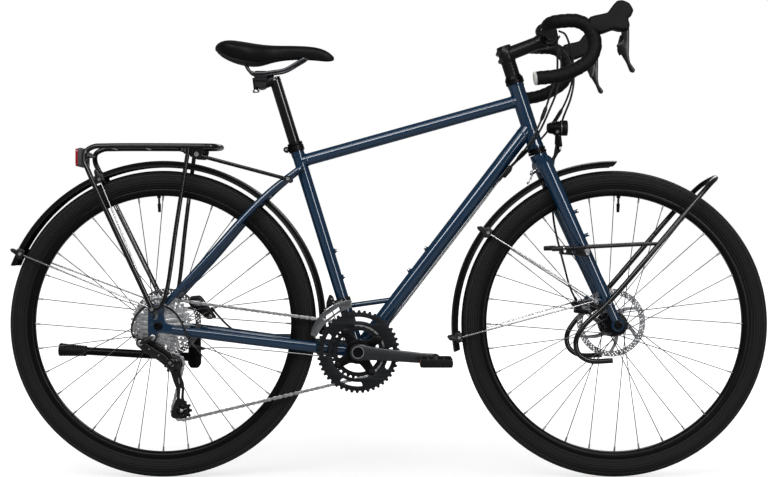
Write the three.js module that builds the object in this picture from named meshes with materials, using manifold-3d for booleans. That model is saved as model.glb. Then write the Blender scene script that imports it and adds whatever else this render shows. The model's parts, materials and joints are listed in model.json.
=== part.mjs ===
// A touring bicycle with fenders, luggage racks, disc brakes, a headlight and a kickstand.
// Millimetres. +X points forwards, +Y to the rider's left and +Z up, so the drive side is at -Y.
// The origin is on the ground, midway between the two axles.

import * as THREE from 'three';
import { mergeVertices } from 'three/addons/utils/BufferGeometryUtils.js';
import Module from 'manifold-3d';

// Driving dimensions

const GAP = 0.3; // left between pieces that touch
const PASS = 5; // how far a cutting shape runs past its work
const PITCH = 12.7; // of the chain

const tyre = { radius: 355, wall: 43.7, halfWidth: 21, segments: 36 };
const BRACKET_AHEAD_OF_TYRE = 98; // from the rear tyre to the bottom bracket's axis
const BRACKET_BEHIND_TYRE = 238; // from the bottom bracket's axis to the front tyre
const rearCentre = tyre.radius + BRACKET_AHEAD_OF_TYRE;
const frontCentre = tyre.radius + BRACKET_BEHIND_TYRE;
const BRACKET_DROP = 61;
const SEAT_ANGLE = 72.8;
const HEAD_ANGLE = 72.2;
const FORK_RAKE = 48;
const CROWN_OVER_TYRE = 74; // from the tyre to the crown seat, along the steerer
const forkLength = tyre.radius + CROWN_OVER_TYRE;
const SEAT_TUBE_LENGTH = 500;
const TOP_TUBE_BELOW_SEAT_TUBE_TOP = 42.5;
const TOP_TUBE_UP_HEAD_TUBE = 131;
const DOWN_TUBE_UP_HEAD_TUBE = 66;
const REAR_SPACING = 142;
const FRONT_SPACING = 100;
const DROPOUT_THICKNESS = 6;

const rim = { depth: 15, halfWidth: 12.5, edge: 3, segments: 36 };
tyre.bead = tyre.radius - tyre.wall;
rim.outer = tyre.bead - GAP;
rim.inner = rim.outer - rim.depth;
const spokes = { count: 32, radius: 1.2, flangeShare: 0.9, leanAngle: 60, dish: 2, lift: 1.5 };
const axle = { radius: 6, bore: 6.7, headRadius: 10, head: 5, sides: 10 };
const rotor = { outer: 80, track: 67, hub: 24, bore: 19, thickness: 1.8, armWidth: 11, windows: 6 };
const frontHub = { flange: 27, shell: 14, cap: 9.5, rotorSeat: 18, plate: 5.4, rightFlange: 29,
  leftFlange: 20 };
const rearHub = { flange: 28, shell: 16, cap: 9.5, rotorSeat: 18, plate: 5.4, rightFlange: 17,
  leftFlange: 33 };
const rotorInset = { front: 10.5, rear: 15.3 };
const fender = { overTyre: 23, halfWidth: 27, depth: 15, wall: 1.6, startAngle: -4, endAngle: 159 };
const frontFender = { startAngle: 89, endAngle: 190 };
fender.radius = tyre.radius + fender.overTyre;

// Tools for shapes

const wasm = await Module();
wasm.setup();

const bicycle = new THREE.Group();
const RIGHT = -1;
const LEFT = 1;
const at = (x, y, z) => new THREE.Vector3(x, y, z);
const moved = (point, x, y, z) => at(point.x + x, point.y + y, point.z + z);
const along = (start, direction, distance) => start.clone().addScaledVector(direction, distance);
const radians = THREE.MathUtils.degToRad;
const heading = (degrees) => at(Math.cos(radians(degrees)), 0, Math.sin(radians(degrees)));
const aside = (point, y) => at(point.x, y, point.z);
const ACROSS = at(0, 1, 0);

// A closed geometry as a solid: its vertices are merged and its faces made to point outwards.
function solid(geometry) {
  const bare = geometry.clone();
  for (const name of Object.keys(bare.attributes)) if (name !== 'position') bare.deleteAttribute(name);
  const merged = mergeVertices(bare);
  const { array } = merged.attributes.position;
  const corner = (i) => at(array[3 * i], array[3 * i + 1], array[3 * i + 2]);
  const triangles = [];
  let volume = 0;
  for (let i = 0; i < merged.index.count; i += 3) {
    const [a, b, c] = merged.index.array.slice(i, i + 3);
    if (a === b || b === c || c === a) continue;
    triangles.push([a, b, c]);
    volume += corner(a).dot(corner(b).cross(corner(c)));
  }
  const triVerts = Uint32Array.from(triangles.flatMap(([a, b, c]) => (volume < 0 ? [a, c, b] : [a, b, c])));
  return new wasm.Manifold(new wasm.Mesh({ numProp: 3, vertProperties: Float32Array.from(array), triVerts }));
}

const join = (first, ...others) => others.reduce((whole, part) => whole.add(part), first);
const cut = (work, ...cutters) => cutters.reduce((left, cutter) => left.subtract(cutter), work);

// Adds a named piece to a group, each with a material of its own.
function add(name, piece, finish, group = bicycle) {
  const { vertProperties, triVerts } = piece.getMesh();
  const geometry = new THREE.BufferGeometry();
  geometry.setAttribute('position', new THREE.BufferAttribute(vertProperties, 3));
  geometry.setIndex(new THREE.BufferAttribute(triVerts, 1));
  geometry.computeVertexNormals();
  const mesh = new THREE.Mesh(geometry, new THREE.MeshStandardMaterial(finish));
  mesh.name = name;
  group.add(mesh);
  return mesh;
}

// Turns a geometry's own Y axis to a direction, with its Z axis as near across the bicycle as it can be.
function placed(geometry, origin, direction) {
  const up = direction.clone().normalize();
  const side = Math.abs(up.y) > Math.SQRT1_2 ? at(1, 0, 0) : ACROSS.clone();
  const face = side.addScaledVector(up, -side.dot(up)).normalize();
  const basis = new THREE.Matrix4().makeBasis(up.clone().cross(face), up, face);
  return geometry.applyMatrix4(basis.setPosition(origin));
}

const circle = (radius, sides) =>
  Array.from({ length: sides }, (_, i) => {
    const angle = (i / sides) * 2 * Math.PI;
    return [radius * Math.cos(angle), radius * Math.sin(angle)];
  });

const pathOf = (Kind, points) => new Kind(points.map(([x, z]) => new THREE.Vector2(x, z)));

// A round bar or cone from one point to another; flat below 1 makes it thinner across the bicycle.
function rod(from, to, radius, endRadius = radius, sides = 10, flat = 1) {
  const length = from.distanceTo(to);
  const geometry = new THREE.CylinderGeometry(endRadius, radius, length, sides);
  geometry.scale(1, 1, flat).translate(0, length / 2, 0);
  return solid(placed(geometry, from, to.clone().sub(from)));
}

// A three-sided bar, for thin wires of which there are many.
function prism(from, to, radius) {
  const shape = pathOf(THREE.Shape, circle(radius, 3));
  const geometry = new THREE.ExtrudeGeometry(shape, { depth: from.distanceTo(to), bevelEnabled: false });
  return solid(placed(geometry.rotateX(-Math.PI / 2), from, to.clone().sub(from)));
}

const pin = (centre, radius, from, to, sides = 10) => rod(aside(centre, from), aside(centre, to), radius,
  radius, sides);

// The radius that clears a round piece all round by the gap, in spite of flat sides.
const clearing = (radius, sides) => (radius + GAP) / Math.cos(Math.PI / sides);
const clearRod = (from, to, radius, sides = 16) => rod(from, to, clearing(radius, sides),
  clearing(radius, sides), sides);

// A turned piece: its profile closes on itself and goes round the direction.
function turned(profile, origin, direction, segments) {
  const points = [...profile, profile[0]].map(([radius, height]) => new THREE.Vector2(radius, height));
  return solid(placed(new THREE.LatheGeometry(points, segments), origin, direction));
}

const ring = (profile, segments) => {
  const points = [...profile, profile[0]].map(([radius, height]) => new THREE.Vector2(radius, height));
  return solid(new THREE.LatheGeometry(points, segments));
};

// A flat plate in the plane of the frame, between two distances across it.
function plate(outline, from, to, origin = at(0, 0, 0), holes = [], chamfer = 0) {
  const shape = pathOf(THREE.Shape, outline);
  shape.holes = holes.map((hole) => pathOf(THREE.Path, hole));
  const bevel = {
    bevelEnabled: chamfer > 0,
    bevelSegments: 1,
    bevelSize: chamfer,
    bevelOffset: -chamfer,
    bevelThickness: chamfer,
  };
  const geometry = new THREE.ExtrudeGeometry(shape, { depth: Math.abs(to - from) - 2 * chamfer, ...bevel });
  geometry.rotateX(Math.PI / 2).translate(origin.x, Math.max(from, to) - chamfer, origin.z);
  return solid(geometry);
}

const scaled = (shares, width, height) => shares.map(([x, z]) => [x * width, z * height]);

// A curve whose section keeps one side across the bicycle as it turns.
function levelled(curve) {
  curve.computeFrenetFrames = (steps) => {
    const frames = { tangents: [], normals: [], binormals: [] };
    for (let i = 0; i <= steps; i += 1) {
      const tangent = curve.getTangentAt(i / steps);
      const normal = along(ACROSS, tangent, -tangent.y).normalize();
      frames.tangents.push(tangent);
      frames.normals.push(normal);
      frames.binormals.push(normal.clone().cross(tangent));
    }
    return frames;
  };
  return curve;
}

class Arc extends THREE.Curve {
  constructor(centre, radius, from, to) {
    super();
    Object.assign(this, { centre, radius, from, to });
  }

  getPoint(t, target = at(0, 0, 0)) {
    return target.copy(along(this.centre, heading(this.from + (this.to - this.from) * t), this.radius));
  }
}

const smooth = (points) => new THREE.CatmullRomCurve3(points, false, 'centripetal');
const swept = (curve, section, steps) => solid(new THREE.ExtrudeGeometry(section,
  { steps, extrudePath: curve }));
const roundSection = (radius, sides) => pathOf(THREE.Shape, circle(radius, sides));
const ovalSection = (across, tall, sides) =>
  pathOf(THREE.Shape, circle(1, sides).map(([x, y]) => [x * across, y * tall]));
const tube = (points, radius, sides, steps) => swept(smooth(points), roundSection(radius, sides), steps);

// Round rings at a row of places, each square to the way that the row runs there.
function ringsAlong(places, radius, sides) {
  const last = places.length - 1;
  const runs = places.map((_, i) => places[Math.min(i + 1,
    last)].clone().sub(places[Math.max(i - 1, 0)]).normalize());
  let across = Math.abs(runs[0].y) > Math.SQRT1_2 ? at(1, 0, 0) : ACROSS;
  return places.map((place, i) => {
    across = along(across, runs[i], -across.dot(runs[i])).normalize();
    const other = runs[i].clone().cross(across);
    return circle(radius, sides).map(([u, v]) => along(along(place, across, u), other, v));
  });
}

const bent = (places, radius, sides) => lofted(ringsAlong(places, radius, sides));

// A skin over a row of closed rings of points, closed at both ends.
function lofted(rings) {
  const count = rings[0].length;
  const centres = [rings[0], rings.at(-1)].map((points) =>
    points.reduce((sum, point) => sum.add(point), at(0, 0, 0)).divideScalar(count));
  const vertices = [...rings.flat(), ...centres];
  const faces = [];
  for (let i = 0; i < count; i += 1) {
    const next = (i + 1) % count;
    for (let k = 0; k < rings.length - 1; k += 1) {
      const [a, b, c, d] = [k * count + i, k * count + next, (k + 1) * count + i, (k + 1) * count + next];
      faces.push(a, c, b, b, c, d);
    }
    const last = (rings.length - 1) * count;
    faces.push(rings.length * count, i, next, rings.length * count + 1, last + next, last + i);
  }
  const geometry = new THREE.BufferGeometry().setFromPoints(vertices);
  geometry.setIndex(faces);
  return solid(geometry);
}

// Finishes

const bluePaint = { color: 0x23405f, roughness: 0.25, metalness: 0.3 };
const blackPaint = { color: 0x151516, roughness: 0.3, metalness: 0.3 };
const blackPlastic = { color: 0x1a1a1b, roughness: 0.6, metalness: 0 };
const blackRubber = { color: 0x202021, roughness: 0.85, metalness: 0 };
const darkMetal = { color: 0x3a3b3d, roughness: 0.4, metalness: 0.8 };
const silverMetal = { color: 0xb9bbbd, roughness: 0.3, metalness: 0.9 };
const steelWire = { color: 0x8d8f92, roughness: 0.35, metalness: 0.9 };
const redLens = { color: 0xb3252a, roughness: 0.2, metalness: 0 };

// Places that the frame is built on

const frontAxle = at((rearCentre + frontCentre) / 2, 0, tyre.radius);
const rearAxle = at(-frontAxle.x, 0, tyre.radius);
const bottomBracket = moved(rearAxle, rearCentre, 0, -BRACKET_DROP);
const seatUp = heading(180 - SEAT_ANGLE);
const steerUp = heading(180 - HEAD_ANGLE);
const steerAhead = heading(90 - HEAD_ANGLE);
const crownSeat = along(along(frontAxle, steerAhead, -FORK_RAKE), steerUp, forkLength);
const onSteerer = (distance) => along(crownSeat, steerUp, distance);
const onSeatTube = (distance) => along(bottomBracket, seatUp, distance);

// Head tube, with the cups of the headset

const headTube = { radius: 18, bore: 15.4, cupRadius: 21.5, lowerCup: 14, length: 156, upperCup: 20,
  sides: 12 };
headTube.top = headTube.lowerCup + headTube.length;
headTube.cupTop = headTube.top + headTube.upperCup;
const cupLip = 2;

function makeHeadTube() {
  const { radius, bore, cupRadius, lowerCup, top, cupTop, sides } = headTube;
  const profile = [
    [bore, GAP], [cupRadius, GAP], [cupRadius, lowerCup - cupLip], [radius, lowerCup],
    [radius, top], [cupRadius, top + cupLip], [cupRadius, cupTop - 2 * cupLip], [radius, cupTop],
      [bore, cupTop],
  ];
  return turned(profile, crownSeat, steerUp, sides);
}

const headTubeClearance = clearRod(onSteerer(-PASS), onSteerer(headTube.cupTop), headTube.radius);

// Seat tube with the bottom bracket shell, its cups and the brace to the down tube

const seatTube = { radius: 14.5, bore: 13.9, boreDepth: 260, sides: 12 };
const shell = { radius: 21, bore: 12.8, halfWidth: 34, cupRadius: 22.5, cup: 11, sides: 12 };
const brace = { radius: 6, upSeatTube: 106, upDownTube: 149, sides: 10 };
const boss = { radius: 5, height: 3, sides: 6, first: 236, spacing: 64 };
const downTube = { radius: 17, sides: 12 };
const topTube = { radius: 14.2, sides: 12 };
const downTubeTop = onSteerer(DOWN_TUBE_UP_HEAD_TUBE);
const downTubeUp = downTubeTop.clone().sub(bottomBracket).normalize();
const downTubeUnder = downTubeUp.clone().cross(ACROSS).negate();
const onDownTube = (distance) => along(bottomBracket, downTubeUp, distance);
const seatTubeClearance = clearRod(bottomBracket, onSeatTube(SEAT_TUBE_LENGTH + PASS), seatTube.radius);
const downTubeClearance = clearRod(bottomBracket, downTubeTop, downTube.radius);
const shellClearance = clearRod(aside(bottomBracket, -shell.halfWidth - PASS),
  aside(bottomBracket, shell.halfWidth + PASS), shell.radius);

function bottleBosses(point, outwards, radius) {
  return [boss.first, boss.first + boss.spacing].map((distance) => {
    const base = along(point(distance), outwards, radius - boss.height);
    return rod(base, along(base, outwards, 2 * boss.height), boss.radius, boss.radius, boss.sides);
  });
}

function makeSeatTube() {
  const { radius, sides, bore, boreDepth } = seatTube;
  const cupEnd = shell.halfWidth + shell.cup;
  const top = onSeatTube(SEAT_TUBE_LENGTH);
  const shellProfile = [
    [shell.bore, -cupEnd], [shell.cupRadius, -cupEnd], [shell.cupRadius, -shell.halfWidth],
    [shell.radius, -shell.halfWidth], [shell.radius, shell.halfWidth],
    [shell.cupRadius, shell.halfWidth], [shell.cupRadius, cupEnd], [shell.bore, cupEnd],
  ];
  const braceEnd = onDownTube(brace.upDownTube);
  const body = join(
    rod(bottomBracket, top, radius, radius, sides),
    turned(shellProfile, bottomBracket, ACROSS, shell.sides),
    cut(rod(onSeatTube(brace.upSeatTube), braceEnd, brace.radius, brace.radius, brace.sides),
      downTubeClearance),
    ...bottleBosses(onSeatTube, heading(90 - SEAT_ANGLE), radius),
  );
  return cut(
    body,
    pin(bottomBracket, shell.bore, -cupEnd, cupEnd, shell.sides),
    rod(onSeatTube(SEAT_TUBE_LENGTH - boreDepth), onSeatTube(SEAT_TUBE_LENGTH + PASS), bore, bore, sides),
  );
}

function makeTopTube() {
  const tubeBody = rod(onSeatTube(SEAT_TUBE_LENGTH - TOP_TUBE_BELOW_SEAT_TUBE_TOP),
    onSteerer(TOP_TUBE_UP_HEAD_TUBE),
    topTube.radius, topTube.radius, topTube.sides);
  return cut(tubeBody, seatTubeClearance, headTubeClearance);
}

function makeDownTube() {
  const body = rod(bottomBracket, downTubeTop, downTube.radius, downTube.radius, downTube.sides);
  return cut(join(body, ...bottleBosses(onDownTube, downTubeUnder.clone().negate(), downTube.radius)),
    shellClearance, seatTubeClearance, headTubeClearance);
}

// Chainstays with their dropouts, and the kickstand plate on the left one

const dropoutFace = REAR_SPACING / 2;
const dropoutMiddle = dropoutFace + DROPOUT_THICKNESS / 2;
const chainstay = { across: 8.5, tall: 13, sides: 8, steps: 8, start: 19 };
// Shares of the run from the bottom bracket to the axle, of the dropout's middle across, and of the rise.
const chainstayShares = [[0, 0.3, 0], [0.13, 0.37, 0.09], [0.21, 0.47, 0.17], [0.4, 0.62, 0.34],
  [0.7, 0.82, 0.62], [0.93, 1, 0.84]];
const dropout = { width: 78, height: 90, bore: axle.bore };
const dropoutShares = [[-0.28, 0.49], [0.05, 0.56], [0.2, 0.53], [0.16, 0.25], [0.22, 0.07], [0.55, 0],
  [0.55, -0.22], [0.24, -0.2], [0, -0.17], [-0.03, -0.36], [-0.14, -0.42], [-0.29, -0.36], [-0.3, 0]];
const windowShares = [[-0.14, 0.17], [-0.02, 0.16], [0.02, 0.38], [-0.13, 0.36]];
const eyelet = { back: 11, up: 38, radius: 3, bossRadius: 8 };
const eyeletPlace = moved(rearAxle, -eyelet.back, 0, eyelet.up);
const hanger = { back: 11, down: 26 };
const hangerPlace = moved(rearAxle, -hanger.back, 0, -hanger.down);
const stand = { ahead: 62, below: 95, legRadius: 9, leg: 318, knuckle: 14, standoff: 9, splayAngle: 30,
  footRadius: 12, foot: 36 };
const standPivot = moved(rearAxle, stand.ahead, 0, -stand.below);
const standAxis = at(0, Math.cos(radians(stand.splayAngle)), Math.sin(radians(stand.splayAngle)));
const standHub = along(aside(standPivot, dropoutFace + DROPOUT_THICKNESS), standAxis, stand.standoff);
const standShares = [[-0.75, 5.4], [0.9, 5.4], [1, -0.3], [0.5, -1], [-0.5, -1], [-1, -0.3]];

function chainstayCurve(side) {
  const rise = rearAxle.z - bottomBracket.z;
  return levelled(smooth(chainstayShares.map(([back, out, up]) => moved(bottomBracket,
    -chainstay.start - back * (rearCentre - chainstay.start), side * out * dropoutMiddle, up * rise))));
}

function makeChainstay(side) {
  const { across, tall, sides, steps } = chainstay;
  const [inner, outer] = [side * dropoutFace, side * (dropoutFace + DROPOUT_THICKNESS)];
  const parts = [
    swept(chainstayCurve(side), ovalSection(across, tall, sides), steps),
    plate(scaled(dropoutShares, dropout.width, dropout.height), inner, outer, rearAxle,
      [scaled(windowShares, dropout.width, dropout.height)]),
  ];
  if (side === LEFT) {
    const bossRadius = stand.knuckle - 2 * GAP;
    parts.push(plate(scaled(standShares, stand.knuckle, stand.knuckle), inner, outer, standPivot));
    parts.push(rod(along(standHub, standAxis, -stand.standoff - DROPOUT_THICKNESS / 2),
      along(standHub, standAxis, -GAP), bossRadius, bossRadius, 14));
  }
  return cut(join(...parts), shellClearance, seatTubeClearance,
    pin(rearAxle, dropout.bore, 0, side * (dropoutFace + DROPOUT_THICKNESS + PASS), axle.sides),
    pin(eyeletPlace, eyelet.radius, 0, side * (dropoutFace + DROPOUT_THICKNESS + PASS)));
}

// Seatstays, with the bridge that carries the rear fender

const seatstay = { radius: 8, sides: 8, steps: 7, belowTop: 56, topOut: 22.5, bridgeRadius: 7,
  footAhead: 17, footUp: 49 };
const seatstayFoot = moved(rearAxle, seatstay.footAhead, 0, seatstay.footUp);
const bridgeRise = 50.8; // direction of the bridge from the axle, in degrees above the horizontal
const bridgePlace = along(rearAxle, heading(bridgeRise), fender.radius + seatstay.bridgeRadius + GAP);
const stayAtBridge = 37.5;
const stayMiddleShares = [0.62, 0.8];

function seatstayCurve(side) {
  const top = aside(onSeatTube(SEAT_TUBE_LENGTH - seatstay.belowTop), side * seatstay.topOut);
  const foot = aside(seatstayFoot, side * dropoutMiddle);
  const passing = aside(bridgePlace, side * stayAtBridge);
  const middle = passing.clone().lerp(foot, stayMiddleShares[0]);
  middle.y = passing.y + (foot.y - passing.y) * stayMiddleShares[1];
  return levelled(smooth([top, passing, middle, foot]));
}

const seatstayBody = (side, extra = 0) =>
  swept(seatstayCurve(side), roundSection(extra > 0 ? clearing(seatstay.radius,
    seatstay.sides) : seatstay.radius,
    seatstay.sides), seatstay.steps);

function makeSeatstay(side) {
  const dropoutClearance = plate(scaled(dropoutShares, dropout.width + 2 * GAP, dropout.height + 2 * GAP),
    side * (dropoutFace - GAP), side * (dropoutFace + DROPOUT_THICKNESS + GAP), moved(rearAxle, 0, 0, GAP));
  const body = cut(seatstayBody(side), seatTubeClearance, dropoutClearance);
  if (side === LEFT) return body;
  const bridge = pin(bridgePlace, seatstay.bridgeRadius, RIGHT * stayAtBridge, LEFT * stayAtBridge);
  return join(body, cut(bridge, seatstayBody(LEFT, GAP)));
}

// Seat clamp

const clamp = { radius: 18.5, height: 22, lugLength: 17, lugHalfWidth: 7, boltRadius: 3.5, below: 18 };

function makeSeatClamp() {
  const bottom = onSeatTube(SEAT_TUBE_LENGTH - clamp.below);
  const top = along(bottom, seatUp, clamp.height);
  const back = heading(180 + 90 - SEAT_ANGLE);
  const middle = along(bottom, seatUp, clamp.height / 2);
  const lug = rod(along(middle, back, seatTube.radius),
    along(middle, back, seatTube.radius + clamp.lugLength / 2),
    clamp.lugHalfWidth, clamp.lugHalfWidth, seatstay.sides);
  const bolt = pin(along(middle, back, seatTube.radius + clamp.lugLength / 2), clamp.boltRadius,
    -clamp.radius / 2, clamp.radius / 2);
  return cut(join(rod(bottom, top, clamp.radius, clamp.radius, seatTube.sides), lug, bolt),
    clearRod(along(bottom, seatUp, -PASS), along(top, seatUp, PASS), seatTube.radius));
}

// Seatpost, rails and saddle

const post = { radius: 13.4, inside: 110, showing: 158, sides: 12, headRadius: 15, headHalfWidth: 19,
  headBack: 11 };
const rails = { radius: 3.5, spread: 22, sides: 6, noseSpread: 9 };
const saddle = { length: 274, halfWidth: 74, height: 57, tailBehindPost: 136.4, overPost: 87.4 };
// Shares of the saddle's length from the tail, and of its height below the top.
const railShares = [[0.252, 0.93], [0.272, 1.13], [0.305, 1.3], [0.385, 1.33], [0.482, 1.28], [0.584, 1.19],
  [0.69, 0.91], [0.752, 0.73], [0.77, 0.69]];
// For stations along the saddle: share of its length, half width, top edge and bottom edge below the top.
const saddleShares = [
  [0, 0.36, 0.26, 0.42], [0.035, 0.74, 0.09, 0.58], [0.1, 0.95, 0, 0.74], [0.17, 1, 0.01, 0.86],
  [0.26, 0.95, 0.07, 0.96], [0.36, 0.75, 0.14, 0.99], [0.46, 0.5, 0.18, 0.85], [0.56, 0.36, 0.185, 0.77],
  [0.7, 0.27, 0.18, 0.73], [0.86, 0.24, 0.23, 0.78], [0.95, 0.19, 0.4, 0.84],
  [1, 0.08, 0.62, 0.78],
];
// Half of a section, from the crown down the drawn-in side to the hollow below.
const saddleSectionShares = [[0, 1], [0.42, 0.985], [0.78, 0.9], [1, 0.66], [0.93, 0.3], [0.8, 0],
  [0.6, 0.06], [0.3, 0.3]];

const postTop = onSeatTube(SEAT_TUBE_LENGTH + post.showing);
const onSaddle = (lengthShare, heightShare, y) =>
  moved(postTop, lengthShare * saddle.length - saddle.tailBehindPost, y,
    saddle.overPost - heightShare * saddle.height);

function makeSaddle(railBody) {
  const rings = saddleShares.map(([x, width, top, bottom]) => {
    const half = saddleSectionShares.map(([y, z]) => onSaddle(x, bottom + (top - bottom) * z,
      y * width * saddle.halfWidth));
    const other = half.slice(1).reverse().map((point) => at(point.x, -point.y, point.z));
    return [...half, ...other];
  });
  return cut(lofted(rings), railBody);
}

function makeRails(radius) {
  const side = railShares.map(([x, z], i) =>
    onSaddle(x, z, i < railShares.length - 1 ? rails.spread : rails.noseSpread));
  const other = side.map((point) => at(point.x, -point.y, point.z)).reverse();
  return bent([...side, ...other], radius, rails.sides);
}

const railSeat = onSaddle(railShares[3][0], railShares[3][1], 0);

function makeSeatpost(railBody) {
  const { radius, sides, inside, headRadius, headHalfWidth, headBack } = post;
  const head = moved(railSeat, 0, 0, -headRadius - headBack / 2);
  const cradle = plate([[-headRadius, 0], [headRadius, 0], [headRadius, headRadius + headBack],
    [-headRadius, headRadius + headBack]], -headHalfWidth - rails.radius, headHalfWidth + rails.radius, head,
      [], cupLip);
  return cut(join(rod(onSeatTube(SEAT_TUBE_LENGTH - inside), postTop, radius, radius, sides),
    rod(postTop, head, radius, headRadius, sides),
      pin(head, headRadius, -headHalfWidth, headHalfWidth, sides), cradle), railBody);
}

// Fork: crown with steerer, and two tapering blades

const crown = { radius: 20, halfLength: 56, belowSeat: 24, seatRadius: 20, tabHalfWidth: 12, sides: 14,
  capGap: 4 };
crown.up = forkLength - crown.belowSeat;
const steerer = { radius: 14.3, spacers: 32, clampHeight: 37, sides: 10 };
const blade = { topRadius: 17.5, footRadius: 10, flat: 0.7, topOut: 42, footOut: 58, sides: 10, lugRadius: 15,
  lug: 10 };
const bladeUp = crownSeat.clone().sub(frontAxle).normalize();
const crownPlace = along(frontAxle, bladeUp, crown.up);
const steererTop = headTube.cupTop + steerer.spacers + steerer.clampHeight;
const stayEyelet = { back: 53, up: 56, radius: 5.5, out: 56, tall: 9 };
const frontEyelet = moved(frontAxle, -stayEyelet.back, 0, stayEyelet.up);
const forkFace = FRONT_SPACING / 2;
const fenderClearanceFront = pin(frontAxle, fender.radius + GAP, -crown.halfLength, crown.halfLength, 96);

function makeCrown() {
  const seat = rod(onSteerer(crown.up - forkLength), crownSeat, crown.seatRadius, crown.seatRadius,
    crown.sides);
  const tab = rod(crownPlace, along(frontAxle, bladeUp, fender.radius - PASS), crown.tabHalfWidth,
    crown.tabHalfWidth, 8);
  return join(
    pin(crownPlace, crown.radius, -crown.halfLength, crown.halfLength, crown.sides),
    seat,
    rod(crownSeat, onSteerer(steererTop - crown.capGap), steerer.radius, steerer.radius, steerer.sides),
    cut(tab, fenderClearanceFront),
  );
}

const crownClearance = clearRod(aside(crownPlace, -crown.halfLength - PASS),
  aside(crownPlace, crown.halfLength + PASS), crown.radius);

function bladeBody(side, extra = 0) {
  return rod(aside(crownPlace, side * blade.topOut), aside(frontAxle, side * blade.footOut),
    blade.topRadius + extra, blade.footRadius + extra, blade.sides, blade.flat);
}

const bladeClearance = (side) => bladeBody(side, 2 * GAP);

function makeBlade(side) {
  const tip = aside(frontEyelet, side * (blade.footOut - blade.footRadius * blade.flat / 2));
  const root = aside(along(frontAxle, bladeUp, stayEyelet.up * 1.1), tip.y);
  return cut(
    join(
      cut(bladeBody(side), crownClearance),
      pin(frontAxle, blade.lugRadius, side * forkFace, side * (forkFace + blade.lug), axle.sides),
      rod(root, tip, stayEyelet.radius - 1, stayEyelet.radius - 1, 8),
      pin(frontEyelet, stayEyelet.radius, tip.y - side * stayEyelet.radius,
        side * (stayEyelet.out + stayEyelet.tall), 10),
    ),
    pin(frontAxle, axle.bore, 0, side * (blade.footOut + blade.lugRadius), axle.sides),
    pin(frontAxle, axle.headRadius + GAP, side * (forkFace + blade.lug),
      side * (blade.footOut + blade.lugRadius), axle.sides),
  );
}

// Stem with spacers and top cap

const stem = { length: 105, riseAngle: 23.9, upSteerer: 236, radius: 16, sleeve: 18, spacer: 17,
  faceRadius: 21.5, faceHalfWidth: 23, cap: 4, sides: 12 };
const bar = { clampRadius: 15.9, radius: 12, clampHalfWidth: 30, sides: 8, halfWidth: 213 };
const barCentre = along(onSteerer(stem.upSteerer), heading(stem.riseAngle), stem.length);

function makeStem() {
  const bottom = headTube.cupTop + GAP;
  const clampBottom = bottom + steerer.spacers;
  const bore = clearing(steerer.radius, steerer.sides);
  const sleeve = turned([[bore, bottom], [stem.spacer, bottom], [stem.spacer, clampBottom],
    [stem.sleeve, clampBottom + GAP],
    [stem.sleeve, steererTop], [stem.spacer, steererTop + stem.cap], [0, steererTop + stem.cap],
      [0, steererTop],
    [bore, steererTop]], crownSeat, steerUp, steerer.sides);
  const boreCut = rod(onSteerer(0), onSteerer(steererTop), bore, bore, steerer.sides);
  const neck = cut(rod(onSteerer(stem.upSteerer), barCentre, stem.radius, stem.radius, stem.sides), boreCut);
  return cut(join(sleeve, neck, pin(barCentre, stem.faceRadius, -stem.faceHalfWidth, stem.faceHalfWidth,
    stem.sides)),
    clearRod(aside(barCentre, -stem.faceHalfWidth - PASS), aside(barCentre, stem.faceHalfWidth + PASS),
      bar.clampRadius));
}

// Drop handlebar and its tape

const reach = 75;
const drop = 118;
// Places along half of the bar, as shares of the reach, of the half width and of the drop.
const barShares = [
  [0, 0, 0], [0, 0.2, 0], [-0.06, 0.42, 0], [-0.2, 0.66, 0.02], [-0.27, 0.82, 0.04], [-0.16, 0.92, 0.06],
  [0.12, 0.98, 0.07], [0.5, 1, 0.06],
  [0.8, 1, -0.04], [0.96, 1.003, -0.21], [1, 1.006, -0.42], [0.84, 1.01, -0.65], [0.47, 1.02, -0.82],
  [0, 1.028, -0.94], [-0.72, 1.042, -1],
];
const tape = { radius: 15.6, bore: bar.radius + 1.6 * GAP, bareCount: 2 }; // places of each half of the bar left bare
const barHalf = barShares.map(([ahead, out, up]) => moved(barCentre, ahead * reach, out * bar.halfWidth,
  up * drop));
const mirrored = (points) => points.map((p) => at(p.x, -p.y, p.z));
const barPlaces = [...mirrored(barHalf).slice(1).reverse(), ...barHalf];
const tapeFrom = barHalf[tape.bareCount].y;

// The bar's rings at another radius, from the start of the tape to the end of the drop on one side.
function tapeRings(side, radius) {
  const rings = ringsAlong(barPlaces, radius, bar.sides);
  const count = barHalf.length - tape.bareCount;
  return side === LEFT ? rings.slice(-count) : rings.slice(0, count);
}

function makeBar() {
  return join(bent(barPlaces, bar.radius, bar.sides),
    pin(barCentre, bar.clampRadius, -bar.clampHalfWidth, bar.clampHalfWidth, stem.sides));
}

// The tape's bore runs on past both its ends.
function makeTape(side) {
  const bore = tapeRings(side, tape.bore);
  const beyond = (end, next) => end.map((point, i) => point.clone().lerp(next[i],
    -tape.radius / point.distanceTo(next[i])));
  const passage = lofted([beyond(bore[0], bore[1]), ...bore, beyond(bore.at(-1), bore.at(-2))]);
  return cut(lofted(tapeRings(side, tape.radius)), passage);
}

// Brake and shift hoods, and the levers that hang from them

const hood = { length: 97, height: 72, halfWidth: 16, chamfer: 5, aheadOfBar: 60, belowBar: 21 };
const hoodShares = [[0, 0.16], [0.04, 0.5], [0.42, 0.63], [0.56, 0.86], [0.64, 0.98], [0.76, 1], [0.91, 0.91],
  [1, 0.7],
  [0.95, 0.52], [0.89, 0.45], [0.92, 0.25], [0.88, 0.1], [0.7, 0.08], [0.55, 0.12], [0.28, 0]];
const lever = { pivotShare: [0.83, 0.17], head: 8, halfWidth: 6, width: 30, length: 93 };
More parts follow.
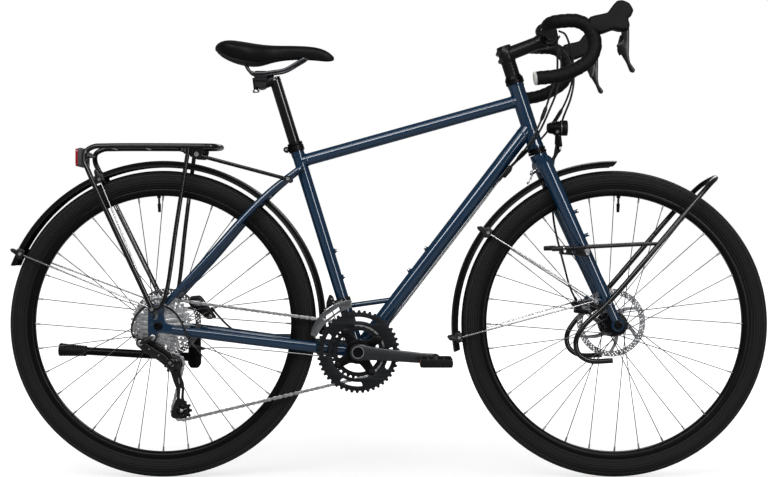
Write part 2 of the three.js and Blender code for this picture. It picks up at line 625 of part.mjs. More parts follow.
// The blade with its shift paddle, as shares of its width ahead of the pivot and of its length below it.
const leverShares = [[-0.22, 0.05], [0.28, 0.05], [0.3, -0.3], [0.28, -0.62], [0.38, -0.8], [0.72, -0.96],
  [0.62, -1.03], [0.36, -1.0], [0.1, -0.8], [-0.16, -0.66], [-0.38, -0.55], [-0.6, -0.4], [-0.44, -0.33],
  [-0.2, -0.28], [-0.26, -0.1]];
// The mouth in the hood's underside, as shares of the lever's head, wide enough for the blade to swing back.
const mouthShares = [[-1.8, -4.5], [3, -4.5], [3, 0], [1.5, 1], [-1, 0], [-1.8, -0.4]];
const hoodOrigin = moved(barCentre, hood.aheadOfBar, 0, -hood.belowBar);
const leverPivot = moved(hoodOrigin, lever.pivotShare[0] * hood.length, 0, lever.pivotShare[1] * hood.height);

function makeHood(side) {
  const middle = side * bar.halfWidth;
  const body = plate(scaled(hoodShares, hood.length, hood.height), middle - hood.halfWidth,
    middle + hood.halfWidth,
    hoodOrigin, [], hood.chamfer);
  const slot = lever.halfWidth + 2 * GAP;
  const swing = pin(leverPivot, lever.head + 2 * GAP, middle - slot, middle + slot, 16);
  const mouth = plate(scaled(mouthShares, lever.head, lever.head), middle - slot, middle + slot, leverPivot);
  const barPassage = lofted(tapeRings(side, tape.radius + clearing(0, bar.sides)));
  return cut(body, barPassage, swing, mouth);
}

function makeLever(side) {
  const middle = side * bar.halfWidth;
  const outline = scaled(leverShares, lever.width, lever.length);
  return join(
    plate(outline, middle - lever.halfWidth, middle + lever.halfWidth, leverPivot),
    pin(leverPivot, lever.head, middle - lever.halfWidth, middle + lever.halfWidth),
  );
}

// Wheels

// Places from the bead to the tread, as shares of the wall's height and of the half width.
const tyreShares = [[0, 0.55], [0.45, 1], [1, 0.3]];

function makeTyre() {
  const { radius, bead, halfWidth, segments } = tyre;
  const wall = radius - bead;
  return ring([
    ...tyreShares.map(([up, out]) => [bead + wall * up, -halfWidth * out]),
    ...tyreShares.map(([up, out]) => [bead + wall * up, halfWidth * out]).reverse(),
  ], segments);
}

function makeRim() {
  const { outer, inner, halfWidth, edge, segments } = rim;
  return ring([[inner, 0], [inner + edge, -halfWidth], [outer, -halfWidth], [outer, halfWidth],
    [inner + edge, halfWidth]], segments);
}

// A hub's shell is turned, and each spoke runs from a flange to just short of the rim.
function makeHub(hub, right, left, rotorPlane) {
  const { flange, shell: shellRadius, cap, rotorSeat, plate: thick, rightFlange, leftFlange } = hub;
  const seat = rotorPlane + rotor.thickness;
  const half = thick / 2;
  const body = ring([
    [axle.bore, right], [cap, right], [cap, -rightFlange - half], [flange, -rightFlange - half],
    [flange, -rightFlange + half], [shellRadius, -rightFlange + half], [shellRadius, leftFlange - half],
    [flange, leftFlange - half], [flange, leftFlange + half], [rotorSeat, leftFlange + half],
      [rotorSeat, seat],
    [cap, seat], [cap, left], [axle.bore, left],
  ], 10);
  const tip = rim.inner * Math.cos(Math.PI / rim.segments) - GAP;
  const wires = Array.from({ length: spokes.count }, (_, i) => {
    const side = i % 2 ? LEFT : RIGHT;
    const leads = Math.floor(i / 2) % 2 ? 1 : -1;
    const rimAngle = (i * 360) / spokes.count;
    const root = heading(rimAngle - leads * spokes.leanAngle).multiplyScalar(flange * spokes.flangeShare);
    const tipPlace = heading(rimAngle).multiplyScalar(tip);
    const plane = side === LEFT ? leftFlange : -rightFlange;
    return prism(aside(root, plane + leads * spokes.lift),
      aside(tipPlace, side * spokes.dish + leads * spokes.lift),
      spokes.radius);
  });
  return join(body, ...wires);
}

// The brake rotor: a track on six arms round a carrier, cut from one disc.
function makeRotor(plane) {
  const window = Array.from({ length: rotor.windows }, (_, i) => {
    const centre = (i / rotor.windows) * 2 * Math.PI;
    const half = Math.PI / rotor.windows;
    const spread = (radius) => half - rotor.armWidth / 2 / radius;
    const arc = (radius, turns) => turns.map((turn) => {
      const angle = centre + turn * spread(radius);
      return [radius * Math.cos(angle), radius * Math.sin(angle)];
    });
    return [...arc(rotor.track, [-1, 0, 1]), ...arc(rotor.hub, [1, -1])];
  });
  return plate(circle(rotor.outer, 22), plane - rotor.thickness / 2, plane + rotor.thickness / 2, at(0, 0, 0),
    [circle(rotor.bore, 12), ...window]);
}

function makeWheel(name, place, hub, right, left, rotorPlane) {
  const wheel = new THREE.Group();
  wheel.position.copy(place);
  add(`${name}_tyre`, makeTyre(), blackRubber, wheel);
  add(`${name}_rim`, makeRim(), blackPaint, wheel);
  add(`${name}_hub`, makeHub(hub, right, left, rotorPlane), steelWire, wheel);
  add(`${name}_disc_rotor`, makeRotor(rotorPlane), silverMetal, wheel);
  bicycle.add(wheel);
}

function makeAxle(place, face) {
  return join(pin(place, axle.radius, -face, face, axle.sides),
    pin(place, axle.headRadius, -face - axle.head, -face, axle.sides),
    pin(place, axle.headRadius, face, face + axle.head, axle.sides));
}

// Cassette: ten sprockets in steps on one carrier

const sprockets = { teeth: [11, 13, 15, 17, 19, 21, 23, 26, 30, 34], spacing: 3.95, thickness: 1.6, tooth: 2,
  smallerCount: 8, carrier: 24, largestFace: 30.1, segments: 10 };
const chain = { height: 8, width: 5.6, pulleyTeeth: 11, ringTeeth: 30, outerTeeth: 46, ringLine: 40 };
const pitchRadius = (teeth) => (teeth * PITCH) / (2 * Math.PI);
// The radius that a sprocket's body may have under the chain, whose links cross its corners.
const underChain = (teeth) => (pitchRadius(teeth) - chain.height / 2) * Math.cos(Math.PI / teeth) - GAP;
const cogLine = sprockets.largestFace + sprockets.thickness / 2 + sprockets.spacing;

function makeCassette(hubEnd, end) {
  const { teeth, spacing, thickness, tooth, smallerCount, carrier, largestFace, segments } = sprockets;
  const profile = [[axle.bore, -hubEnd], [carrier, -hubEnd], [carrier, -largestFace]];
  const last = teeth.length - 1;
  for (let i = last; i >= 0; i -= 1) {
    const radius = i === smallerCount ? underChain(teeth[i]) : pitchRadius(teeth[i]) + tooth;
    const inner = -largestFace - (last - i) * spacing;
    profile.push([radius, i === last ? inner : profile.at(-1)[1]], [radius, inner - thickness]);
  }
  profile.push([frontHub.cap, profile.at(-1)[1]], [frontHub.cap, -end], [axle.bore, -end]);
  return ring(profile, segments);
}

// Crankset

const crank = { length: 175.5, droopAngle: 5.2, rootRadius: 19, tipRadius: 13, from: 58, thickness: 13,
  spindle: 12,
  spiderOut: 45.3, spiderThickness: 2.2, boltCircle: 55, boltRadius: 8, armHalfWidth: 9, start: 46 };
const outerRing = { line: 47, thickness: 2.6, inner: 62, tooth: 4 };
const innerRing = { thickness: 2.6, inner: 47.5, shoulder: 52 };
const boltAngles = [38, 128, 218, 308]; // degrees from the arm's direction, in two narrow and two wide pairs
const pedal = { length: 72, thickness: 19, from: 80, to: 176, axle: 5, bore: 5.6, collar: 8 };
const pedalShares = [[-0.5, -0.28], [-0.44, -0.5], [0.44, -0.5], [0.5, -0.28], [0.5, 0.28], [0.44, 0.5],
  [-0.44, 0.5], [-0.5, 0.28]];
const armShares = [[0, 1], [0.15, 0.88], [0.3, 0.8], [0.85, 0.68], [0.96, 0.62]];
const boltTabs = boltAngles.map((angle) => along(at(0, 0, 0), heading(angle), crank.boltCircle));

function makeArm(side) {
  const ahead = -side;
  const edge = scaled(armShares, ahead * crank.length, crank.rootRadius);
  const outline = [...edge, ...edge.map(([x, z]) => [x, -z]).reverse()];
  const tip = at(ahead * crank.length, 0, 0);
  const [inner, outer] = [side * crank.from, side * (crank.from + crank.thickness)];
  return join(
    plate(outline, inner, outer),
    pin(at(0, 0, 0), crank.rootRadius, side * crank.start, outer, 12),
    pin(tip, crank.tipRadius, inner, outer, 10),
    pin(tip, pedal.axle, inner, side * (pedal.to - GAP), 8),
    pin(tip, pedal.collar, inner, side * (pedal.from - GAP), 8),
  );
}

function makeRightCrank() {
  const tabFaces = [-crank.spiderOut, -crank.spiderOut + crank.spiderThickness];
  const arms = boltTabs.map((tab) => {
    const across = tab.clone().normalize().cross(ACROSS).multiplyScalar(crank.armHalfWidth);
    const foot = across.clone().multiplyScalar(1.6);
    return plate([[foot.x, foot.z], [tab.x + across.x, tab.z + across.z],
      [tab.x - across.x, tab.z - across.z],
      [-foot.x, -foot.z]], ...tabFaces);
  });
  const carrier = pin(at(0, 0, 0), crank.rootRadius * 1.5, tabFaces[1],
    -crank.spiderOut - crank.spiderThickness, 12);
  const bolts = boltTabs.map((tab) => pin(tab, crank.boltRadius, ...tabFaces, 6));
  const hub = cut(join(carrier, ...arms, ...bolts),
    pin(at(0, 0, 0), clearing(shell.cupRadius, shell.sides), tabFaces[1], -crank.start, shell.sides));
  return join(makeArm(RIGHT), hub, pin(at(0, 0, 0), crank.spindle, RIGHT * crank.start,
    LEFT * (crank.from + GAP), shell.sides));
}

function makeLeftCrank() {
  const socket = pin(at(0, 0, 0), clearing(crank.spindle, shell.sides), 0, LEFT * (crank.from + 2 * GAP),
    shell.sides);
  return cut(makeArm(LEFT), socket);
}

function makeOuterRing() {
  const { line, thickness, inner, tooth } = outerRing;
  const count = chain.outerTeeth;
  const [near, far] = [-line - thickness / 2, -line + thickness / 2];
  const tabs = boltTabs.map((tab) => pin(tab, crank.boltRadius, near, far, 6));
  return join(plate(circle(pitchRadius(count) + tooth / 2, count), near, far, at(0, 0, 0),
    [circle(inner, 16)]), ...tabs);
}

// The inner ring, with a shoulder that stands against the spider.
function makeInnerRing() {
  const { thickness, inner, shoulder } = innerRing;
  const [near, far] = [-chain.ringLine - thickness / 2, -chain.ringLine + thickness / 2];
  const seat = -crank.spiderOut + crank.spiderThickness + GAP;
  const outer = underChain(chain.ringTeeth);
  return ring([[inner, seat], [shoulder, seat], [shoulder, near], [outer, near], [outer, far], [inner, far]],
    18);
}

function makePedal(side) {
  const body = plate(scaled(pedalShares, pedal.length, pedal.thickness), side * pedal.from, side * pedal.to,
    at(0, 0, 0), [], cupLip);
  return cut(body, pin(at(0, 0, 0), pedal.bore, 0, side * (pedal.to + PASS), 8));
}

// Chain: one loop round the inner ring, the lower pulley, the upper pulley and a sprocket

const pulleyPlaces = { upperAhead: 30, upperBelow: 89.5, lowerAhead: 47.5, lowerBelow: 197 };
const upperPulley = moved(rearAxle, pulleyPlaces.upperAhead, -cogLine, -pulleyPlaces.upperBelow);
const lowerPulley = moved(rearAxle, pulleyPlaces.lowerAhead, -cogLine, -pulleyPlaces.lowerBelow);
const pulley = { bore: 3.6, pin: 2.8, thickness: 2.4, hub: 9, sides: 14 };

// The loop's places, one for each link, as points with their directions.
function chainStations() {
  const wheels = [
    { centre: aside(bottomBracket, -chain.ringLine), radius: pitchRadius(chain.ringTeeth), turn: 1 },
    { centre: lowerPulley, radius: pitchRadius(chain.pulleyTeeth), turn: 1 },
    { centre: upperPulley, radius: pitchRadius(chain.pulleyTeeth), turn: -1 },
    { centre: aside(rearAxle, -cogLine), radius: pitchRadius(sprockets.teeth[sprockets.smallerCount]),
      turn: 1 },
  ];
  const left = (angle) => at(-Math.sin(angle), 0, Math.cos(angle));
  const runs = wheels.map((from, i) => {
    const to = wheels[(i + 1) % wheels.length];
    const between = to.centre.clone().sub(from.centre);
    const distance = Math.hypot(between.x, between.z);
    const lean = Math.asin((from.turn * from.radius - to.turn * to.radius) / distance);
    const angle = Math.atan2(between.z, between.x) - lean;
    return {
      angle,
      start: along(from.centre, left(angle), from.turn * from.radius),
      end: along(to.centre, left(angle), to.turn * to.radius),
    };
  });
  const pieces = wheels.flatMap((wheel, i) => {
    const arriving = runs[(i + wheels.length - 1) % wheels.length].angle;
    const leaving = runs[i].angle;
    const full = 2 * Math.PI;
    const swing = wheel.turn > 0 ? -((arriving - leaving + 2 * full) % full) : (leaving - arriving + 2 * full) % full;
    const bend = {
      length: Math.abs(swing) * wheel.radius,
      place: (share) => {
        const angle = arriving + swing * share;
        return { point: along(wheel.centre, left(angle), wheel.turn * wheel.radius), angle };
      },
    };
    const run = runs[i];
    const straight = {
      length: run.start.distanceTo(run.end),
      place: (share) => ({ point: run.start.clone().lerp(run.end, share), angle: run.angle }),
    };
    return [bend, straight];
  });
  const total = pieces.reduce((sum, piece) => sum + piece.length, 0);
  const links = 2 * Math.round(total / PITCH / 2);
  return Array.from({ length: links }, (_, i) => {
    let distance = (i / links) * total;
    const piece = pieces.find((candidate) => {
      if (distance <= candidate.length) return true;
      distance -= candidate.length;
      return false;
    });
    return piece.place(distance / piece.length);
  });
}

function makeChain() {
  const links = chainStations();
  // A straight run keeps only its end stations.
  const turns = (i) => links[i].angle !== links.at(i - 1).angle || links[i].angle !== links[(i + 1) % links.length].angle;
  const stations = links.filter((_, i) => turns(i));
  const corners = stations.flatMap(({ point, angle }) => {
    const up = at(-Math.sin(angle), 0, Math.cos(angle)).multiplyScalar(chain.height / 2);
    const out = ACROSS.clone().multiplyScalar(chain.width / 2);
    return [[1, 1], [1, -1], [-1, -1], [-1, 1]].map(([u, v]) => along(along(point, up, u), out, v));
  });
  const faces = [];
  const count = stations.length;
  for (let i = 0; i < count; i += 1) {
    const next = ((i + 1) % count) * 4;
    for (let k = 0; k < 4; k += 1) {
      const [a, b, c, d] = [i * 4 + k, i * 4 + ((k + 1) % 4), next + k, next + ((k + 1) % 4)];
      faces.push(a, b, c, b, d, c);
    }
  }
  const geometry = new THREE.BufferGeometry().setFromPoints(corners);
  geometry.setIndex(faces);
  return solid(geometry);
}

function makePulley() {
  const { thickness, hub, bore, sides } = pulley;
  const outer = underChain(chain.pulleyTeeth);
  return ring([[bore, -thickness / 2], [outer, -thickness / 2], [outer, thickness / 2], [hub, thickness / 2],
    [hub, hub / 4], [bore, hub / 4]], sides);
}

// Rear derailleur: two knuckles on a link, and the cage that carries the pulleys

const derailleur = { plateGap: 4.1, plate: 1.5, knuckle: 11, pivot: 17, cageOut: 62, bodyOut: 84 };
const cage = { width: 40, height: 108 };
const cageShares = [[-0.3, 0.12], [0.22, 0.14], [0.72, -0.1], [0.86, -0.3], [0.5, -0.75], [0.86, -0.95],
  [0.8, -1.13],
  [-0.1, -1.16], [-0.16, -1.0], [0.16, -0.8], [0.3, -0.4], [-0.2, -0.12]];
const outerJog = { back: 39, up: -39 };

function makeRearDerailleur() {
  const { plateGap, plate: thick, knuckle, pivot, cageOut, bodyOut } = derailleur;
  const outline = scaled(cageShares, cage.width, cage.height);
  const [nearIn, nearOut] = [-cogLine - plateGap, -cogLine - plateGap - thick];
  const [farIn, farOut] = [-cogLine + plateGap, -cogLine + plateGap + thick];
  const hangerFace = -dropoutFace - DROPOUT_THICKNESS;
  const shoulder = moved(rearAxle, -outerJog.back, 0, outerJog.up);
  return join(
    plate(outline, nearIn, nearOut, upperPulley),
    plate(outline, farIn, farOut, upperPulley),
    pin(upperPulley, pulley.pin, nearOut, farOut, 10),
    pin(lowerPulley, pulley.pin, nearOut, farOut, 10),
    pin(upperPulley, pivot, nearIn - thick / 2, -cageOut, 12),
    rod(aside(upperPulley, -cageOut + knuckle), aside(shoulder, -bodyOut + knuckle), knuckle, knuckle, 8),
    pin(shoulder, knuckle, -bodyOut + 2 * knuckle, -bodyOut, 10),
    rod(aside(shoulder, hangerFace - pulley.bore - GAP), aside(hangerPlace, hangerFace - pulley.bore - GAP),
      pulley.bore, pulley.bore, 8),
    pin(hangerPlace, knuckle * 0.8, hangerFace - GAP, hangerFace - knuckle * 0.8, 10),
  );
}

// Front derailleur: a cage over the outer ring, carried by a band on the seat tube

const mech = { inner: 97, outer: 120, startAngle: 98, endAngle: 161, nearIn: 43.8, farIn: 35.9, plate: 1.2,
  steps: 5,
  bandRadius: 18, bandUp: 118, band: 16, arm: 8 };

function makeFrontDerailleur() {
  const turn = (i) => mech.startAngle + ((mech.endAngle - mech.startAngle) * i) / mech.steps;
  const rim = (radius) => Array.from({ length: mech.steps + 1 }, (_, i) => {
    const place = heading(turn(i)).multiplyScalar(radius);
    return [place.x, place.z];
  });
  const outline = [...rim(mech.outer), ...rim(mech.inner).reverse()];
  const roofAt = heading(turn(2)).multiplyScalar(mech.outer);
  const tailAt = heading(turn(mech.steps)).multiplyScalar((mech.inner + mech.outer) / 2);
  const band = onSeatTube(mech.bandUp);
  const roof = moved(bottomBracket, roofAt.x, 0, roofAt.z);
  return cut(join(
    plate(outline, -mech.nearIn - mech.plate, -mech.nearIn, bottomBracket),
    plate(outline, -mech.farIn, -mech.farIn + mech.plate, bottomBracket),
    pin(roof, mech.arm / 2, -mech.nearIn - mech.plate, -mech.farIn + mech.plate, 6),
    pin(moved(bottomBracket, tailAt.x, 0, tailAt.z), mech.arm / 4, -mech.nearIn - mech.plate,
      -mech.farIn + mech.plate, 6),
    rod(aside(roof, -mech.farIn + mech.plate / 2), aside(band, -mech.bandRadius), mech.arm, mech.arm, 6),
    rod(along(band, seatUp, -mech.band / 2), along(band, seatUp, mech.band / 2), mech.bandRadius,
      mech.bandRadius, 12),
  ), seatTubeClearance);
}

// Disc calipers: each straddles its rotor and stands on the frame or fork beside it

const caliper = { width: 44, height: 34, inner: 12, outer: 9.2, slot: 2 };
const rearCaliperShares = [[-0.1, 1.05], [0.42, 1.1], [0.62, 0.8], [1.3, -0.45], [0.9, -0.6], [0.2, 0.2],
  [-0.2, 0.55]];
const frontCaliperShares = [[-0.5, -0.3], [-0.42, 0.42], [-0.1, 0.6], [0.9, 0.62], [0.98, 0.1], [0.3, -0.42]];
const caliperPlaces = { rearAhead: 59, rearUp: 26, frontBack: 66, frontUp: 33 };
const rearCaliperPlace = moved(rearAxle, caliperPlaces.rearAhead, 0, caliperPlaces.rearUp);
const frontCaliperPlace = moved(frontAxle, -caliperPlaces.frontBack, 0, caliperPlaces.frontUp);

function makeCaliper(shares, place, wheelPlace, plane, ...clearances) {
  const slot = pin(wheelPlace, rotor.outer + 2 * GAP, plane - caliper.slot, plane + caliper.slot, 36);
  const body = plate(scaled(shares, caliper.width, caliper.height), plane - caliper.inner,
    plane + caliper.outer, place, [], cupLip);
  return cut(body, slot, ...clearances);
}

// Fenders, and the wire stays that hold them

const wire = { radius: 2.2, sides: 5, bridgeDepth: 1.2, bridgeAngle: 0.4, clearance: 1.9, standoff: 4 };
const fenderShares = [[-1, -1], [-0.82, -0.3], [0, 0], [0.82, -0.3], [1, -1]];

function fenderSection(lift, wall, halfWidth, depth) {
  const outer = fenderShares.map(([x, y]) => [x * halfWidth, y * depth + lift]);
  const inner = fenderShares.map(([x, y]) => [x * (halfWidth - wall),
    y * (depth - (y > -1 ? wall : 0)) + lift - (y > -1 ? wall : 0)]);
  return pathOf(THREE.Shape, [...outer, ...inner.reverse()]);
}

function makeFender(centre, from, to, steps) {
  return swept(levelled(new Arc(centre, fender.radius, from, to)),
    fenderSection(0, fender.wall, fender.halfWidth, fender.depth), steps);
}

// Each stay runs from a bridge inside the fender to the eyelet, on both sides of the wheel.
function makeStays(centre, angles, eye, face) {
  const parts = [];
  const eyeOut = face + wire.standoff;
  const reachOut = fender.halfWidth + wire.radius + GAP;
  const clip = fender.radius - fender.depth - wire.radius - wire.clearance;
  const bridgeLift = fender.wall + wire.clearance;
  for (const angle of angles) {
    parts.push(swept(levelled(new Arc(centre, fender.radius - bridgeLift, angle - wire.bridgeAngle,
      angle + wire.bridgeAngle)),
      fenderSection(0, wire.bridgeDepth, fender.halfWidth - bridgeLift, fender.depth), 1));
    for (const side of [RIGHT, LEFT]) {
      const low = aside(along(centre, heading(angle), clip),
        side * (fender.halfWidth - bridgeLift - wire.bridgeDepth));
      const knee = aside(along(centre, heading(angle), clip), side * reachOut);
      parts.push(rod(low, knee, wire.radius, wire.radius, wire.sides));
      parts.push(rod(knee, aside(eye, side * eyeOut), wire.radius, wire.radius, wire.sides));
    }
  }
  for (const side of [RIGHT, LEFT]) {
    parts.push(pin(eye, 2 * wire.radius, side * (face + GAP), side * (eyeOut + wire.radius), 8));
  }
  return join(...parts);
}

// Rear rack: one bent tube for the rails and rear legs, with front legs, slats and struts

const rack = { radius: 6, legRadius: 5, slatRadius: 4, strutRadius: 3.5, railOut: 52, overTyre: 54, sides: 5,
  behindAxle: 171, aheadOfAxle: 132, footOut: 90, frontLegs: 66, footAhead: 27, footUp: 11, eyelet: 9 };
const slatShares = [0.18, 0.44, 0.71]; // of the rack's length, from its rear end
rack.top = rearAxle.z + tyre.radius + rack.overTyre;
rack.rear = rearAxle.x - rack.behindAxle;
rack.front = rearAxle.x + rack.aheadOfAxle;
const strut = { ahead: 83, up: 390, out: 46, stayShare: 0.1 };
const reflector = { behindRack: 9, depth: 16, halfWidth: 44, height: 46, below: 48, chamfer: 3 };

function makeRack() {
  const { radius, legRadius, slatRadius, strutRadius, railOut, top, sides, rear, front, footOut } = rack;
  const half = (side) => [
    at(eyeletPlace.x, side * footOut, eyeletPlace.z),
    at(rear + 1.5 * radius, side * (railOut + 2 * radius), top - 9 * radius),
    at(rear, side * (railOut + radius), top - 5 * radius),
    at(rear + radius / 2, side * railOut, top - 2 * radius),
    at(rear + 3.5 * radius, side * railOut, top - radius / 4),
    at(rear + 7 * radius, side * railOut, top),
    at(front - 7 * radius, side * railOut, top),
    at(front - 2 * radius, side * railOut * 0.85, top),
    at(front, side * railOut * 0.4, top),
  ];
  const parts = [bent([...half(RIGHT), ...half(LEFT).reverse()], radius, sides)];
  for (const share of slatShares) {
    parts.push(pin(at(rear + share * (front - rear), 0, top), slatRadius, -railOut, railOut, sides));
  }
  for (const side of [RIGHT, LEFT]) {
    const foot = aside(eyeletPlace, side * footOut);
    const frontFoot = moved(foot, rack.footAhead, 0, rack.footUp);
    const strutTop = moved(rearAxle, strut.ahead, side * strut.out, strut.up);
    const strutFoot = strutSeat(side);
    const railPoint = at(rearAxle.x + rack.frontLegs, side * railOut, top);
    parts.push(rod(railPoint, frontFoot, legRadius, legRadius, sides));
    parts.push(rod(foot, frontFoot, legRadius, legRadius, sides));
    parts.push(rod(strutTop, strutFoot, strutRadius, strutRadius, sides));
    parts.push(rod(strutTop, railPoint, legRadius, legRadius, sides));
    parts.push(pin(strutFoot, 2 * strutRadius, strutFoot.y - strutRadius, strutFoot.y + strutRadius, sides));
    parts.push(pin(eyeletPlace, rack.eyelet,
      side * (dropoutFace + DROPOUT_THICKNESS + wire.standoff + wire.radius + GAP), side * (footOut + radius),
        10));
  }
  const shelf = at(rear, 0, top - 3 * radius);
  parts.push(pin(shelf, slatRadius, -railOut - radius, railOut + radius, sides));
  parts.push(plate([[GAP - reflector.behindRack, -5 * radius], [0, -2 * radius], [0, radius],
    [GAP - reflector.behindRack, 2 * radius]], -3 * radius, 3 * radius, shelf));
  return cut(join(...parts), seatstayBody(RIGHT, GAP), seatstayBody(LEFT, GAP));
}

function strutSeat(side) {
  const place = seatstayCurve(side).getPointAt(strut.stayShare);
  return moved(place, 0, side * (seatstay.radius + rack.strutRadius), 0);
}

function makeReflector() {
  const { behindRack, depth, halfWidth, height, below, chamfer } = reflector;
  const back = rack.rear - behindRack - depth;
  const shape = new THREE.Shape([[-halfWidth, 0], [halfWidth, 0], [halfWidth, height], [-halfWidth, height]]
    .map(([y, z]) => new THREE.Vector2(y, z)));
  const geometry = new THREE.ExtrudeGeometry(shape,
    { depth: depth - 2 * chamfer, bevelEnabled: true, bevelSegments: 1,
    bevelSize: chamfer, bevelOffset: -chamfer, bevelThickness: chamfer });
  const turn = new THREE.Matrix4().makeBasis(at(0, 1, 0), at(0, 0, 1), at(1, 0, 0));
  geometry.applyMatrix4(turn.setPosition(at(back + chamfer, 0, rack.top - below)));
  return solid(geometry);
}

// Low-rider rack: one hoop over the front wheel, with a strut and bosses on each side

const lowRider = { radius: 6, strutRadius: 4, out: 77, sides: 5, width: 331, height: 416, behindAxle: 99,
  below: 79 };
// Places down one side, as shares of the width ahead, of the height up and of the distance out.
const lowRiderShares = [[0.25, 0, 1], [0.09, 0, 1], [0.015, 0.04, 1], [0, 0.11, 1], [0.055, 0.19, 1],
  [0.215, 0.31, 1],
  [0.57, 0.635, 0.98], [0.79, 0.84, 0.88], [0.94, 0.965, 0.6], [1, 1, 0.2]];
const lowStrut = { behind: 154, ahead: 87, rearUp: 174, frontUp: 186, tabBack: 45, tabAhead: 7, tabLow: 8,
  tabHigh: 14 };
const bladeBossUp = 180;
const lowBossUp = 56;

function makeLowRider() {
  const { radius, strutRadius, out, sides, width, height, behindAxle, below } = lowRider;
  const { tabBack, tabAhead, tabLow, tabHigh } = lowStrut;
  const half = (side) => lowRiderShares.map(([x, z, y]) =>
    moved(frontAxle, x * width - behindAxle, side * y * out, z * height - below));
  const parts = [bent([...half(RIGHT), ...half(LEFT).reverse()], radius, sides)];
  const holes = [];
  for (const side of [RIGHT, LEFT]) {
    parts.push(rod(moved(frontAxle, -lowStrut.behind, side * out, lowStrut.rearUp),
      moved(frontAxle, lowStrut.ahead, side * out, lowStrut.frontUp), strutRadius, strutRadius, sides));
    const high = along(frontAxle, bladeUp, bladeBossUp);
    const tab = plate([[-tabBack, -tabLow], [tabAhead, -tabLow], [tabAhead, tabHigh], [-tabBack, tabHigh]],
      side * (out - strutRadius / 2), side * (out + strutRadius / 2), high);
    parts.push(tab, pin(high, strutRadius, side * blade.footOut, side * out, 10));
    parts.push(pin(along(frontAxle, bladeUp, lowBossUp), strutRadius, side * blade.footOut, side * out, 10));
    holes.push(bladeClearance(side));
  }
  return cut(join(...parts), ...holes);
}

// Headlight on its wire bracket

const lamp = { radius: 18, ahead: 10, length: 47, overCrown: 84.5, neck: 8, wire: 4 };

function makeHeadlight() {
  const { radius, ahead, length, overCrown, neck, wire: bracket } = lamp;
  const rear = moved(crownPlace, ahead, 0, overCrown);
  const profile = [[0, 0], [radius * 0.6, 0], [radius * 0.94, length * 0.3], [radius, length * 0.7],
    [radius, length], [0, length]];
  const points = profile.map(([r, x]) => new THREE.Vector2(r, x));
  const body = solid(placed(new THREE.LatheGeometry(points, 16), rear, at(1, 0, 0)));
  const chin = moved(rear, length / 2, 0, bracket - radius);
  const elbow = at(chin.x + bracket / 2, 0, crownPlace.z + crown.radius + neck);
  return cut(join(body, rod(chin, elbow, bracket, bracket, 8), rod(elbow, crownPlace, bracket, bracket, 8)),
    crownClearance, clearRod(onSteerer(crown.up - forkLength), crownSeat, crown.seatRadius),
      headTubeClearance);
}

// Kickstand: a leg folded back beside the wheel, with a rubber foot, turning on a pin through the plate

function makeKickstand() {
  const { knuckle, legRadius, leg, foot, footRadius } = stand;
  const hub = along(standHub, standAxis, legRadius);
  const end = moved(hub, -leg, 0, 2 * legRadius);
  const footStart = hub.clone().lerp(end, 1 - foot / leg);
  return join(
    rod(standHub, along(standHub, standAxis, 2 * legRadius), knuckle, knuckle, 14),
    rod(hub, end, legRadius * 0.8, legRadius * 0.8, 10),
    rod(footStart, end, footRadius * 0.85, footRadius, 10),
  );
}

// Cables: each is held along its whole route, and keeps its points as they lie

const cable = { radius: 2.5, sides: 6 };
const tapeEnd = tapeFrom - 2 * cable.radius;
const barFront = bar.radius + cable.radius + GAP * 2;
const underTube = downTube.radius + cable.radius + GAP * 3;
const onUnderside = (distance, y) => aside(along(onDownTube(distance), downTubeUnder, underTube), y);
const underShell = (degrees, y) =>
  aside(along(bottomBracket, heading(degrees), shell.cupRadius + 2.6 * cable.radius), y);

function makeCable(points, steps) {
  return tube(points, cable.radius, cable.sides, steps);
}

function frontBrakeRoute() {
  return [
    moved(barCentre, barFront, tapeEnd, 0), moved(barCentre, barFront + 16, 60, -8), at(424, 44, 975),
      at(434, 33, 929),
    at(428, 34, 885), at(408, 44, 828), at(395, 60, 765), at(388, 67, 700), at(388, 68, 640),
      at(392, 66, 590),
    at(402, 62, 540), at(414, 55, 490), at(425, 48, 445), at(434, 43, 421), at(442.5, 41, 405.4),
  ];
}

function rearBrakeRoute() {
  return [
    moved(barCentre, barFront, -tapeEnd, 5), moved(barCentre, barFront + 18, -58, 0), at(421, -40, 968),
    at(424, -20, 924), at(414, 0, 878), at(390, 20, 830), at(356, 29, 785), at(312, 27, 748),
      onUnderside(530, 14),
    onUnderside(450, 9), onUnderside(300, 9), onUnderside(150, 10), onUnderside(60, 12), underShell(-40, 13),
    underShell(-70, 14), underShell(-100, 16), at(-104, 22, 268), at(-140, 30, 279), at(-200, 42, 291),
    at(-270, 56, 301), at(-330, 67, 316), at(-372, 72, 338), at(-403, 69, 368), at(-419.7, 60, 389.4),
  ];
}

function frontShiftRoute() {
  return [
    moved(barCentre, barFront, tapeEnd, 8), moved(barCentre, barFront + 5, 56, 6), at(402, 34, 985),
      at(402, 16, 945),
    at(390, -4, 895), at(371, -20, 850), at(350, -28, 805), at(326, -29, 765), at(302, -20, 738),
      onUnderside(530, -6),
    onUnderside(450, 0), onUnderside(300, 0), onUnderside(150, 0), onUnderside(60, 0), underShell(-40, 0),
    underShell(-70, 0), underShell(-100, 0), underShell(-130, 0), underShell(-155, -2), at(-104, -8, 318),
    at(-116, -15, 352), at(-127, -20, 376), at(-131, -22, 392),
  ];
}

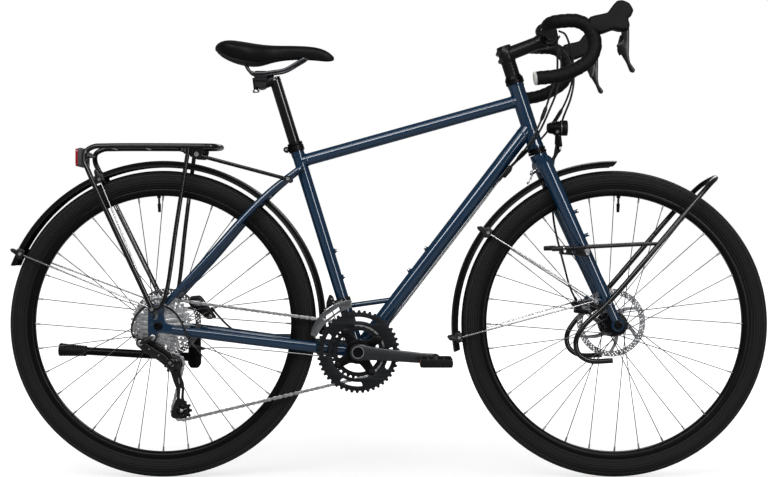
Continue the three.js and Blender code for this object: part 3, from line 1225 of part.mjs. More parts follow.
function rearShiftRoute() {
  return [
    moved(barCentre, barFront, -tapeEnd, -7), moved(barCentre, barFront - 2, -61, -14), at(384, -55, 982),
    at(384, -50, 930), at(369, -42, 880), at(352, -38, 830), at(328, -38, 780), at(300, -30, 740),
      onUnderside(520, -14),
    onUnderside(450, -9), onUnderside(300, -9), onUnderside(150, -10), onUnderside(60, -12),
      underShell(-40, -13),
    underShell(-70, -14), underShell(-100, -16), at(-104, -22, 268), at(-140, -30, 279), at(-250, -48, 294),
    at(-380, -66, 305), at(-428, -77, 304), at(-446, -83, 312), at(-456, -83, 334), at(-467, -78, 358),
    at(-486, -65, 383), at(-510, -60, 398), at(-540, -61, 402), at(-564, -66, 390), at(-581, -72, 362),
    at(-582, -76, 338), at(-575, -77, 326),
  ];
}

// Assembly

add('head_tube', makeHeadTube(), bluePaint);
add('top_tube', makeTopTube(), bluePaint);
add('down_tube', makeDownTube(), bluePaint);
add('seat_tube', makeSeatTube(), bluePaint);
for (const [side, name] of [[RIGHT, 'right'], [LEFT, 'left']]) {
  add(`chainstay_${name}`, makeChainstay(side), bluePaint);
  add(`seatstay_${name}`, makeSeatstay(side), bluePaint);
}
add('seat_clamp', makeSeatClamp(), blackPaint);

const railClearance = makeRails(clearing(rails.radius, rails.sides));
add('saddle_rails', makeRails(rails.radius), darkMetal);
add('saddle', makeSaddle(railClearance), blackPlastic);
add('seatpost', makeSeatpost(railClearance), blackPaint);

add('fork_crown', makeCrown(), bluePaint);
add('stem', makeStem(), blackPaint);
add('handlebar', makeBar(), blackPaint);
for (const [side, name] of [[RIGHT, 'right'], [LEFT, 'left']]) {
  add(`fork_blade_${name}`, makeBlade(side), bluePaint);
  add(`bar_tape_${name}`, makeTape(side), blackPlastic);
  add(`hood_${name}`, makeHood(side), blackRubber);
  add(`brake_lever_${name}`, makeLever(side), blackPlastic);
}

const frontEnd = forkFace - GAP;
const rearEnd = dropoutFace - GAP;
const freehubFace = rearHub.rightFlange + 2 * rearHub.plate + GAP / 2;
makeWheel('front', frontAxle, frontHub, -frontEnd, frontEnd, forkFace - rotorInset.front);
makeWheel('rear', rearAxle, rearHub, -freehubFace, rearEnd, dropoutFace - rotorInset.rear);
add('front_axle', makeAxle(frontAxle, forkFace + blade.lug + GAP), darkMetal);
add('rear_axle', makeAxle(rearAxle, dropoutFace + DROPOUT_THICKNESS + GAP), darkMetal);

const drive = new THREE.Group();
drive.position.copy(rearAxle);
add('cassette', makeCassette(freehubFace + GAP, rearEnd), silverMetal, drive);
bicycle.add(drive);

const crankset = new THREE.Group();
crankset.position.copy(bottomBracket);
crankset.rotation.y = radians(crank.droopAngle);
add('crank_right', makeRightCrank(), darkMetal, crankset);
add('crank_left', makeLeftCrank(), darkMetal, crankset);
add('chainring_outer', makeOuterRing(), darkMetal, crankset);
add('chainring_inner', makeInnerRing(), darkMetal, crankset);
for (const [side, name] of [[RIGHT, 'right'], [LEFT, 'left']]) {
  const level = new THREE.Group();
  level.position.set(-side * crank.length, 0, 0);
  level.rotation.y = -crankset.rotation.y;
  add(`pedal_${name}`, makePedal(side), blackPlastic, level);
  crankset.add(level);
}
bicycle.add(crankset);

add('chain', makeChain(), silverMetal);
for (const [name, place] of [['upper_pulley', upperPulley], ['lower_pulley', lowerPulley]]) {
  const idler = new THREE.Group();
  idler.position.copy(place);
  add(name, makePulley(), darkMetal, idler);
  bicycle.add(idler);
}
add('rear_derailleur', makeRearDerailleur(), blackPaint);
add('front_derailleur', makeFrontDerailleur(), darkMetal);

const leftStayClearance = swept(chainstayCurve(LEFT),
  ovalSection(chainstay.across + 2 * GAP, chainstay.tall + 2 * GAP, chainstay.sides), chainstay.steps);
add('rear_brake_caliper', makeCaliper(rearCaliperShares, rearCaliperPlace, rearAxle, dropoutFace - rotorInset.rear, leftStayClearance), darkMetal);
add('front_brake_caliper', makeCaliper(frontCaliperShares, frontCaliperPlace, frontAxle, forkFace - rotorInset.front,
  bladeClearance(LEFT)), darkMetal);

add('rear_fender', makeFender(rearAxle, fender.startAngle, fender.endAngle, 18), blackPaint);
add('front_fender', makeFender(frontAxle, frontFender.startAngle, frontFender.endAngle, 11), blackPaint);
add('rear_fender_stays', makeStays(rearAxle, [153.4, 113.1], eyeletPlace, dropoutFace + DROPOUT_THICKNESS), steelWire);
add('front_fender_stays', makeStays(frontAxle, [144.4, 184.8], frontEyelet, stayEyelet.out + stayEyelet.tall), steelWire);
add('rear_rack', makeRack(), blackPaint);
add('rear_reflector', makeReflector(), redLens);
add('low_rider_rack', makeLowRider(), blackPaint);
add('headlight', makeHeadlight(), blackPlastic);
add('kickstand_leg', makeKickstand(), blackPaint);

add('front_brake_cable', makeCable(frontBrakeRoute(), 20), blackPlastic);
add('rear_brake_cable', makeCable(rearBrakeRoute(), 37), blackPlastic);
add('front_shift_cable', makeCable(frontShiftRoute(), 32), blackPlastic);
add('rear_shift_cable', makeCable(rearShiftRoute(), 39), blackPlastic);

export default bicycle;
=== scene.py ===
# A touring bicycle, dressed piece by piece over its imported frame.
# Sizes are in metres: +X is forwards, +Y the rider's left and +Z up, with the chain on the -Y side.

import json
from math import asin, atan2, cos, hypot, pi, radians, sin

import bmesh
import bpy
from mathutils import Matrix, Vector


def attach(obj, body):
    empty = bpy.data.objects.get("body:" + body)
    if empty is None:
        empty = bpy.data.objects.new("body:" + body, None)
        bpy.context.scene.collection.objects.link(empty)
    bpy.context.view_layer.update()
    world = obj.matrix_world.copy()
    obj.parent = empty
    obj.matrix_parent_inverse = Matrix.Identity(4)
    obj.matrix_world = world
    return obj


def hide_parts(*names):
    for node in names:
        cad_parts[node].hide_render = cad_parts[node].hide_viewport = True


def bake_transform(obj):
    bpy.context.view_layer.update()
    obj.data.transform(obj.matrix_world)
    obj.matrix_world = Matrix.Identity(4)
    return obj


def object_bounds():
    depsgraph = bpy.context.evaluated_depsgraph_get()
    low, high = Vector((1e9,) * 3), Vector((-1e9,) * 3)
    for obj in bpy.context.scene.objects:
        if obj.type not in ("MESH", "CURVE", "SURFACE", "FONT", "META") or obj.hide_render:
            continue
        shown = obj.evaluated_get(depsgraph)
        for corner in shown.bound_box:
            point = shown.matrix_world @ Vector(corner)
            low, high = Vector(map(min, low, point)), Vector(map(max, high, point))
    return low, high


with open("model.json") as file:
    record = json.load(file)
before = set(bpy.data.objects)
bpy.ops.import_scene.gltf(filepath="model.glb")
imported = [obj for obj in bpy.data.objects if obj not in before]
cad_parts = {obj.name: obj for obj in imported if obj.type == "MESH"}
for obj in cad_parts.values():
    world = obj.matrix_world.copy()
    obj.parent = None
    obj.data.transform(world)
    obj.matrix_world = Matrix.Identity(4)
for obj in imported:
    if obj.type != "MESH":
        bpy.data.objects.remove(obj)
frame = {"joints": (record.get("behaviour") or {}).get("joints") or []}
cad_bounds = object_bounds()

# Studio
# A photographer's table: a pale floor that runs back out of sight under a white sky, with a soft light
# on each side, a strip above, and two strips that only show as reflections on the tubes.

CAMERA_PLACE = Vector((-0.011, -3.15, 0.5526))
CAMERA_LENS = 63.6
SENSOR_WIDTH = 36.0
WHITE = (1.0, 1.0, 1.0)

camera = bpy.data.objects.new("camera", bpy.data.cameras.new("camera"))
camera.data.lens = CAMERA_LENS
camera.data.sensor_width = SENSOR_WIDTH
camera.location = CAMERA_PLACE
camera.rotation_euler = (pi / 2, 0, 0)
bpy.context.scene.collection.objects.link(camera)
bpy.context.scene.camera = camera
bpy.context.scene.view_settings.view_transform = "Standard"


class Signal:
    """A socket in a node tree, so that shader maths reads as arithmetic."""

    def __init__(self, socket):
        self.socket = socket

    def node(self, kind, settings=None, inputs=None, output=0):
        tree = self.socket.id_data
        made = tree.nodes.new(kind)
        for name, value in (settings or {}).items():
            setattr(made, name, value)
        for name, value in (inputs or {}).items():
            if isinstance(value, Signal):
                tree.links.new(value.socket, made.inputs[name])
            else:
                made.inputs[name].default_value = value
        return Signal(made.outputs[output])

    def maths(self, operation, *values):
        return self.node("ShaderNodeMath", {"operation": operation}, dict(enumerate(values)))

    def __add__(self, other):
        return self.maths("ADD", self, other)

    def __rsub__(self, other):
        return self.maths("SUBTRACT", other, self)

    def __mul__(self, other):
        return self.maths("MULTIPLY", self, other)

    def __gt__(self, other):
        return self.maths("GREATER_THAN", self, other)

    __radd__ = __add__
    __rmul__ = __mul__

    def mixed(self, first, second):
        """One colour where this is 0 and another where it is 1."""
        return self.node("ShaderNodeMix", {"data_type": "RGBA"}, {0: self, 6: first, 7: second}, output=2)

    def noise(self, scale, detail):
        """Noise read at this place, from 0 to 1."""
        inputs = {"Vector": self, "Scale": scale, "Detail": detail, "Roughness": 0.6}
        return self.node("ShaderNodeTexNoise", None, inputs)

    def parts(self):
        """The three numbers of this vector."""
        split = self.node("ShaderNodeSeparateXYZ", None, {0: self}).socket.node
        return [Signal(output) for output in split.outputs]

    def centred(self, place):
        """This place, measured from another one."""
        away = tuple(-value for value in place)
        return self.node("ShaderNodeMapping", None, {"Vector": self, "Location": away})


def source(tree, kind, output):
    """The signal of a new node that has no inputs."""
    return Signal(tree.nodes.new(kind).outputs[output])


def set_inputs(shader, values):
    """Sets numbers and colours on a shader's own sockets."""
    for socket, value in values.items():
        shader.inputs[socket].default_value = value


world = bpy.data.worlds.new("white_room")
bpy.context.scene.world = world
world.use_nodes = True
SKY_LIGHT = 0.5
SKY_IN_GLOSS = 0.2
sky = world.node_tree.nodes["Background"]
rays = source(world.node_tree, "ShaderNodeLightPath", "Is Camera Ray")
glossy = Signal(rays.socket.node.outputs["Is Glossy Ray"])
through = Signal(rays.socket.node.outputs["Is Transmission Ray"])
seen = rays.maths("MAXIMUM", rays, through)
sky_strength = seen * (1 - SKY_LIGHT) + glossy * (SKY_IN_GLOSS - SKY_LIGHT) + SKY_LIGHT
world.node_tree.links.new(sky_strength.socket, sky.inputs["Strength"])
set_inputs(sky, {"Color": (*WHITE, 1)})


def lamp(name, place, aim, size, energy, gloss_only=False):
    """An area light at one place that shines at another, or that only shows as a reflection."""
    data = bpy.data.lights.new(name, "AREA")
    data.shape = "RECTANGLE"
    data.size, data.size_y = size
    data.energy = energy
    holder = bpy.data.objects.new(name, data)
    holder.location = place
    holder.visible_diffuse = not gloss_only
    holder.rotation_euler = (Vector(aim) - Vector(place)).to_track_quat("-Z", "Y").to_euler()
    bpy.context.scene.collection.objects.link(holder)


BIKE_MIDDLE = (0, 0, 0.5)
LOOKED_AT = (0, 0, 0.6)
lamp("broad_light", (-1.2, -3.4, 3.2), BIKE_MIDDLE, (2.6, 2.0), 52)
lamp("far_light", (1.5, 3.2, 3.0), BIKE_MIDDLE, (2.4, 1.8), 46)
lamp("high_strip", (0, -1.3, 2.6), BIKE_MIDDLE, (3.4, 0.12), 11)
lamp("low_strip", (0, -2.6, 2.1), LOOKED_AT, (5.2, 0.5), 72, gloss_only=True)
lamp("tall_strip", (1.7, -2.6, 1.25), LOOKED_AT, (0.5, 2.3), 38, gloss_only=True)

bpy.ops.object.select_all(action="DESELECT")
FLOOR_WIDTH = 40
FLOOR_TONE = 0.5
bpy.ops.mesh.primitive_plane_add(size=FLOOR_WIDTH, location=(0, 0, cad_bounds[0][2]))
floor = bpy.context.object
floor.name = "studio_floor"
floor_paint = bpy.data.materials.new("pale_floor")
floor_paint.use_nodes = True
floor_tree = floor_paint.node_tree
floor_shader = floor_tree.nodes["Principled BSDF"]
set_inputs(floor_shader, {"Base Color": (FLOOR_TONE, FLOOR_TONE, FLOOR_TONE, 1), "Roughness": 0.9,
                          "Specular IOR Level": 0.1, "Emission Color": (*WHITE, 1)})
floor_place = source(floor_tree, "ShaderNodeTexCoord", "Object")
floor_ray = source(floor_tree, "ShaderNodeLightPath", "Is Camera Ray")
from_bike = floor_place.node("ShaderNodeVectorMath", {"operation": "LENGTH"}, {0: floor_place}, output=1)
glow = from_bike.node("ShaderNodeMapRange", {"interpolation_type": "SMOOTHSTEP"},
                      {"Value": from_bike, "From Min": 0.2, "From Max": 2.6, "To Min": 0.6,
                       "To Max": 1.0})
floor_tree.links.new((floor_ray * glow).socket, floor_shader.inputs["Emission Strength"])
floor.data.materials.append(floor_paint)

# Main tubes of the frame
# Steel tubes welded at their ends, with a forged head tube, a bottom bracket shell and a brace.
# Each is a drawn round tube under the same dark-blue gloss lacquer, with a low bead at each weld.

joint = {entry["name"]: entry for entry in frame["joints"]}
bottom_bracket = Vector(joint["crank_spin"]["pos_m"])
rear_axle = Vector(joint["rear_wheel_spin"]["pos_m"])
front_axle = Vector(joint["front_wheel_spin"]["pos_m"])
crown_seat = Vector(joint["steering_turn"]["pos_m"])
steer_up = Vector(joint["steering_turn"]["axis"])
seat_up = Vector(joint["seatpost_height"]["axis"])
ACROSS = Vector((0, 1, 0))
UP = Vector((0, 0, 1))
HEAD_TUBE = {"radius": 0.018, "start": 0.014, "end": 0.17, "rim": 0.0189, "rim_height": 0.007,
             "bore": 0.0155}
TOP_TUBE = {"radius": 0.0142, "up_seat_tube": 0.4575, "up_head_tube": 0.131}
DOWN_TUBE = {"radius": 0.017, "up_head_tube": 0.066}
SEAT_TUBE = {"radius": 0.0145, "length": 0.5, "collar": 0.0155, "collar_height": 0.03, "bore": 0.0139}
SHELL = {"radius": 0.021, "half_width": 0.034, "bore": 0.0128}
BRACE = {"radius": 0.006, "up_seat_tube": 0.106, "up_down_tube": 0.149}
WELD_BEAD = 0.0008


def srgb(red, green, blue):
    """A colour of 0 to 255 as seen, as the numbers that a shader uses."""
    shares = [value / 255 for value in (red, green, blue)]
    return tuple(s / 12.92 if s <= 0.04045 else ((s + 0.055) / 1.055) ** 2.4 for s in shares) + (1.0,)


def surface(name, dark, light, roughness, metallic=0.0, patch=9.0, grain=900.0, bump=0.1, depth=0.0001,
            coat=0.0, coat_roughness=0.08, coat_ior=1.5, specular=0.08):
    """A material whose colour drifts between two tones, with fine grain in its gloss and height."""
    material = bpy.data.materials.new(name)
    material.use_nodes = True
    tree = material.node_tree
    shader = tree.nodes["Principled BSDF"]
    place = source(tree, "ShaderNodeTexCoord", "Object")
    drift = place.noise(patch, 4.0)
    fine = place.noise(grain, 3.0)
    low, high = roughness
    links = {"Base Color": (drift * 0.7 + fine * 0.3).mixed(srgb(*dark), srgb(*light)),
             "Roughness": (drift * 0.5 + fine * 0.5) * (high - low) + low,
             "Normal": place.node("ShaderNodeBump", None, {"Strength": bump, "Distance": depth,
                                                           "Height": fine})}
    for socket, signal in links.items():
        tree.links.new(signal.socket, shader.inputs[socket])
    set_inputs(shader, {"Metallic": metallic, "Coat Weight": coat, "Coat Roughness": coat_roughness,
                        "Coat IOR": coat_ior, "Specular IOR Level": specular})
    return material


blue_lacquer = surface("blue_lacquer", (3, 40, 66), (8, 52, 84), (0.3, 0.38), metallic=0.1, patch=14,
                       grain=2600, bump=0.01, depth=0.00002, coat=0.5, coat_roughness=0.06, coat_ior=2.0,
                       specular=0.0)


def settled(name, body, material, slot, *replaced, angle=40):
    """Finishes the active object: its place goes into its mesh, and it gets its name, finish and body."""
    piece = bpy.context.object
    bpy.ops.object.transform_apply(location=True, rotation=True, scale=True)
    bpy.ops.object.shade_smooth_by_angle(angle=radians(angle))
    piece.name = name
    piece.data.name = name
    piece.data.materials.clear()
    piece.data.materials.append(material)
    if replaced:
        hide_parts(*replaced)
    if body:
        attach(piece, body)
    return piece


def upright(place, direction):
    """A matrix that stands a shape's own Z axis along a direction at a place."""
    return Matrix.Translation(place) @ Vector(direction).to_track_quat("Z", "Y").to_matrix().to_4x4()


def drawn(points):
    """Starts a mesh in edit mode with a line of edges through points."""
    bpy.ops.object.select_all(action="DESELECT")
    bpy.ops.mesh.primitive_plane_add(size=1, location=(0, 0, 0))
    bpy.ops.object.mode_set(mode="EDIT")
    bpy.ops.mesh.merge(type="CENTER")
    bpy.ops.transform.translate(value=points[0])
    for before, after in zip(points, points[1:]):
        step = Vector(after) - Vector(before)
        bpy.ops.mesh.extrude_region_move(TRANSFORM_OT_translate={"value": step})
    bpy.ops.mesh.select_all(action="SELECT")


def turned(profile, centre, direction, steps=48):
    """Spins a profile of (radius, height) points about an axis, and leaves it active."""
    drawn([(radius, 0, height) for radius, height in profile])
    bpy.ops.mesh.spin(steps=steps, angle=2 * pi, center=(0, 0, 0), axis=(0, 0, 1))
    bpy.ops.mesh.select_all(action="SELECT")
    bpy.ops.mesh.remove_doubles(threshold=1e-6)
    bpy.ops.mesh.normals_make_consistent(inside=False)
    bpy.ops.object.mode_set(mode="OBJECT")
    bpy.context.object.matrix_world = upright(centre, direction)
    return bpy.context.object


def rod(start, end, radius, end_radius=None, steps=32, round_end=0.0):
    """A round bar or cone between two points, left active."""
    tip = radius if end_radius is None else end_radius
    run = Vector(end) - Vector(start)
    profile = [(0, 0), (radius, 0), (tip, run.length), (0, run.length)]
    if round_end:
        corners = [(radius - round_end, 0), (radius, round_end), (tip, run.length - round_end),
                   (tip - round_end, run.length)]
        profile[1:3] = corners
    return turned(profile, start, run, steps)


def joined(parts):
    """Joins objects into the first one and leaves it active."""
    bpy.ops.object.select_all(action="DESELECT")
    for part in parts:
        part.select_set(True)
    bpy.context.view_layer.objects.active = parts[0]
    bpy.ops.object.join()
    return bpy.context.object


def fitted(parts, *facts, **form):
    """Joins parts into one object and finishes it as a piece."""
    joined(parts)
    return settled(*facts, **form)


def on_seat_tube(distance):
    return bottom_bracket + seat_up * distance


def on_steerer(distance):
    return crown_seat + steer_up * distance


down_tube_top = on_steerer(DOWN_TUBE["up_head_tube"])
down_tube_up = (down_tube_top - bottom_bracket).normalized()
down_tube_under = -down_tube_up.cross(ACROSS)


def on_down_tube(distance):
    return bottom_bracket + down_tube_up * distance


def weld_bead(centre, direction, radius):
    """A low round bead where a tube runs into another."""
    return turned([(radius, -3 * WELD_BEAD), (radius + WELD_BEAD, -WELD_BEAD),
                   (radius + WELD_BEAD, WELD_BEAD), (radius, 3 * WELD_BEAD), (radius, -3 * WELD_BEAD)],
                  centre, direction)


def bored(start, end, outer, inner, steps=40):
    """A length of pipe, open at both ends, left active."""
    length = (Vector(end) - Vector(start)).length
    lip = (outer - inner) / 4
    profile = [(inner, 0), (outer - lip, 0), (outer, lip), (outer, length - lip), (outer - lip, length),
               (inner, length), (inner, 0)]
    return turned(profile, start, Vector(end) - Vector(start), steps)


head_start, head_end = HEAD_TUBE["start"], HEAD_TUBE["end"]
rim, tube, ramp = HEAD_TUBE["rim"], HEAD_TUBE["radius"], HEAD_TUBE["rim_height"]
head_shape = [(HEAD_TUBE["bore"], head_start), (rim, head_start), (rim, head_start + ramp),
              (tube, head_start + 1.4 * ramp), (tube, head_end - 1.4 * ramp), (rim, head_end - ramp),
              (rim, head_end), (HEAD_TUBE["bore"], head_end), (HEAD_TUBE["bore"], head_start)]
turned(head_shape, crown_seat, steer_up, 64)
settled("head_tube_shell", "frame", blue_lacquer, "head_tube", "head_tube")
top_tube_ends = on_seat_tube(TOP_TUBE["up_seat_tube"]), on_steerer(TOP_TUBE["up_head_tube"])
top_tube_line = (top_tube_ends[1] - top_tube_ends[0]).normalized()
fitted([rod(*top_tube_ends, TOP_TUBE["radius"], steps=48),
        weld_bead(top_tube_ends[0] + top_tube_line * SEAT_TUBE["radius"] * 1.12, top_tube_line,
                  TOP_TUBE["radius"]),
        weld_bead(top_tube_ends[1] - top_tube_line * HEAD_TUBE["radius"] * 1.12, top_tube_line,
                  TOP_TUBE["radius"])], "top_tube_lacquered", "frame", blue_lacquer, "top_tube",
       "top_tube")
fitted([rod(bottom_bracket, down_tube_top, DOWN_TUBE["radius"], steps=48),
        weld_bead(on_down_tube(SHELL["radius"] + WELD_BEAD), down_tube_up, DOWN_TUBE["radius"]),
        weld_bead(down_tube_top - down_tube_up * HEAD_TUBE["radius"] * 1.25, down_tube_up,
                  DOWN_TUBE["radius"])], "down_tube_lacquered", "frame", blue_lacquer, "down_tube",
       "down_tube")
shell_side = ACROSS * SHELL["half_width"]
seat_top = on_seat_tube(SEAT_TUBE["length"])
fitted([bored(bottom_bracket, seat_top, SEAT_TUBE["radius"], SEAT_TUBE["bore"], steps=48),
        bored(seat_top - seat_up * SEAT_TUBE["collar_height"], seat_top, SEAT_TUBE["collar"],
              SEAT_TUBE["bore"]),
        bored(bottom_bracket - shell_side, bottom_bracket + shell_side, SHELL["radius"], SHELL["bore"]),
        rod(on_seat_tube(BRACE["up_seat_tube"]), on_down_tube(BRACE["up_down_tube"]), BRACE["radius"]),
        weld_bead(on_seat_tube(SHELL["radius"] + WELD_BEAD), seat_up, SEAT_TUBE["radius"])],
       "seat_tube_lacquered", "frame", blue_lacquer, "seat_tube", "seat_tube")

# Stays and dropouts
# Oval chainstays and slim round seatstays run back to thick plate dropouts, with a bridge for the fender.
# They are swept tubes, and the dropouts are cut from plate with their edges broken.

SIDES = ((-1, "right"), (1, "left"))
REAR_SPACING = 0.142
AXLE_BORE = 0.0067
DROPOUT_THICKNESS = 0.006
AXLE_RUN = rear_axle - bottom_bracket
STAY_START = 0.019
CHAINSTAY = {"half_height": 0.013, "half_width": 0.0085}
CHAINSTAY_SHARES = [(0, 0.3, 0), (0.13, 0.37, 0.09), (0.21, 0.47, 0.17), (0.4, 0.62, 0.34),
                    (0.7, 0.82, 0.62), (0.93, 1, 0.84)]
SEATSTAY = {"radius": 0.008, "up_seat_tube": 0.444, "top_out": 0.0225}
STAY_AT_BRIDGE = 0.0375
FENDER_RADIUS = 0.378
BRIDGE_ANGLE = radians(50.8)
BRIDGE_RADIUS = 0.007
DROPOUT = (0.078, 0.09)
DROPOUT_SHARES = [(-0.28, 0.49), (0.05, 0.56), (0.2, 0.53), (0.16, 0.25), (0.22, 0.07), (0.55, 0),
                  (0.55, -0.22), (0.24, -0.2), (0, -0.17), (-0.03, -0.36), (-0.14, -0.42), (-0.29, -0.36),
                  (-0.3, 0)]
WINDOW_SHARES = [(-0.14, 0.17), (-0.02, 0.16), (0.02, 0.38), (-0.13, 0.36)]
dropout_middle = REAR_SPACING / 2 + DROPOUT_THICKNESS / 2


def shown(name, data):
    """Puts an object with this data into the scene, alone selected and active."""
    piece = bpy.data.objects.new(name, data)
    bpy.context.scene.collection.objects.link(piece)
    bpy.ops.object.select_all(action="DESELECT")
    piece.select_set(True)
    bpy.context.view_layer.objects.active = piece
    return piece


def spline(points, radius, smooth=True, resolution=8, radii=None, steps=4):
    """A curve through points with a round section, as a mesh, left active."""
    curve = bpy.data.curves.new("drawn_line", "CURVE")
    curve.dimensions = "3D"
    curve.bevel_depth = radius
    curve.bevel_resolution = steps
    curve.use_fill_caps = True
    line = curve.splines.new("BEZIER" if smooth else "POLY")
    knots = line.bezier_points if smooth else line.points
    knots.add(len(points) - 1)
    for index, (knot, point) in enumerate(zip(knots, points)):
        knot.co = point if smooth else (*point, 1)
        knot.radius = radii[index] if radii else 1
        if smooth:
            knot.handle_left_type = knot.handle_right_type = "AUTO"
    line.resolution_u = resolution
    shown("drawn_line", curve)
    bpy.ops.object.convert(target="MESH")
    welded()
    return bpy.context.object


def welded():
    """Merges the active mesh's doubled points and turns its faces outwards."""
    bpy.ops.object.mode_set(mode="EDIT")
    bpy.ops.mesh.select_all(action="SELECT")
    bpy.ops.mesh.remove_doubles(threshold=1e-6)
    bpy.ops.mesh.normals_make_consistent(inside=False)
    bpy.ops.object.mode_set(mode="OBJECT")


def plate(outlines, middle, thickness, edge=0.0004, steps=1):
    """A plate in the plane of the frame, cut to outlines of (x, z) from a place, the outer one first."""
    curve = bpy.data.curves.new("drawn_plate", "CURVE")
    curve.dimensions = "2D"
    curve.fill_mode = "BOTH"
    curve.extrude = thickness / 2 - edge
    curve.bevel_depth = edge
    curve.bevel_resolution = steps
    curve.offset = -edge
    for outline in outlines:
        line = curve.splines.new("POLY")
        line.points.add(len(outline) - 1)
        for point, (x, z) in zip(line.points, outline):
            point.co = (x, z, 0, 1)
        line.use_cyclic_u = True
    shown("drawn_plate", curve)
    bpy.ops.object.convert(target="MESH")
    bpy.context.object.matrix_world = Matrix.Translation(middle) @ Matrix.Rotation(pi / 2, 4, "X")
    bpy.ops.object.transform_apply(location=True, rotation=True, scale=True)
    welded()
    return bpy.context.object


def scaled(shares, width, height):
    return [(x * width, z * height) for x, z in shares]


def turns(count, shift=0.0):
    """Evenly many angles round a full turn."""
    return [2 * pi * (index + shift) / count for index in range(count)]


def circle(radius, count=32, centre=(0, 0)):
    """Points round a circle, as an outline."""
    angles = turns(count)
    return [(centre[0] + radius * cos(angle), centre[1] + radius * sin(angle)) for angle in angles]


def rounded(outline, radius, steps=3):
    """An outline with each corner cut to a short curve."""
    points = []
    for index, corner in enumerate(outline):
        before = Vector(outline[index - 1]) - Vector(corner)
        after = Vector(outline[(index + 1) % len(outline)]) - Vector(corner)
        reach = min(radius, before.length * 0.45, after.length * 0.45)
        start = Vector(corner) + before.normalized() * reach
        end = Vector(corner) + after.normalized() * reach
        for step in range(steps + 1):
            share = step / steps
            middle = Vector(corner)
            points.append(tuple(start * (1 - share) ** 2 + middle * 2 * share * (1 - share)
                                + end * share ** 2))
    return points


for side, name in SIDES:
    line = [bottom_bracket + Vector((-STAY_START + back * (AXLE_RUN.x + STAY_START),
                                     side * out * dropout_middle, up * AXLE_RUN.z))
            for back, out, up in CHAINSTAY_SHARES]
    stay = spline(line, CHAINSTAY["half_height"], resolution=10, radii=[1.05, 1.0, 0.98, 0.96, 0.9, 0.72],
                  steps=6)
    narrowing = CHAINSTAY["half_width"] / CHAINSTAY["half_height"]
    for vertex in stay.data.vertices:
        after = next((i for i in range(1, len(line)) if line[i].x <= vertex.co.x), len(line) - 1)
        share = (vertex.co.x - line[after - 1].x) / (line[after].x - line[after - 1].x)
        middle = line[after - 1].lerp(line[after], min(max(share, 0), 1)).y
        vertex.co.y = middle + (vertex.co.y - middle) * narrowing
    cut = [scaled(DROPOUT_SHARES, *DROPOUT), scaled(WINDOW_SHARES, *DROPOUT)]
    outlines = [rounded(outline, 0.005) for outline in cut] + [circle(AXLE_BORE)]
    drop = plate(outlines, rear_axle + ACROSS * side * dropout_middle, DROPOUT_THICKNESS, edge=0.0009)
    fitted([stay, drop], f"chainstay_{name}_lacquered", "frame", blue_lacquer, f"chainstay_{name}",
           f"chainstay_{name}")

bridge_place = rear_axle + Vector((cos(BRIDGE_ANGLE), 0,
                                   sin(BRIDGE_ANGLE))) * (FENDER_RADIUS + BRIDGE_RADIUS + 0.0003)
seatstay_foot = rear_axle + Vector((0.017, 0, 0.049))
for side, name in SIDES:
    top = on_seat_tube(SEATSTAY["up_seat_tube"]) + ACROSS * side * SEATSTAY["top_out"]
    foot = seatstay_foot + ACROSS * side * dropout_middle
    passing = bridge_place + ACROSS * side * STAY_AT_BRIDGE
    middle = passing.lerp(foot, 0.62)
    middle.y = passing.y + (foot.y - passing.y) * 0.8
    parts = [spline([top, passing, middle, foot], SEATSTAY["radius"], resolution=16,
                    radii=[0.8, 1.0, 1.0, 0.86], steps=6)]
    parts.append(rod(top - (foot - top).normalized() * 0.004, top + (foot - top).normalized() * 0.012,
                     SEATSTAY["radius"] * 0.78, SEATSTAY["radius"] * 0.98, round_end=0.002))
    if side < 0:
        reach = ACROSS * STAY_AT_BRIDGE
        parts.append(rod(bridge_place - reach, bridge_place + reach, BRIDGE_RADIUS))
    fitted(parts, f"seatstay_{name}_lacquered", "frame", blue_lacquer, f"seatstay_{name}",
           f"seatstay_{name}")

# Fork
# A tapered steel fork: round blades run straight down from a brazed crown to bored lugs for the axle,
# with eyelets for the rack, and the steerer goes up through the headset.

CROWN = {"radius": 0.02, "half_length": 0.056, "up": 0.405, "shoulder": 0.009}
BLADE = {"top_radius": 0.0175, "foot_radius": 0.01, "top_out": 0.042, "foot_out": 0.058}
LUG = {"radius": 0.015, "length": 0.01}
EYELET = {"back": 0.053, "up": 0.056, "radius": 0.0055, "out": 0.065}
FORK_FACE = 0.05
STEERER_RADIUS = 0.0143


def pin(place, near, far, *sizes, **form):
    """A round bar across the bike, between two distances to the left of a place."""
    return rod(place + ACROSS * near, place + ACROSS * far, *sizes, **form)


blade_up = (crown_seat - front_axle).normalized()
crown_place = front_axle + blade_up * CROWN["up"]
front_eyelet = front_axle + Vector((-EYELET["back"], 0, EYELET["up"]))

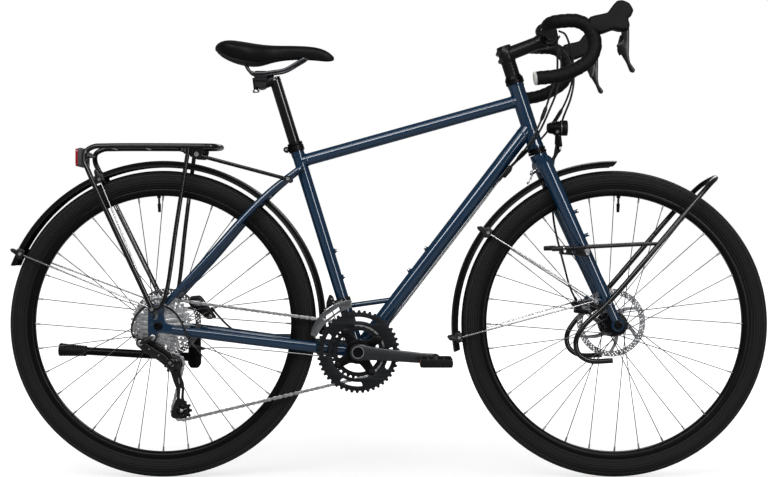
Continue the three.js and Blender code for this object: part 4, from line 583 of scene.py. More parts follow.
reach = ACROSS * CROWN["half_length"]
parts = [rod(crown_place - reach, crown_place + reach, CROWN["radius"], steps=56,
             round_end=CROWN["shoulder"]),
         rod(crown_place - steer_up * 0.01, crown_seat, CROWN["radius"] * 0.99, CROWN["radius"], steps=56,
             round_end=0.001),
         rod(crown_seat, on_steerer(0.255), STEERER_RADIUS),
         rod(crown_place - blade_up * 0.004, front_axle + blade_up * (FENDER_RADIUS + 0.001), 0.0115,
             0.009)]
fitted(parts, "fork_crown_lacquered", "steering", blue_lacquer, "fork_crown", "fork_crown")
EYE_OUT = Vector((0.008, 0, 0.003))
fork_eyes = []
for side, name in SIDES:
    top = crown_place + ACROSS * side * BLADE["top_out"]
    foot = front_axle + ACROSS * side * BLADE["foot_out"]
    leg = spline([top.lerp(foot, share) for share in (0, 0.25, 0.5, 0.75, 0.97)], BLADE["top_radius"],
                 radii=[1, 0.93, 0.84, 0.72, BLADE["foot_radius"] / BLADE["top_radius"]], steps=7)
    for vertex in leg.data.vertices:
        middle = top.y + (foot.y - top.y) * (top.z - vertex.co.z) / (top.z - foot.z)
        vertex.co.y = middle + (vertex.co.y - middle) * (0.93 if vertex.co.z > 0.55 else 0.8)
    inner = front_axle + ACROSS * side * FORK_FACE
    tip = front_eyelet + ACROSS * side * (EYELET["out"] - 0.012)
    root = front_axle + blade_up * EYELET["up"] * 1.1
    root.y = tip.y
    lug_end = inner + ACROSS * side * LUG["length"]
    parts = [leg, bored(inner, lug_end, LUG["radius"], AXLE_BORE),
             rod(root, tip, EYELET["radius"] * 0.85, round_end=0.001),
             rod(tip, front_eyelet + ACROSS * side * EYELET["out"], EYELET["radius"], round_end=0.001)]
    for share in (0.32, 0.465):
        eye = top.lerp(foot, share) + Vector((BLADE["top_radius"] * 0.7, 0, 0.006))
        fork_eyes.append(eye + EYE_OUT)
        parts.append(rod(eye, fork_eyes[-1], 0.0045, 0.004, round_end=0.0005))
    fitted(parts, f"fork_blade_{name}_lacquered", "steering", blue_lacquer, f"fork_blade_{name}",
           f"fork_blade_{name}")

# Headset, bottom bracket cups and seat clamp
# Black anodised aluminium: turned cups at the tube ends, and a split collar with its bolt.
# Steel screws stand in the lacquered bottle bosses.

CUP = {"radius": 0.0215, "bore": 0.0156, "lower": 0.014, "start": 0.17, "end": 0.19}
BB_CUP = {"radius": 0.0225, "depth": 0.011, "notches": 16, "notch": 0.0013}
SEAT_BOSSES = (0.173, 0.236)
DOWN_BOSSES = (0.218, 0.282)
black_anodised = surface("black_anodised", (17, 17, 18), (29, 29, 31), (0.28, 0.42), metallic=0.75,
                         patch=40, grain=3200, bump=0.08, depth=0.00003)
bolt_steel = surface("bolt_steel", (150, 152, 155), (188, 190, 193), (0.2, 0.36), metallic=1.0, patch=60,
                     grain=4000, bump=0.08, depth=0.00003)
black_steel = surface("black_oxide_steel", (24, 24, 25), (44, 44, 46), (0.3, 0.5), metallic=0.85,
                      patch=60, grain=3600, bump=0.1, depth=0.00003)


def ringed(radius, bore, start, end, lip):
    """The section of a turned ring with both edges broken."""
    return [(bore, start), (radius - lip, start), (radius, start + lip), (radius, end - lip),
            (radius - lip, end), (bore, end), (bore, start)]


parts = [turned(ringed(CUP["radius"], CUP["bore"], 0.0004, CUP["lower"] * 0.45, 0.0007), crown_seat,
                steer_up, 64),
         turned(ringed(CUP["radius"] * 0.97, CUP["bore"], CUP["lower"] * 0.5, CUP["lower"], 0.0009),
                crown_seat, steer_up, 64),
         turned(ringed(CUP["radius"], CUP["bore"], CUP["start"], CUP["start"] + 0.0095, 0.0009),
                crown_seat, steer_up, 64),
         turned([(CUP["bore"], CUP["start"] + 0.0102), (CUP["radius"], CUP["start"] + 0.0102),
                 (CUP["radius"], CUP["start"] + 0.0125), (0.018, CUP["end"]), (CUP["bore"], CUP["end"]),
                 (CUP["bore"], CUP["start"] + 0.0102)], crown_seat, steer_up, 64)]
fitted(parts, "headset_cups", "frame", black_anodised, "head_tube")

parts = []
for side in (-1, 1):
    face = bottom_bracket + ACROSS * side * (SHELL["half_width"] + 0.0002)
    parts.append(turned(ringed(BB_CUP["radius"], SHELL["bore"], 0, BB_CUP["depth"], 0.0012), face,
                        ACROSS * side, 64))
    for angle in turns(BB_CUP["notches"]):
        rib = face + Vector((cos(angle), 0, sin(angle))) * BB_CUP["radius"]
        parts.append(pin(rib, 0, side * BB_CUP["depth"] * 0.8, BB_CUP["notch"], steps=8))
fitted(parts, "bracket_cups", "frame", black_anodised, "seat_tube")

clamp_start = on_seat_tube(SEAT_TUBE["length"] - 0.018)
clamp_back = Vector((-seat_up.z, 0, seat_up.x))
clamp_middle = clamp_start + seat_up * 0.011
lug_place = clamp_middle + clamp_back * 0.0225
parts = [turned(ringed(0.0185, 0.0149, 0, 0.014, 0.001), clamp_start, seat_up, 64),
         turned(ringed(0.0178, 0.0149, 0.0142, 0.0215, 0.0015), clamp_start, seat_up, 64),
         pin(lug_place, -0.0095, -0.0012, 0.0068, round_end=0.0012),
         pin(lug_place, 0.0012, 0.0095, 0.0068, round_end=0.0012)]
fitted(parts, "seat_collar", "frame", black_anodised, "seat_clamp", "seat_clamp")


def screw(place, direction, radius, height, socket=0.5):
    """A round-headed screw with a hexagon socket, standing on a surface."""
    turned([(0, -height * 0.4), (radius * 0.6, -height * 0.4), (radius * 0.6, 0), (radius, 0),
            (radius, height * 0.6), (radius * 0.85, height), (radius * socket, height),
            (radius * socket, height * 0.45), (0, height * 0.45)], place, direction, 18)
    return bpy.context.object


boss_screws = [screw(lug_place - ACROSS * 0.0095, -ACROSS, 0.0038, 0.0036)]
for seat_up_by, down_up_by in zip(SEAT_BOSSES, DOWN_BOSSES):
    seat_face = on_seat_tube(seat_up_by) - clamp_back * (SEAT_TUBE["radius"] + 0.003)
    down_face = on_down_tube(down_up_by) - down_tube_under * (DOWN_TUBE["radius"] + 0.003)
    under_face = on_down_tube(down_up_by - 0.075) + down_tube_under * (DOWN_TUBE["radius"] + 0.0005)
    boss_screws.append(screw(seat_face, -clamp_back, 0.0043, 0.0028))
    boss_screws.append(screw(down_face, -down_tube_under, 0.0043, 0.0028))
    boss_screws.append(screw(under_face, down_tube_under, 0.0038, 0.0022))
fitted(boss_screws, "frame_screws", "frame", bolt_steel, "seat_clamp")
boss_rings = []
for places, on_tube, out, tube in ((SEAT_BOSSES, on_seat_tube, -clamp_back, SEAT_TUBE),
                                   (DOWN_BOSSES, on_down_tube, -down_tube_under, DOWN_TUBE)):
    for distance in places:
        face = on_tube(distance) + out * tube["radius"]
        boss_rings.append(rod(face - out * 0.0006, face + out * 0.003, 0.0062, 0.005, round_end=0.0006))
fitted(boss_rings, "bottle_bosses", "frame", blue_lacquer, "seat_tube")

# Tyres
# Wide folding tyres of black rubber, moulded with bare sidewalls, and stretched over the rims by their
# beads. The fine close tread is in the height of the material, with a painted highlight on its raised
# bars and sidewall rings.

TYRE = {"radius": 0.355, "bead": 0.3113, "half_width": 0.021}
TYRE_SHARES = [(0, 0.5), (0.07, 0.56), (0.2, 0.82), (0.36, 0.97), (0.52, 1), (0.66, 0.95), (0.79, 0.82),
               (0.885, 0.62), (0.955, 0.36), (0.992, 0.14), (1, 0)]
WHEELS = {"front": front_axle, "rear": rear_axle}


def grooved_with_highlight(material, centre, count, from_radius, strength):
    """Adds a tread of short slanted bars, and rings below it, to a tyre's height, and paints a lighter
    highlight on their raised parts.
    """
    tree = material.node_tree
    place = source(tree, "ShaderNodeTexCoord", "Object").centred(centre)
    ahead, out, up = place.parts()
    turn = up.maths("ARCTAN2", up, ahead)
    reach = (ahead * ahead + up * up).maths("SQRT", ahead * ahead + up * up)
    bars = (turn * count + out * 700).maths("SINE", turn * count + out * 700)
    lines = (out * 1700).maths("SINE", out * 1700)
    rings = (reach * 1100).maths("SINE", reach * 1100) * 0.4
    on_tread = reach > from_radius
    height = on_tread * bars.maths("MAXIMUM", bars, lines) + (1 - on_tread) * rings
    bump = next(node for node in tree.nodes if node.type == "BUMP")
    deep = place.node("ShaderNodeBump", None, {"Strength": strength, "Distance": 0.0009, "Height": height,
                                               "Normal": Signal(bump.outputs["Normal"])})
    shader = tree.nodes["Principled BSDF"]
    tree.links.new(deep.socket, shader.inputs["Normal"])
    plain = Signal(shader.inputs["Base Color"].links[0].from_socket)
    # Painted highlight: the raised tread bars and sidewall rings are coloured lighter, as if lit.
    tread_highlight = height.maths("MAXIMUM", height, 0) * 0.6
    tree.links.new(tread_highlight.mixed(plain, srgb(62, 62, 63)).socket, shader.inputs["Base Color"])
    return material


for name, axle in WHEELS.items():
    wall = TYRE["radius"] - TYRE["bead"]
    half = [(TYRE["bead"] + up * wall, out * TYRE["half_width"]) for up, out in TYRE_SHARES]
    profile = half + [(radius, -out) for radius, out in reversed(half[:-1])] + half[:1]
    turned(profile, axle, ACROSS, 160)
    rubber = surface(f"tyre_rubber_{name}", (14, 14, 15), (24, 24, 25), (0.6, 0.78), patch=6, grain=1400,
                     bump=0.2, depth=0.00012, specular=0.12)
    grooved_with_highlight(rubber, axle, 380, TYRE["bead"] + 0.7 * wall, 0.8)
    settled(f"{name}_tyre_moulded", f"{name}_wheel", rubber, f"{name}_tyre", f"{name}_tyre")

# Rims
# Deep double-wall rims, rolled from aluminium, closed to a hoop and anodised black,
# with a hooked edge on each side that holds the tyre's bead.

RIM_INNER = 0.296
VALVE_TURN = {"front": radians(88), "rear": radians(92)}
rim_black = surface("rim_black", (18, 18, 19), (28, 28, 30), (0.24, 0.36), metallic=0.6, patch=20,
                    grain=2200, bump=0.06, depth=0.00003)
RIM_SHAPE = [(0.311, -0.0125), (0.3117, -0.0122), (0.3117, -0.0112), (0.3105, -0.0105), (0.3105, 0.0105),
             (0.3117, 0.0112), (0.3117, 0.0122), (0.311, 0.0125), (0.303, 0.0122), (0.2985, 0.0098),
             (0.2965, 0.0055), (0.296, 0.0), (0.2965, -0.0055), (0.2985, -0.0098), (0.303, -0.0122),
             (0.311, -0.0125)]
for name, axle in WHEELS.items():
    turned(RIM_SHAPE, axle, ACROSS, 160)
    settled(f"{name}_rim_rolled", f"{name}_wheel", rim_black, f"{name}_rim", f"{name}_rim")

# Hubs and spokes
# Black turned aluminium hubs on sealed bearings, laced with 32 crossed steel spokes each in silver
# nipples. Each rim also carries a valve with its ring nut and cap.

SPOKES = 32
FLANGE_SHARE = 0.9
LEAN = radians(60)
DISH = 0.002
LIFT = 0.0015
SPOKE_RADIUS = 0.001
HUBS = {"front": {"flange": 0.027, "shell": 0.014, "right": -0.029, "left": 0.02, "end": 0.0497,
                  "rotor": 0.0395}, "rear": {"flange": 0.028, "shell": 0.016, "right": -0.017,
                                             "left": 0.033, "end": 0.0707, "rotor": 0.0557}}
HUB_CAP = 0.0095
ROTOR_SEAT = 0.018
nipple_silver = surface("nipple_silver", (120, 121, 124), (160, 161, 164), (0.25, 0.4), metallic=1.0)
spoke_steel = surface("spoke_steel", (44, 45, 47), (72, 73, 76), (0.26, 0.38), metallic=0.8, patch=30)
rotor_steel = surface("rotor_steel", (96, 97, 100), (142, 143, 146), (0.26, 0.4), metallic=1.0, patch=20,
                      grain=1500, bump=0.12, depth=0.00003)


def polar(angle, radius, out=0.0):
    """A point round an axle, as an offset from its middle."""
    return Vector((cos(angle) * radius, out, sin(angle) * radius))


def flat_polar(radius, angle):
    """A point round an axle, as (x, z)."""
    return radius * cos(angle), radius * sin(angle)


def around(points, turn=0.0):
    """An outline given as (radius, angle) round an axle, as (x, z)."""
    return [flat_polar(radius, turn + angle) for radius, angle in points]


def sideways(place, y):
    """The same place at another distance to the left of the middle."""
    return Vector((place.x, y, place.z))


def copies(piece, matrices):
    """Copies the active piece with its own mesh to each place, and leaves the copies joined."""
    made = []
    for matrix in matrices:
        again = piece.copy()
        again.data = piece.data.copy()
        again.matrix_world = matrix @ piece.matrix_world
        bpy.context.scene.collection.objects.link(again)
        made.append(again)
    bpy.data.objects.remove(piece)
    return joined(made)


def lathed(hub, right_end):
    """The section of a hub from end to end, with its flanges and waist."""
    f, s, right, left = hub["flange"], hub["shell"], hub["right"], hub["left"]
    t = 0.0027
    return [(AXLE_BORE, right_end), (HUB_CAP - 0.0008, right_end), (HUB_CAP, right_end + 0.0008),
            (HUB_CAP, right - t - 0.004), (f * 0.6, right - t), (f - 0.001, right - t),
            (f, right - t * 0.5), (f, right + t * 0.5), (f - 0.001, right + t),
            (f * 0.72, right + t + 0.0006), (s + 0.001, right + t + 0.006), (s, right + t + 0.012),
            (s, left - t - 0.01), (s + 0.001, left - t - 0.005), (f * 0.72, left - t - 0.0006),
            (f - 0.001, left - t), (f, left - t * 0.5), (f, left + t * 0.5), (f - 0.001, left + t),
            (ROTOR_SEAT, left + t), (ROTOR_SEAT, hub["rotor"] + 0.0018), (HUB_CAP, hub["rotor"] + 0.0018),
            (HUB_CAP, hub["end"] - 0.0008), (HUB_CAP - 0.0008, hub["end"]), (AXLE_BORE, hub["end"]),
            (AXLE_BORE, right_end)]


for name, axle in WHEELS.items():
    hub = HUBS[name]
    right_end = -hub["end"] if name == "front" else -0.0279
    turned(lathed(hub, right_end), axle, ACROSS, 64)
    settled(f"{name}_hub_shell", f"{name}_wheel", black_anodised, f"{name}_hub", f"{name}_hub")
    wires, nipples = [], []
    for index, turn in enumerate(turns(SPOKES)):
        side = 1 if index % 2 else -1
        leads = 1 if (index // 2) % 2 else -1
        flange = hub["left"] if side > 0 else hub["right"]
        root = axle + polar(turn - leads * LEAN, hub["flange"] * FLANGE_SHARE,
                            flange + leads * LIFT * 1.6)
        tip = axle + polar(turn, RIM_INNER + 0.002, side * DISH)
        down = (tip - root).normalized()
        wires.append(rod(root, tip - down * 0.001, SPOKE_RADIUS, steps=8))
        wires.append(rod(root + ACROSS * leads * 0.0012, root - ACROSS * leads * 0.004, 0.0019, 0.0012,
                         steps=10))
        nipples.append(rod(tip - down * 0.013, tip, 0.0019, 0.0023, steps=10))
    fitted(nipples, f"{name}_nipples", f"{name}_wheel", nipple_silver, f"{name}_hub")
    fitted(wires, f"{name}_spokes", f"{name}_wheel", spoke_steel, f"{name}_hub")
    turn = VALVE_TURN[name]
    fitted([rod(axle + polar(turn, 0.297), axle + polar(turn, 0.2915), 0.0045, steps=24,
                round_end=0.0006), rod(axle + polar(turn, 0.2915), axle + polar(turn, 0.262), 0.0026,
                                       steps=20),
            rod(axle + polar(turn, 0.279), axle + polar(turn, 0.2585), 0.0041, 0.0034, steps=14,
                round_end=0.0012)], f"{name}_valve", f"{name}_wheel", black_anodised, f"{name}_rim")

# Brake rotors
# Laser-cut from hard steel sheet: a drilled braking track on six swept arms,
# with a dark aluminium carrier locked to the hub by a splined ring.

ROTOR = {"outer": 0.08, "track": 0.067, "hub": 0.024, "thickness": 0.0018, "arms": 6}
CARRIER_SHAPE = [(0.0185, -0.0019), (0.0255, -0.0019), (0.027, -0.0009), (0.027, 0.0011),
                 (0.0245, 0.0022), (0.0225, 0.004), (0.0185, 0.0045), (0.0185, -0.0019)]
for name, axle in WHEELS.items():
    outlines = [circle(ROTOR["outer"], 180)]
    half = pi / ROTOR["arms"]
    for turn in turns(ROTOR["arms"]):
        far = [(ROTOR["track"], turn + share * (half - 0.055)) for share in (-1, -0.6, -0.2, 0.2, 0.6, 1)]
        near = [(ROTOR["hub"] + 0.009, turn + 0.42 + share * (half - 0.17))
                for share in (1, 0.3, -0.3, -1)]
        ahead, behind = [(0.05, turn + 0.2 + half - 0.09)], [(0.05, turn + 0.2 - half + 0.09)]
        outlines.append(rounded(around(far + ahead + near + behind), 0.004, 2))
    for index in range(60):
        for ring, shift in ((0.07, 0), (0.0735, 0.35), (0.077, 0.7)):
            if (index + int(shift * 10)) % 5:
                outlines.append(circle(0.00145, 8, flat_polar(ring, 2 * pi * (index + shift) / 60)))
    outlines.append(circle(ROTOR["hub"] - 0.004, 48))
    plane = axle + ACROSS * HUBS[name]["rotor"]
    plate(outlines, plane, ROTOR["thickness"], edge=0.00015)
    settled(f"{name}_rotor_cut", f"{name}_wheel", rotor_steel, f"{name}_disc_rotor", f"{name}_disc_rotor",
            angle=20)
    carrier = [turned(CARRIER_SHAPE, plane, ACROSS, 60)]
    for turn in turns(ROTOR["arms"]):
        spot = plane + polar(turn + 0.62, 0.0305)
        carrier.append(pin(spot, -0.0017, 0.0019, 0.0034, steps=16, round_end=0.0005))
    fitted(carrier, f"{name}_rotor_carrier", f"{name}_wheel", black_anodised, f"{name}_disc_rotor")

# Axles
# Aluminium through-axles, turned and anodised black, with a flanged head at each end
# that is hollowed for a key.

AXLE_HEAD_SHAPE = [(0.006, -0.0004), (0.0096, 0), (0.01, 0.0012), (0.0092, 0.0042), (0.0082, 0.005),
                   (0.0052, 0.005), (0.0046, 0.0042), (0.0046, 0.0008), (0, 0.0008), (0, -0.0004),
                   (0.006, -0.0004)]
for name, axle in WHEELS.items():
    face = 0.0603 if name == "front" else 0.0773
    parts = [rod(axle - ACROSS * face, axle + ACROSS * face, 0.006)]
    for side in (-1, 1):
        parts.append(turned(AXLE_HEAD_SHAPE, axle + ACROSS * side * face, ACROSS * side, 36))
    fitted(parts, f"{name}_axle_turned", "steering" if name == "front" else "frame", black_anodised,
           f"{name}_axle", f"{name}_axle")

# Cassette and freehub
# Ten stamped steel sprockets in steps, the larger ones drilled to save weight, on a splined carrier,
# with narrow spacers between them and a notched lock ring at the small end.

TEETH = [11, 13, 15, 17, 19, 21, 23, 26, 30, 34]
PITCH = 0.0127
COG = {"spacing": 0.00395, "thickness": 0.0016, "largest": 0.0301, "tooth": 0.0021, "chained": 8,
       "arms": 8}
cog_steel = surface("sprocket_steel", (118, 118, 120), (244, 245, 247), (0.24, 0.4), metallic=1.0,
                    patch=420, grain=1800, bump=0.15, depth=0.00004)


def pitch_radius(teeth):
    return teeth * PITCH / (2 * pi)


def toothed(teeth, tooth, turn=0.0, land=0.16):
    """The outline of a sprocket: a rounded tooth between each pair of roller seats."""
    pitch = pitch_radius(teeth)
    shape = [(-0.5, -0.45), (-0.32, -0.3), (-land, 0.75), (-0.05, 1), (0.05, 1), (land, 0.75),
             (0.32, -0.3)]
    points = []
    for index in range(teeth):
        for step, up in shape:
            radius = pitch + up * tooth if up > 0 else pitch + up * 0.0078
            points.append(flat_polar(radius, 2 * pi * (index + step) / teeth + turn))
    return points


sprockets = []
for place, teeth in enumerate(reversed(TEETH)):
    middle = rear_axle - ACROSS * (COG["largest"] + place * COG["spacing"] + COG["thickness"] / 2)
    pitch = pitch_radius(teeth)
    outlines = [toothed(teeth, COG["tooth"])]
    if teeth > 19:
        low, high = 0.0255, pitch - 0.0075
        for turn in turns(COG["arms"], 0.3 * place):
            sweep = [(low, -0.26), (low, 0.2), (high, 0.27), (high, 0), (high, -0.17)]
            outlines.append(rounded(around(sweep, turn), 0.002, 1))
    if teeth > 15:
        for turn in turns(teeth, 0.5):
            outlines.append(circle(0.0014, 6, flat_polar(pitch - 0.0052, turn)))
    outlines.append(circle(0.0165 if teeth > 15 else 0.0115, 24))
    sprockets.append(plate(outlines, middle, COG["thickness"], edge=0.0002))
fitted(sprockets, "cassette_sprockets", "cassette_body", cog_steel, "cassette", "cassette", angle=25)
spacers = []
for place, teeth in enumerate(list(reversed(TEETH))[:-1]):
    middle = rear_axle - ACROSS * (COG["largest"] + place * COG["spacing"] + COG["thickness"])
    gap = COG["spacing"] - COG["thickness"]
    outer = min(pitch_radius(TEETH[len(TEETH) - 2 - place]) - 0.009, 0.0225 if teeth > 17 else 0.0165)
    spacers.append(bored(middle, middle - ACROSS * gap, max(outer, 0.0145), 0.011))
spacers.append(bored(rear_axle - ACROSS * 0.0283, rear_axle - ACROSS * 0.0305, 0.024, 0.0068))
fitted(spacers, "cassette_spacers", "cassette_body", black_anodised, "cassette")
lock = rear_axle - ACROSS * (COG["largest"] + 9 * COG["spacing"] + COG["thickness"])
parts = [bored(lock + ACROSS * 0.001, lock - ACROSS * 0.0016, 0.0125, 0.0082)]
for turn in turns(12):
    spot = lock + polar(turn, 0.0104)
    parts.append(pin(spot, 0, -0.0022, 0.0014, steps=8))
fitted(parts, "cassette_lock_ring", "cassette_body", bolt_steel, "cassette")

# Crankset
# Hollow forged arms on a steel spindle, in satin dark grey, with a silver ring round the cap,
# a black four-arm spider, and two chainrings held by four bolts.

CRANK = {"length": 0.1755, "droop": radians(5.2), "from": 0.058, "thickness": 0.013, "bolt_circle": 0.055}
BOLT_TURNS = [radians(angle) for angle in (38, 128, 218, 308)]
OUTER_RING = {"teeth": 46, "line": 0.047, "thickness": 0.0026, "tooth": 0.0022}
INNER_RING = {"teeth": 30, "line": 0.04, "thickness": 0.0026}
crank_grey = surface("crank_grey", (42, 43, 45), (60, 61, 64), (0.3, 0.44), metallic=0.7, patch=12,
                     grain=2800, bump=0.08, depth=0.00003, coat=0.3, coat_roughness=0.2)
ring_black = surface("chainring_black", (30, 31, 33), (48, 49, 52), (0.3, 0.46), metallic=0.75, patch=30,
                     grain=2400, bump=0.1, depth=0.00003)
pedal_black = surface("pedal_black", (18, 18, 19), (28, 28, 29), (0.45, 0.6), patch=20, grain=1200,
                      bump=0.15)


def crank_ahead(side=-1):
    """The direction along an arm, which points ahead on the drive side."""
    return Vector((cos(CRANK["droop"]), 0, -sin(CRANK["droop"]))) * -side


def crank_arm(side):
    """One arm: a thick bar, deep at the root, waisted, and swelling at the pedal eye."""
    top = [(-0.019, 0.0), (-0.013, 0.0138), (0, 0.0188), (0.014, 0.0178), (0.034, 0.015), (0.07, 0.0136),
           (0.11, 0.0126), (0.145, 0.0118), (0.16, 0.012), (0.17, 0.0128), (0.1795, 0.0118),
           (0.1865, 0.007), (0.1885, 0)]
    outline = top + [(x, -z) for x, z in reversed(top[1:-1])]
    if side > 0:
        outline = [(-x, z) for x, z in outline]
    face = side * (CRANK["from"] + CRANK["thickness"] / 2)
    arm = plate([rounded(outline, 0.004, 2)], Vector((0, face, 0)), CRANK["thickness"], edge=0.0034)
    arm.matrix_world = Matrix.Translation(bottom_bracket) @ Matrix.Rotation(CRANK["droop"], 4, "Y")
    bpy.ops.object.transform_apply(location=True, rotation=True, scale=True)
    return arm


for side, name in SIDES:
    ahead = crank_ahead(side)
    eye = bottom_bracket + ahead * CRANK["length"]
    inner, outer = ACROSS * side * 0.0462, ACROSS * side * 0.0715
    parts = [crank_arm(side), rod(bottom_bracket + inner, bottom_bracket + outer * 0.99, 0.0188, steps=56,
                                  round_end=0.0025),
             pin(eye, side * 0.0578, side * 0.0715, 0.0128, steps=40, round_end=0.002)]
    if side < 0:
        parts.append(rod(bottom_bracket + inner, bottom_bracket + ACROSS * 0.0575, 0.012))
    parts.append(pin(eye, side * 0.07, side * 0.0795, 0.0079 * 0.75))
    fitted(parts, f"crank_{name}_forged", "crankset", crank_grey, f"crank_{name}", f"crank_{name}")
hub_cap = bottom_bracket - ACROSS * 0.0713
SILVER_RING_SHAPE = [(0.0122, -0.001), (0.0138, -0.001), (0.0142, 0.0004), (0.0138, 0.0014),
                     (0.0122, 0.0015), (0.0118, 0.0004), (0.0122, -0.001)]
turned(SILVER_RING_SHAPE, hub_cap, -ACROSS, 64)
settled("crank_silver_ring", "crankset", bolt_steel, "crank_right")
CRANK_CAP_SHAPE = [(0, 0.0002), (0.0052, 0.0002), (0.0056, 0.0012), (0.0105, 0.0014), (0.0118, 0.0003),
                   (0.0122, -0.002), (0, -0.002), (0, 0.0002)]
turned(CRANK_CAP_SHAPE, hub_cap, -ACROSS, 48)
fitted([bpy.context.object] + [screw(bottom_bracket + crank_ahead(1) * 0.0225 + ACROSS * 0.058
                                     + Vector((0, s, 0.0146)), UP, 0.0034, 0.003) for s in (0.003, 0.01)],
       "crank_caps", "crankset", black_anodised, "crank_right")

spider = []
plane = -ACROSS * 0.0462
for turn in BOLT_TURNS:
    angle = turn - CRANK["droop"]
    outline = [(0.0245, angle - 0.62), (0.034, angle - 0.34), (0.05, angle - 0.2), (0.0605, angle - 0.15),
               (0.0632, angle), (0.0605, angle + 0.15), (0.05, angle + 0.2), (0.034, angle + 0.34),
               (0.0245, angle + 0.62)]
    spider.append(plate([rounded(around(outline), 0.004, 2)], bottom_bracket + plane, 0.005, edge=0.0012))
SPIDER_SHAPE = [(0.0245, -0.0028), (0.0275, -0.0028), (0.029, -0.001), (0.028, 0.004), (0.022, 0.008),
                (0.0185, 0.012), (0.0185, 0.002), (0.0245, 0.0), (0.0245, -0.0028)]
spider.append(turned(SPIDER_SHAPE, bottom_bracket + plane, -ACROSS, 64))
fitted(spider, "crank_spider", "crankset", black_anodised, "crank_right")


def chainring(size, inner, holes, tooth):
    outlines = [toothed(size["teeth"], tooth, -CRANK["droop"], land=0.2), circle(inner, 72)]
    return plate(outlines + holes, bottom_bracket - ACROSS * size["line"], size["thickness"], edge=0.0003)


windows = []
for index in range(4):
    start = BOLT_TURNS[index] - CRANK["droop"]
    span = (BOLT_TURNS[(index + 1) % 4] - BOLT_TURNS[index]) % (2 * pi)
    middle = start + span / 2
    reach = span / 2 - 0.44
    arc = [(0.0795, middle + reach * s) for s in (-1, -0.5, 0, 0.5, 1)]
    arc += [(0.07, middle + (reach - 0.03) * s) for s in (1, 0.5, 0, -0.5, -1)]
    windows.append(rounded(around(arc), 0.003, 2))
ring = chainring(OUTER_RING, 0.0615, windows, OUTER_RING["tooth"])
lugs = []
for turn in BOLT_TURNS:
    spot = bottom_bracket + polar(turn - CRANK["droop"], CRANK["bolt_circle"])
    lugs.append(pin(spot, -0.0483, -0.0457, 0.0085, steps=32, round_end=0.0004))
fitted([ring] + lugs, "outer_ring_cut", "crankset", ring_black, "chainring_outer", "chainring_outer",
       angle=25)
ring = chainring(INNER_RING, 0.048, [], 0.0021)
shoulder = bored(bottom_bracket - ACROSS * 0.0428, bottom_bracket - ACROSS * 0.0398, 0.052, 0.0482)
fitted([ring, shoulder], "inner_ring_cut", "crankset", ring_black, "chainring_inner", "chainring_inner",
       angle=25)
bolts = []
for turn in BOLT_TURNS:
    spot = bottom_bracket + polar(turn - CRANK["droop"], CRANK["bolt_circle"]) - ACROSS * 0.0484
    bolts.append(screw(spot, -ACROSS, 0.0052, 0.0012))
fitted(bolts, "chainring_bolts", "crankset", black_steel, "chainring_outer")

# Pedals
# Flat platform pedals of glass-filled nylon: a caged body with toothed grip edges
# on a black steel axle, with an amber reflector let into its front and back.

PEDAL = {"out": 0.128, "cage": 0.09, "reflector": 0.05, "plates": (0.0835, 0.1725), "plate": 0.006}


def oblong(x, half_width, half_height):
    """A rectangle's outline, with its middle at (x, 0)."""
    left, right = x - half_width, x + half_width
    return [(left, -half_height), (right, -half_height), (right, half_height), (left, half_height)]


reflector_amber = surface("pedal_reflector", (120, 64, 14), (158, 92, 24), (0.15, 0.25), patch=90,
                          grain=700, bump=0.4, depth=0.0003, coat=1.0)
PEDAL_AXLE_SHAPE = [(0.0058, 0.0802), (0.0085, 0.0802), (0.0085, 0.095), (0.0075, 0.1), (0.0075, 0.16),
                    (0.0085, 0.165), (0.0085, 0.1755), (0.006, 0.176), (0, 0.176), (0, 0.1758)]
for side, name in SIDES:
    ahead = crank_ahead(side)
    eye = bottom_bracket + ahead * CRANK["length"]
    half = [(-0.036, -0.005), (-0.0315, -0.0092), (0.0315, -0.0092), (0.036, -0.005), (0.036, 0.005),
            (0.0315, 0.0092), (-0.0315, 0.0092), (-0.036, 0.005)]
    holes = [[(-0.031, -0.0058), (-0.0105, -0.0058), (-0.0085, 0), (-0.0105, 0.0058), (-0.031, 0.0058)],
             [(0.031, 0.0058), (0.0105, 0.0058), (0.0085, 0), (0.0105, -0.0058), (0.031, -0.0058)]]
    parts = []
    for out in PEDAL["plates"]:
        parts.append(plate([rounded(half, 0.002, 2)], eye + ACROSS * side * out, PEDAL["plate"],
                           edge=0.001))
    for x in (-0.033, 0.033):
        for z in (-0.0074, 0.0074):
            parts.append(rod(eye + Vector((x, side * 0.083, z)), eye + Vector((x, side * 0.173, z)),
                             0.0019, steps=10))
        slab = plate([oblong(x, 0.0014, 0.0065)], eye + ACROSS * side * PEDAL["out"], PEDAL["cage"],
                     edge=0.0004)
        parts.append(slab)
    for x in (-0.018, 0.018):
        slab = plate([oblong(x, 0.0013, 0.008)], eye + ACROSS * side * PEDAL["out"], PEDAL["cage"],
                     edge=0.0004)
        parts.append(slab)
    parts.append(turned(PEDAL_AXLE_SHAPE, eye, ACROSS * side, 32))
    for out in [0.094 + 0.0135 * step for step in range(6)]:
        for x in (-0.0345, 0.0345):
            for z in (-1, 1):
                parts.append(rod(eye + Vector((x, side * out, z * 0.0072)),
                                 eye + Vector((x, side * out, z * 0.0094)), 0.0012, 0.0009, steps=8))
    fitted(parts, f"pedal_{name}_cage", f"pedal_{name}_body", pedal_black, f"pedal_{name}",
           f"pedal_{name}")
    ends = []
    for x in (-0.0352, 0.0352):
        ends.append(plate([rounded(oblong(x, 0.0009, 0.0045), 0.0003, 1)],
                          eye + ACROSS * side * PEDAL["out"], PEDAL["reflector"], edge=0.0003))
    fitted(ends, f"pedal_{name}_reflectors", f"pedal_{name}_body", reflector_amber, f"pedal_{name}")

# Chain
# A ten-speed roller chain: pairs of waisted steel plates on rollers, a link to each half inch,
# round the inner ring, the two pulleys and one of the large sprockets.

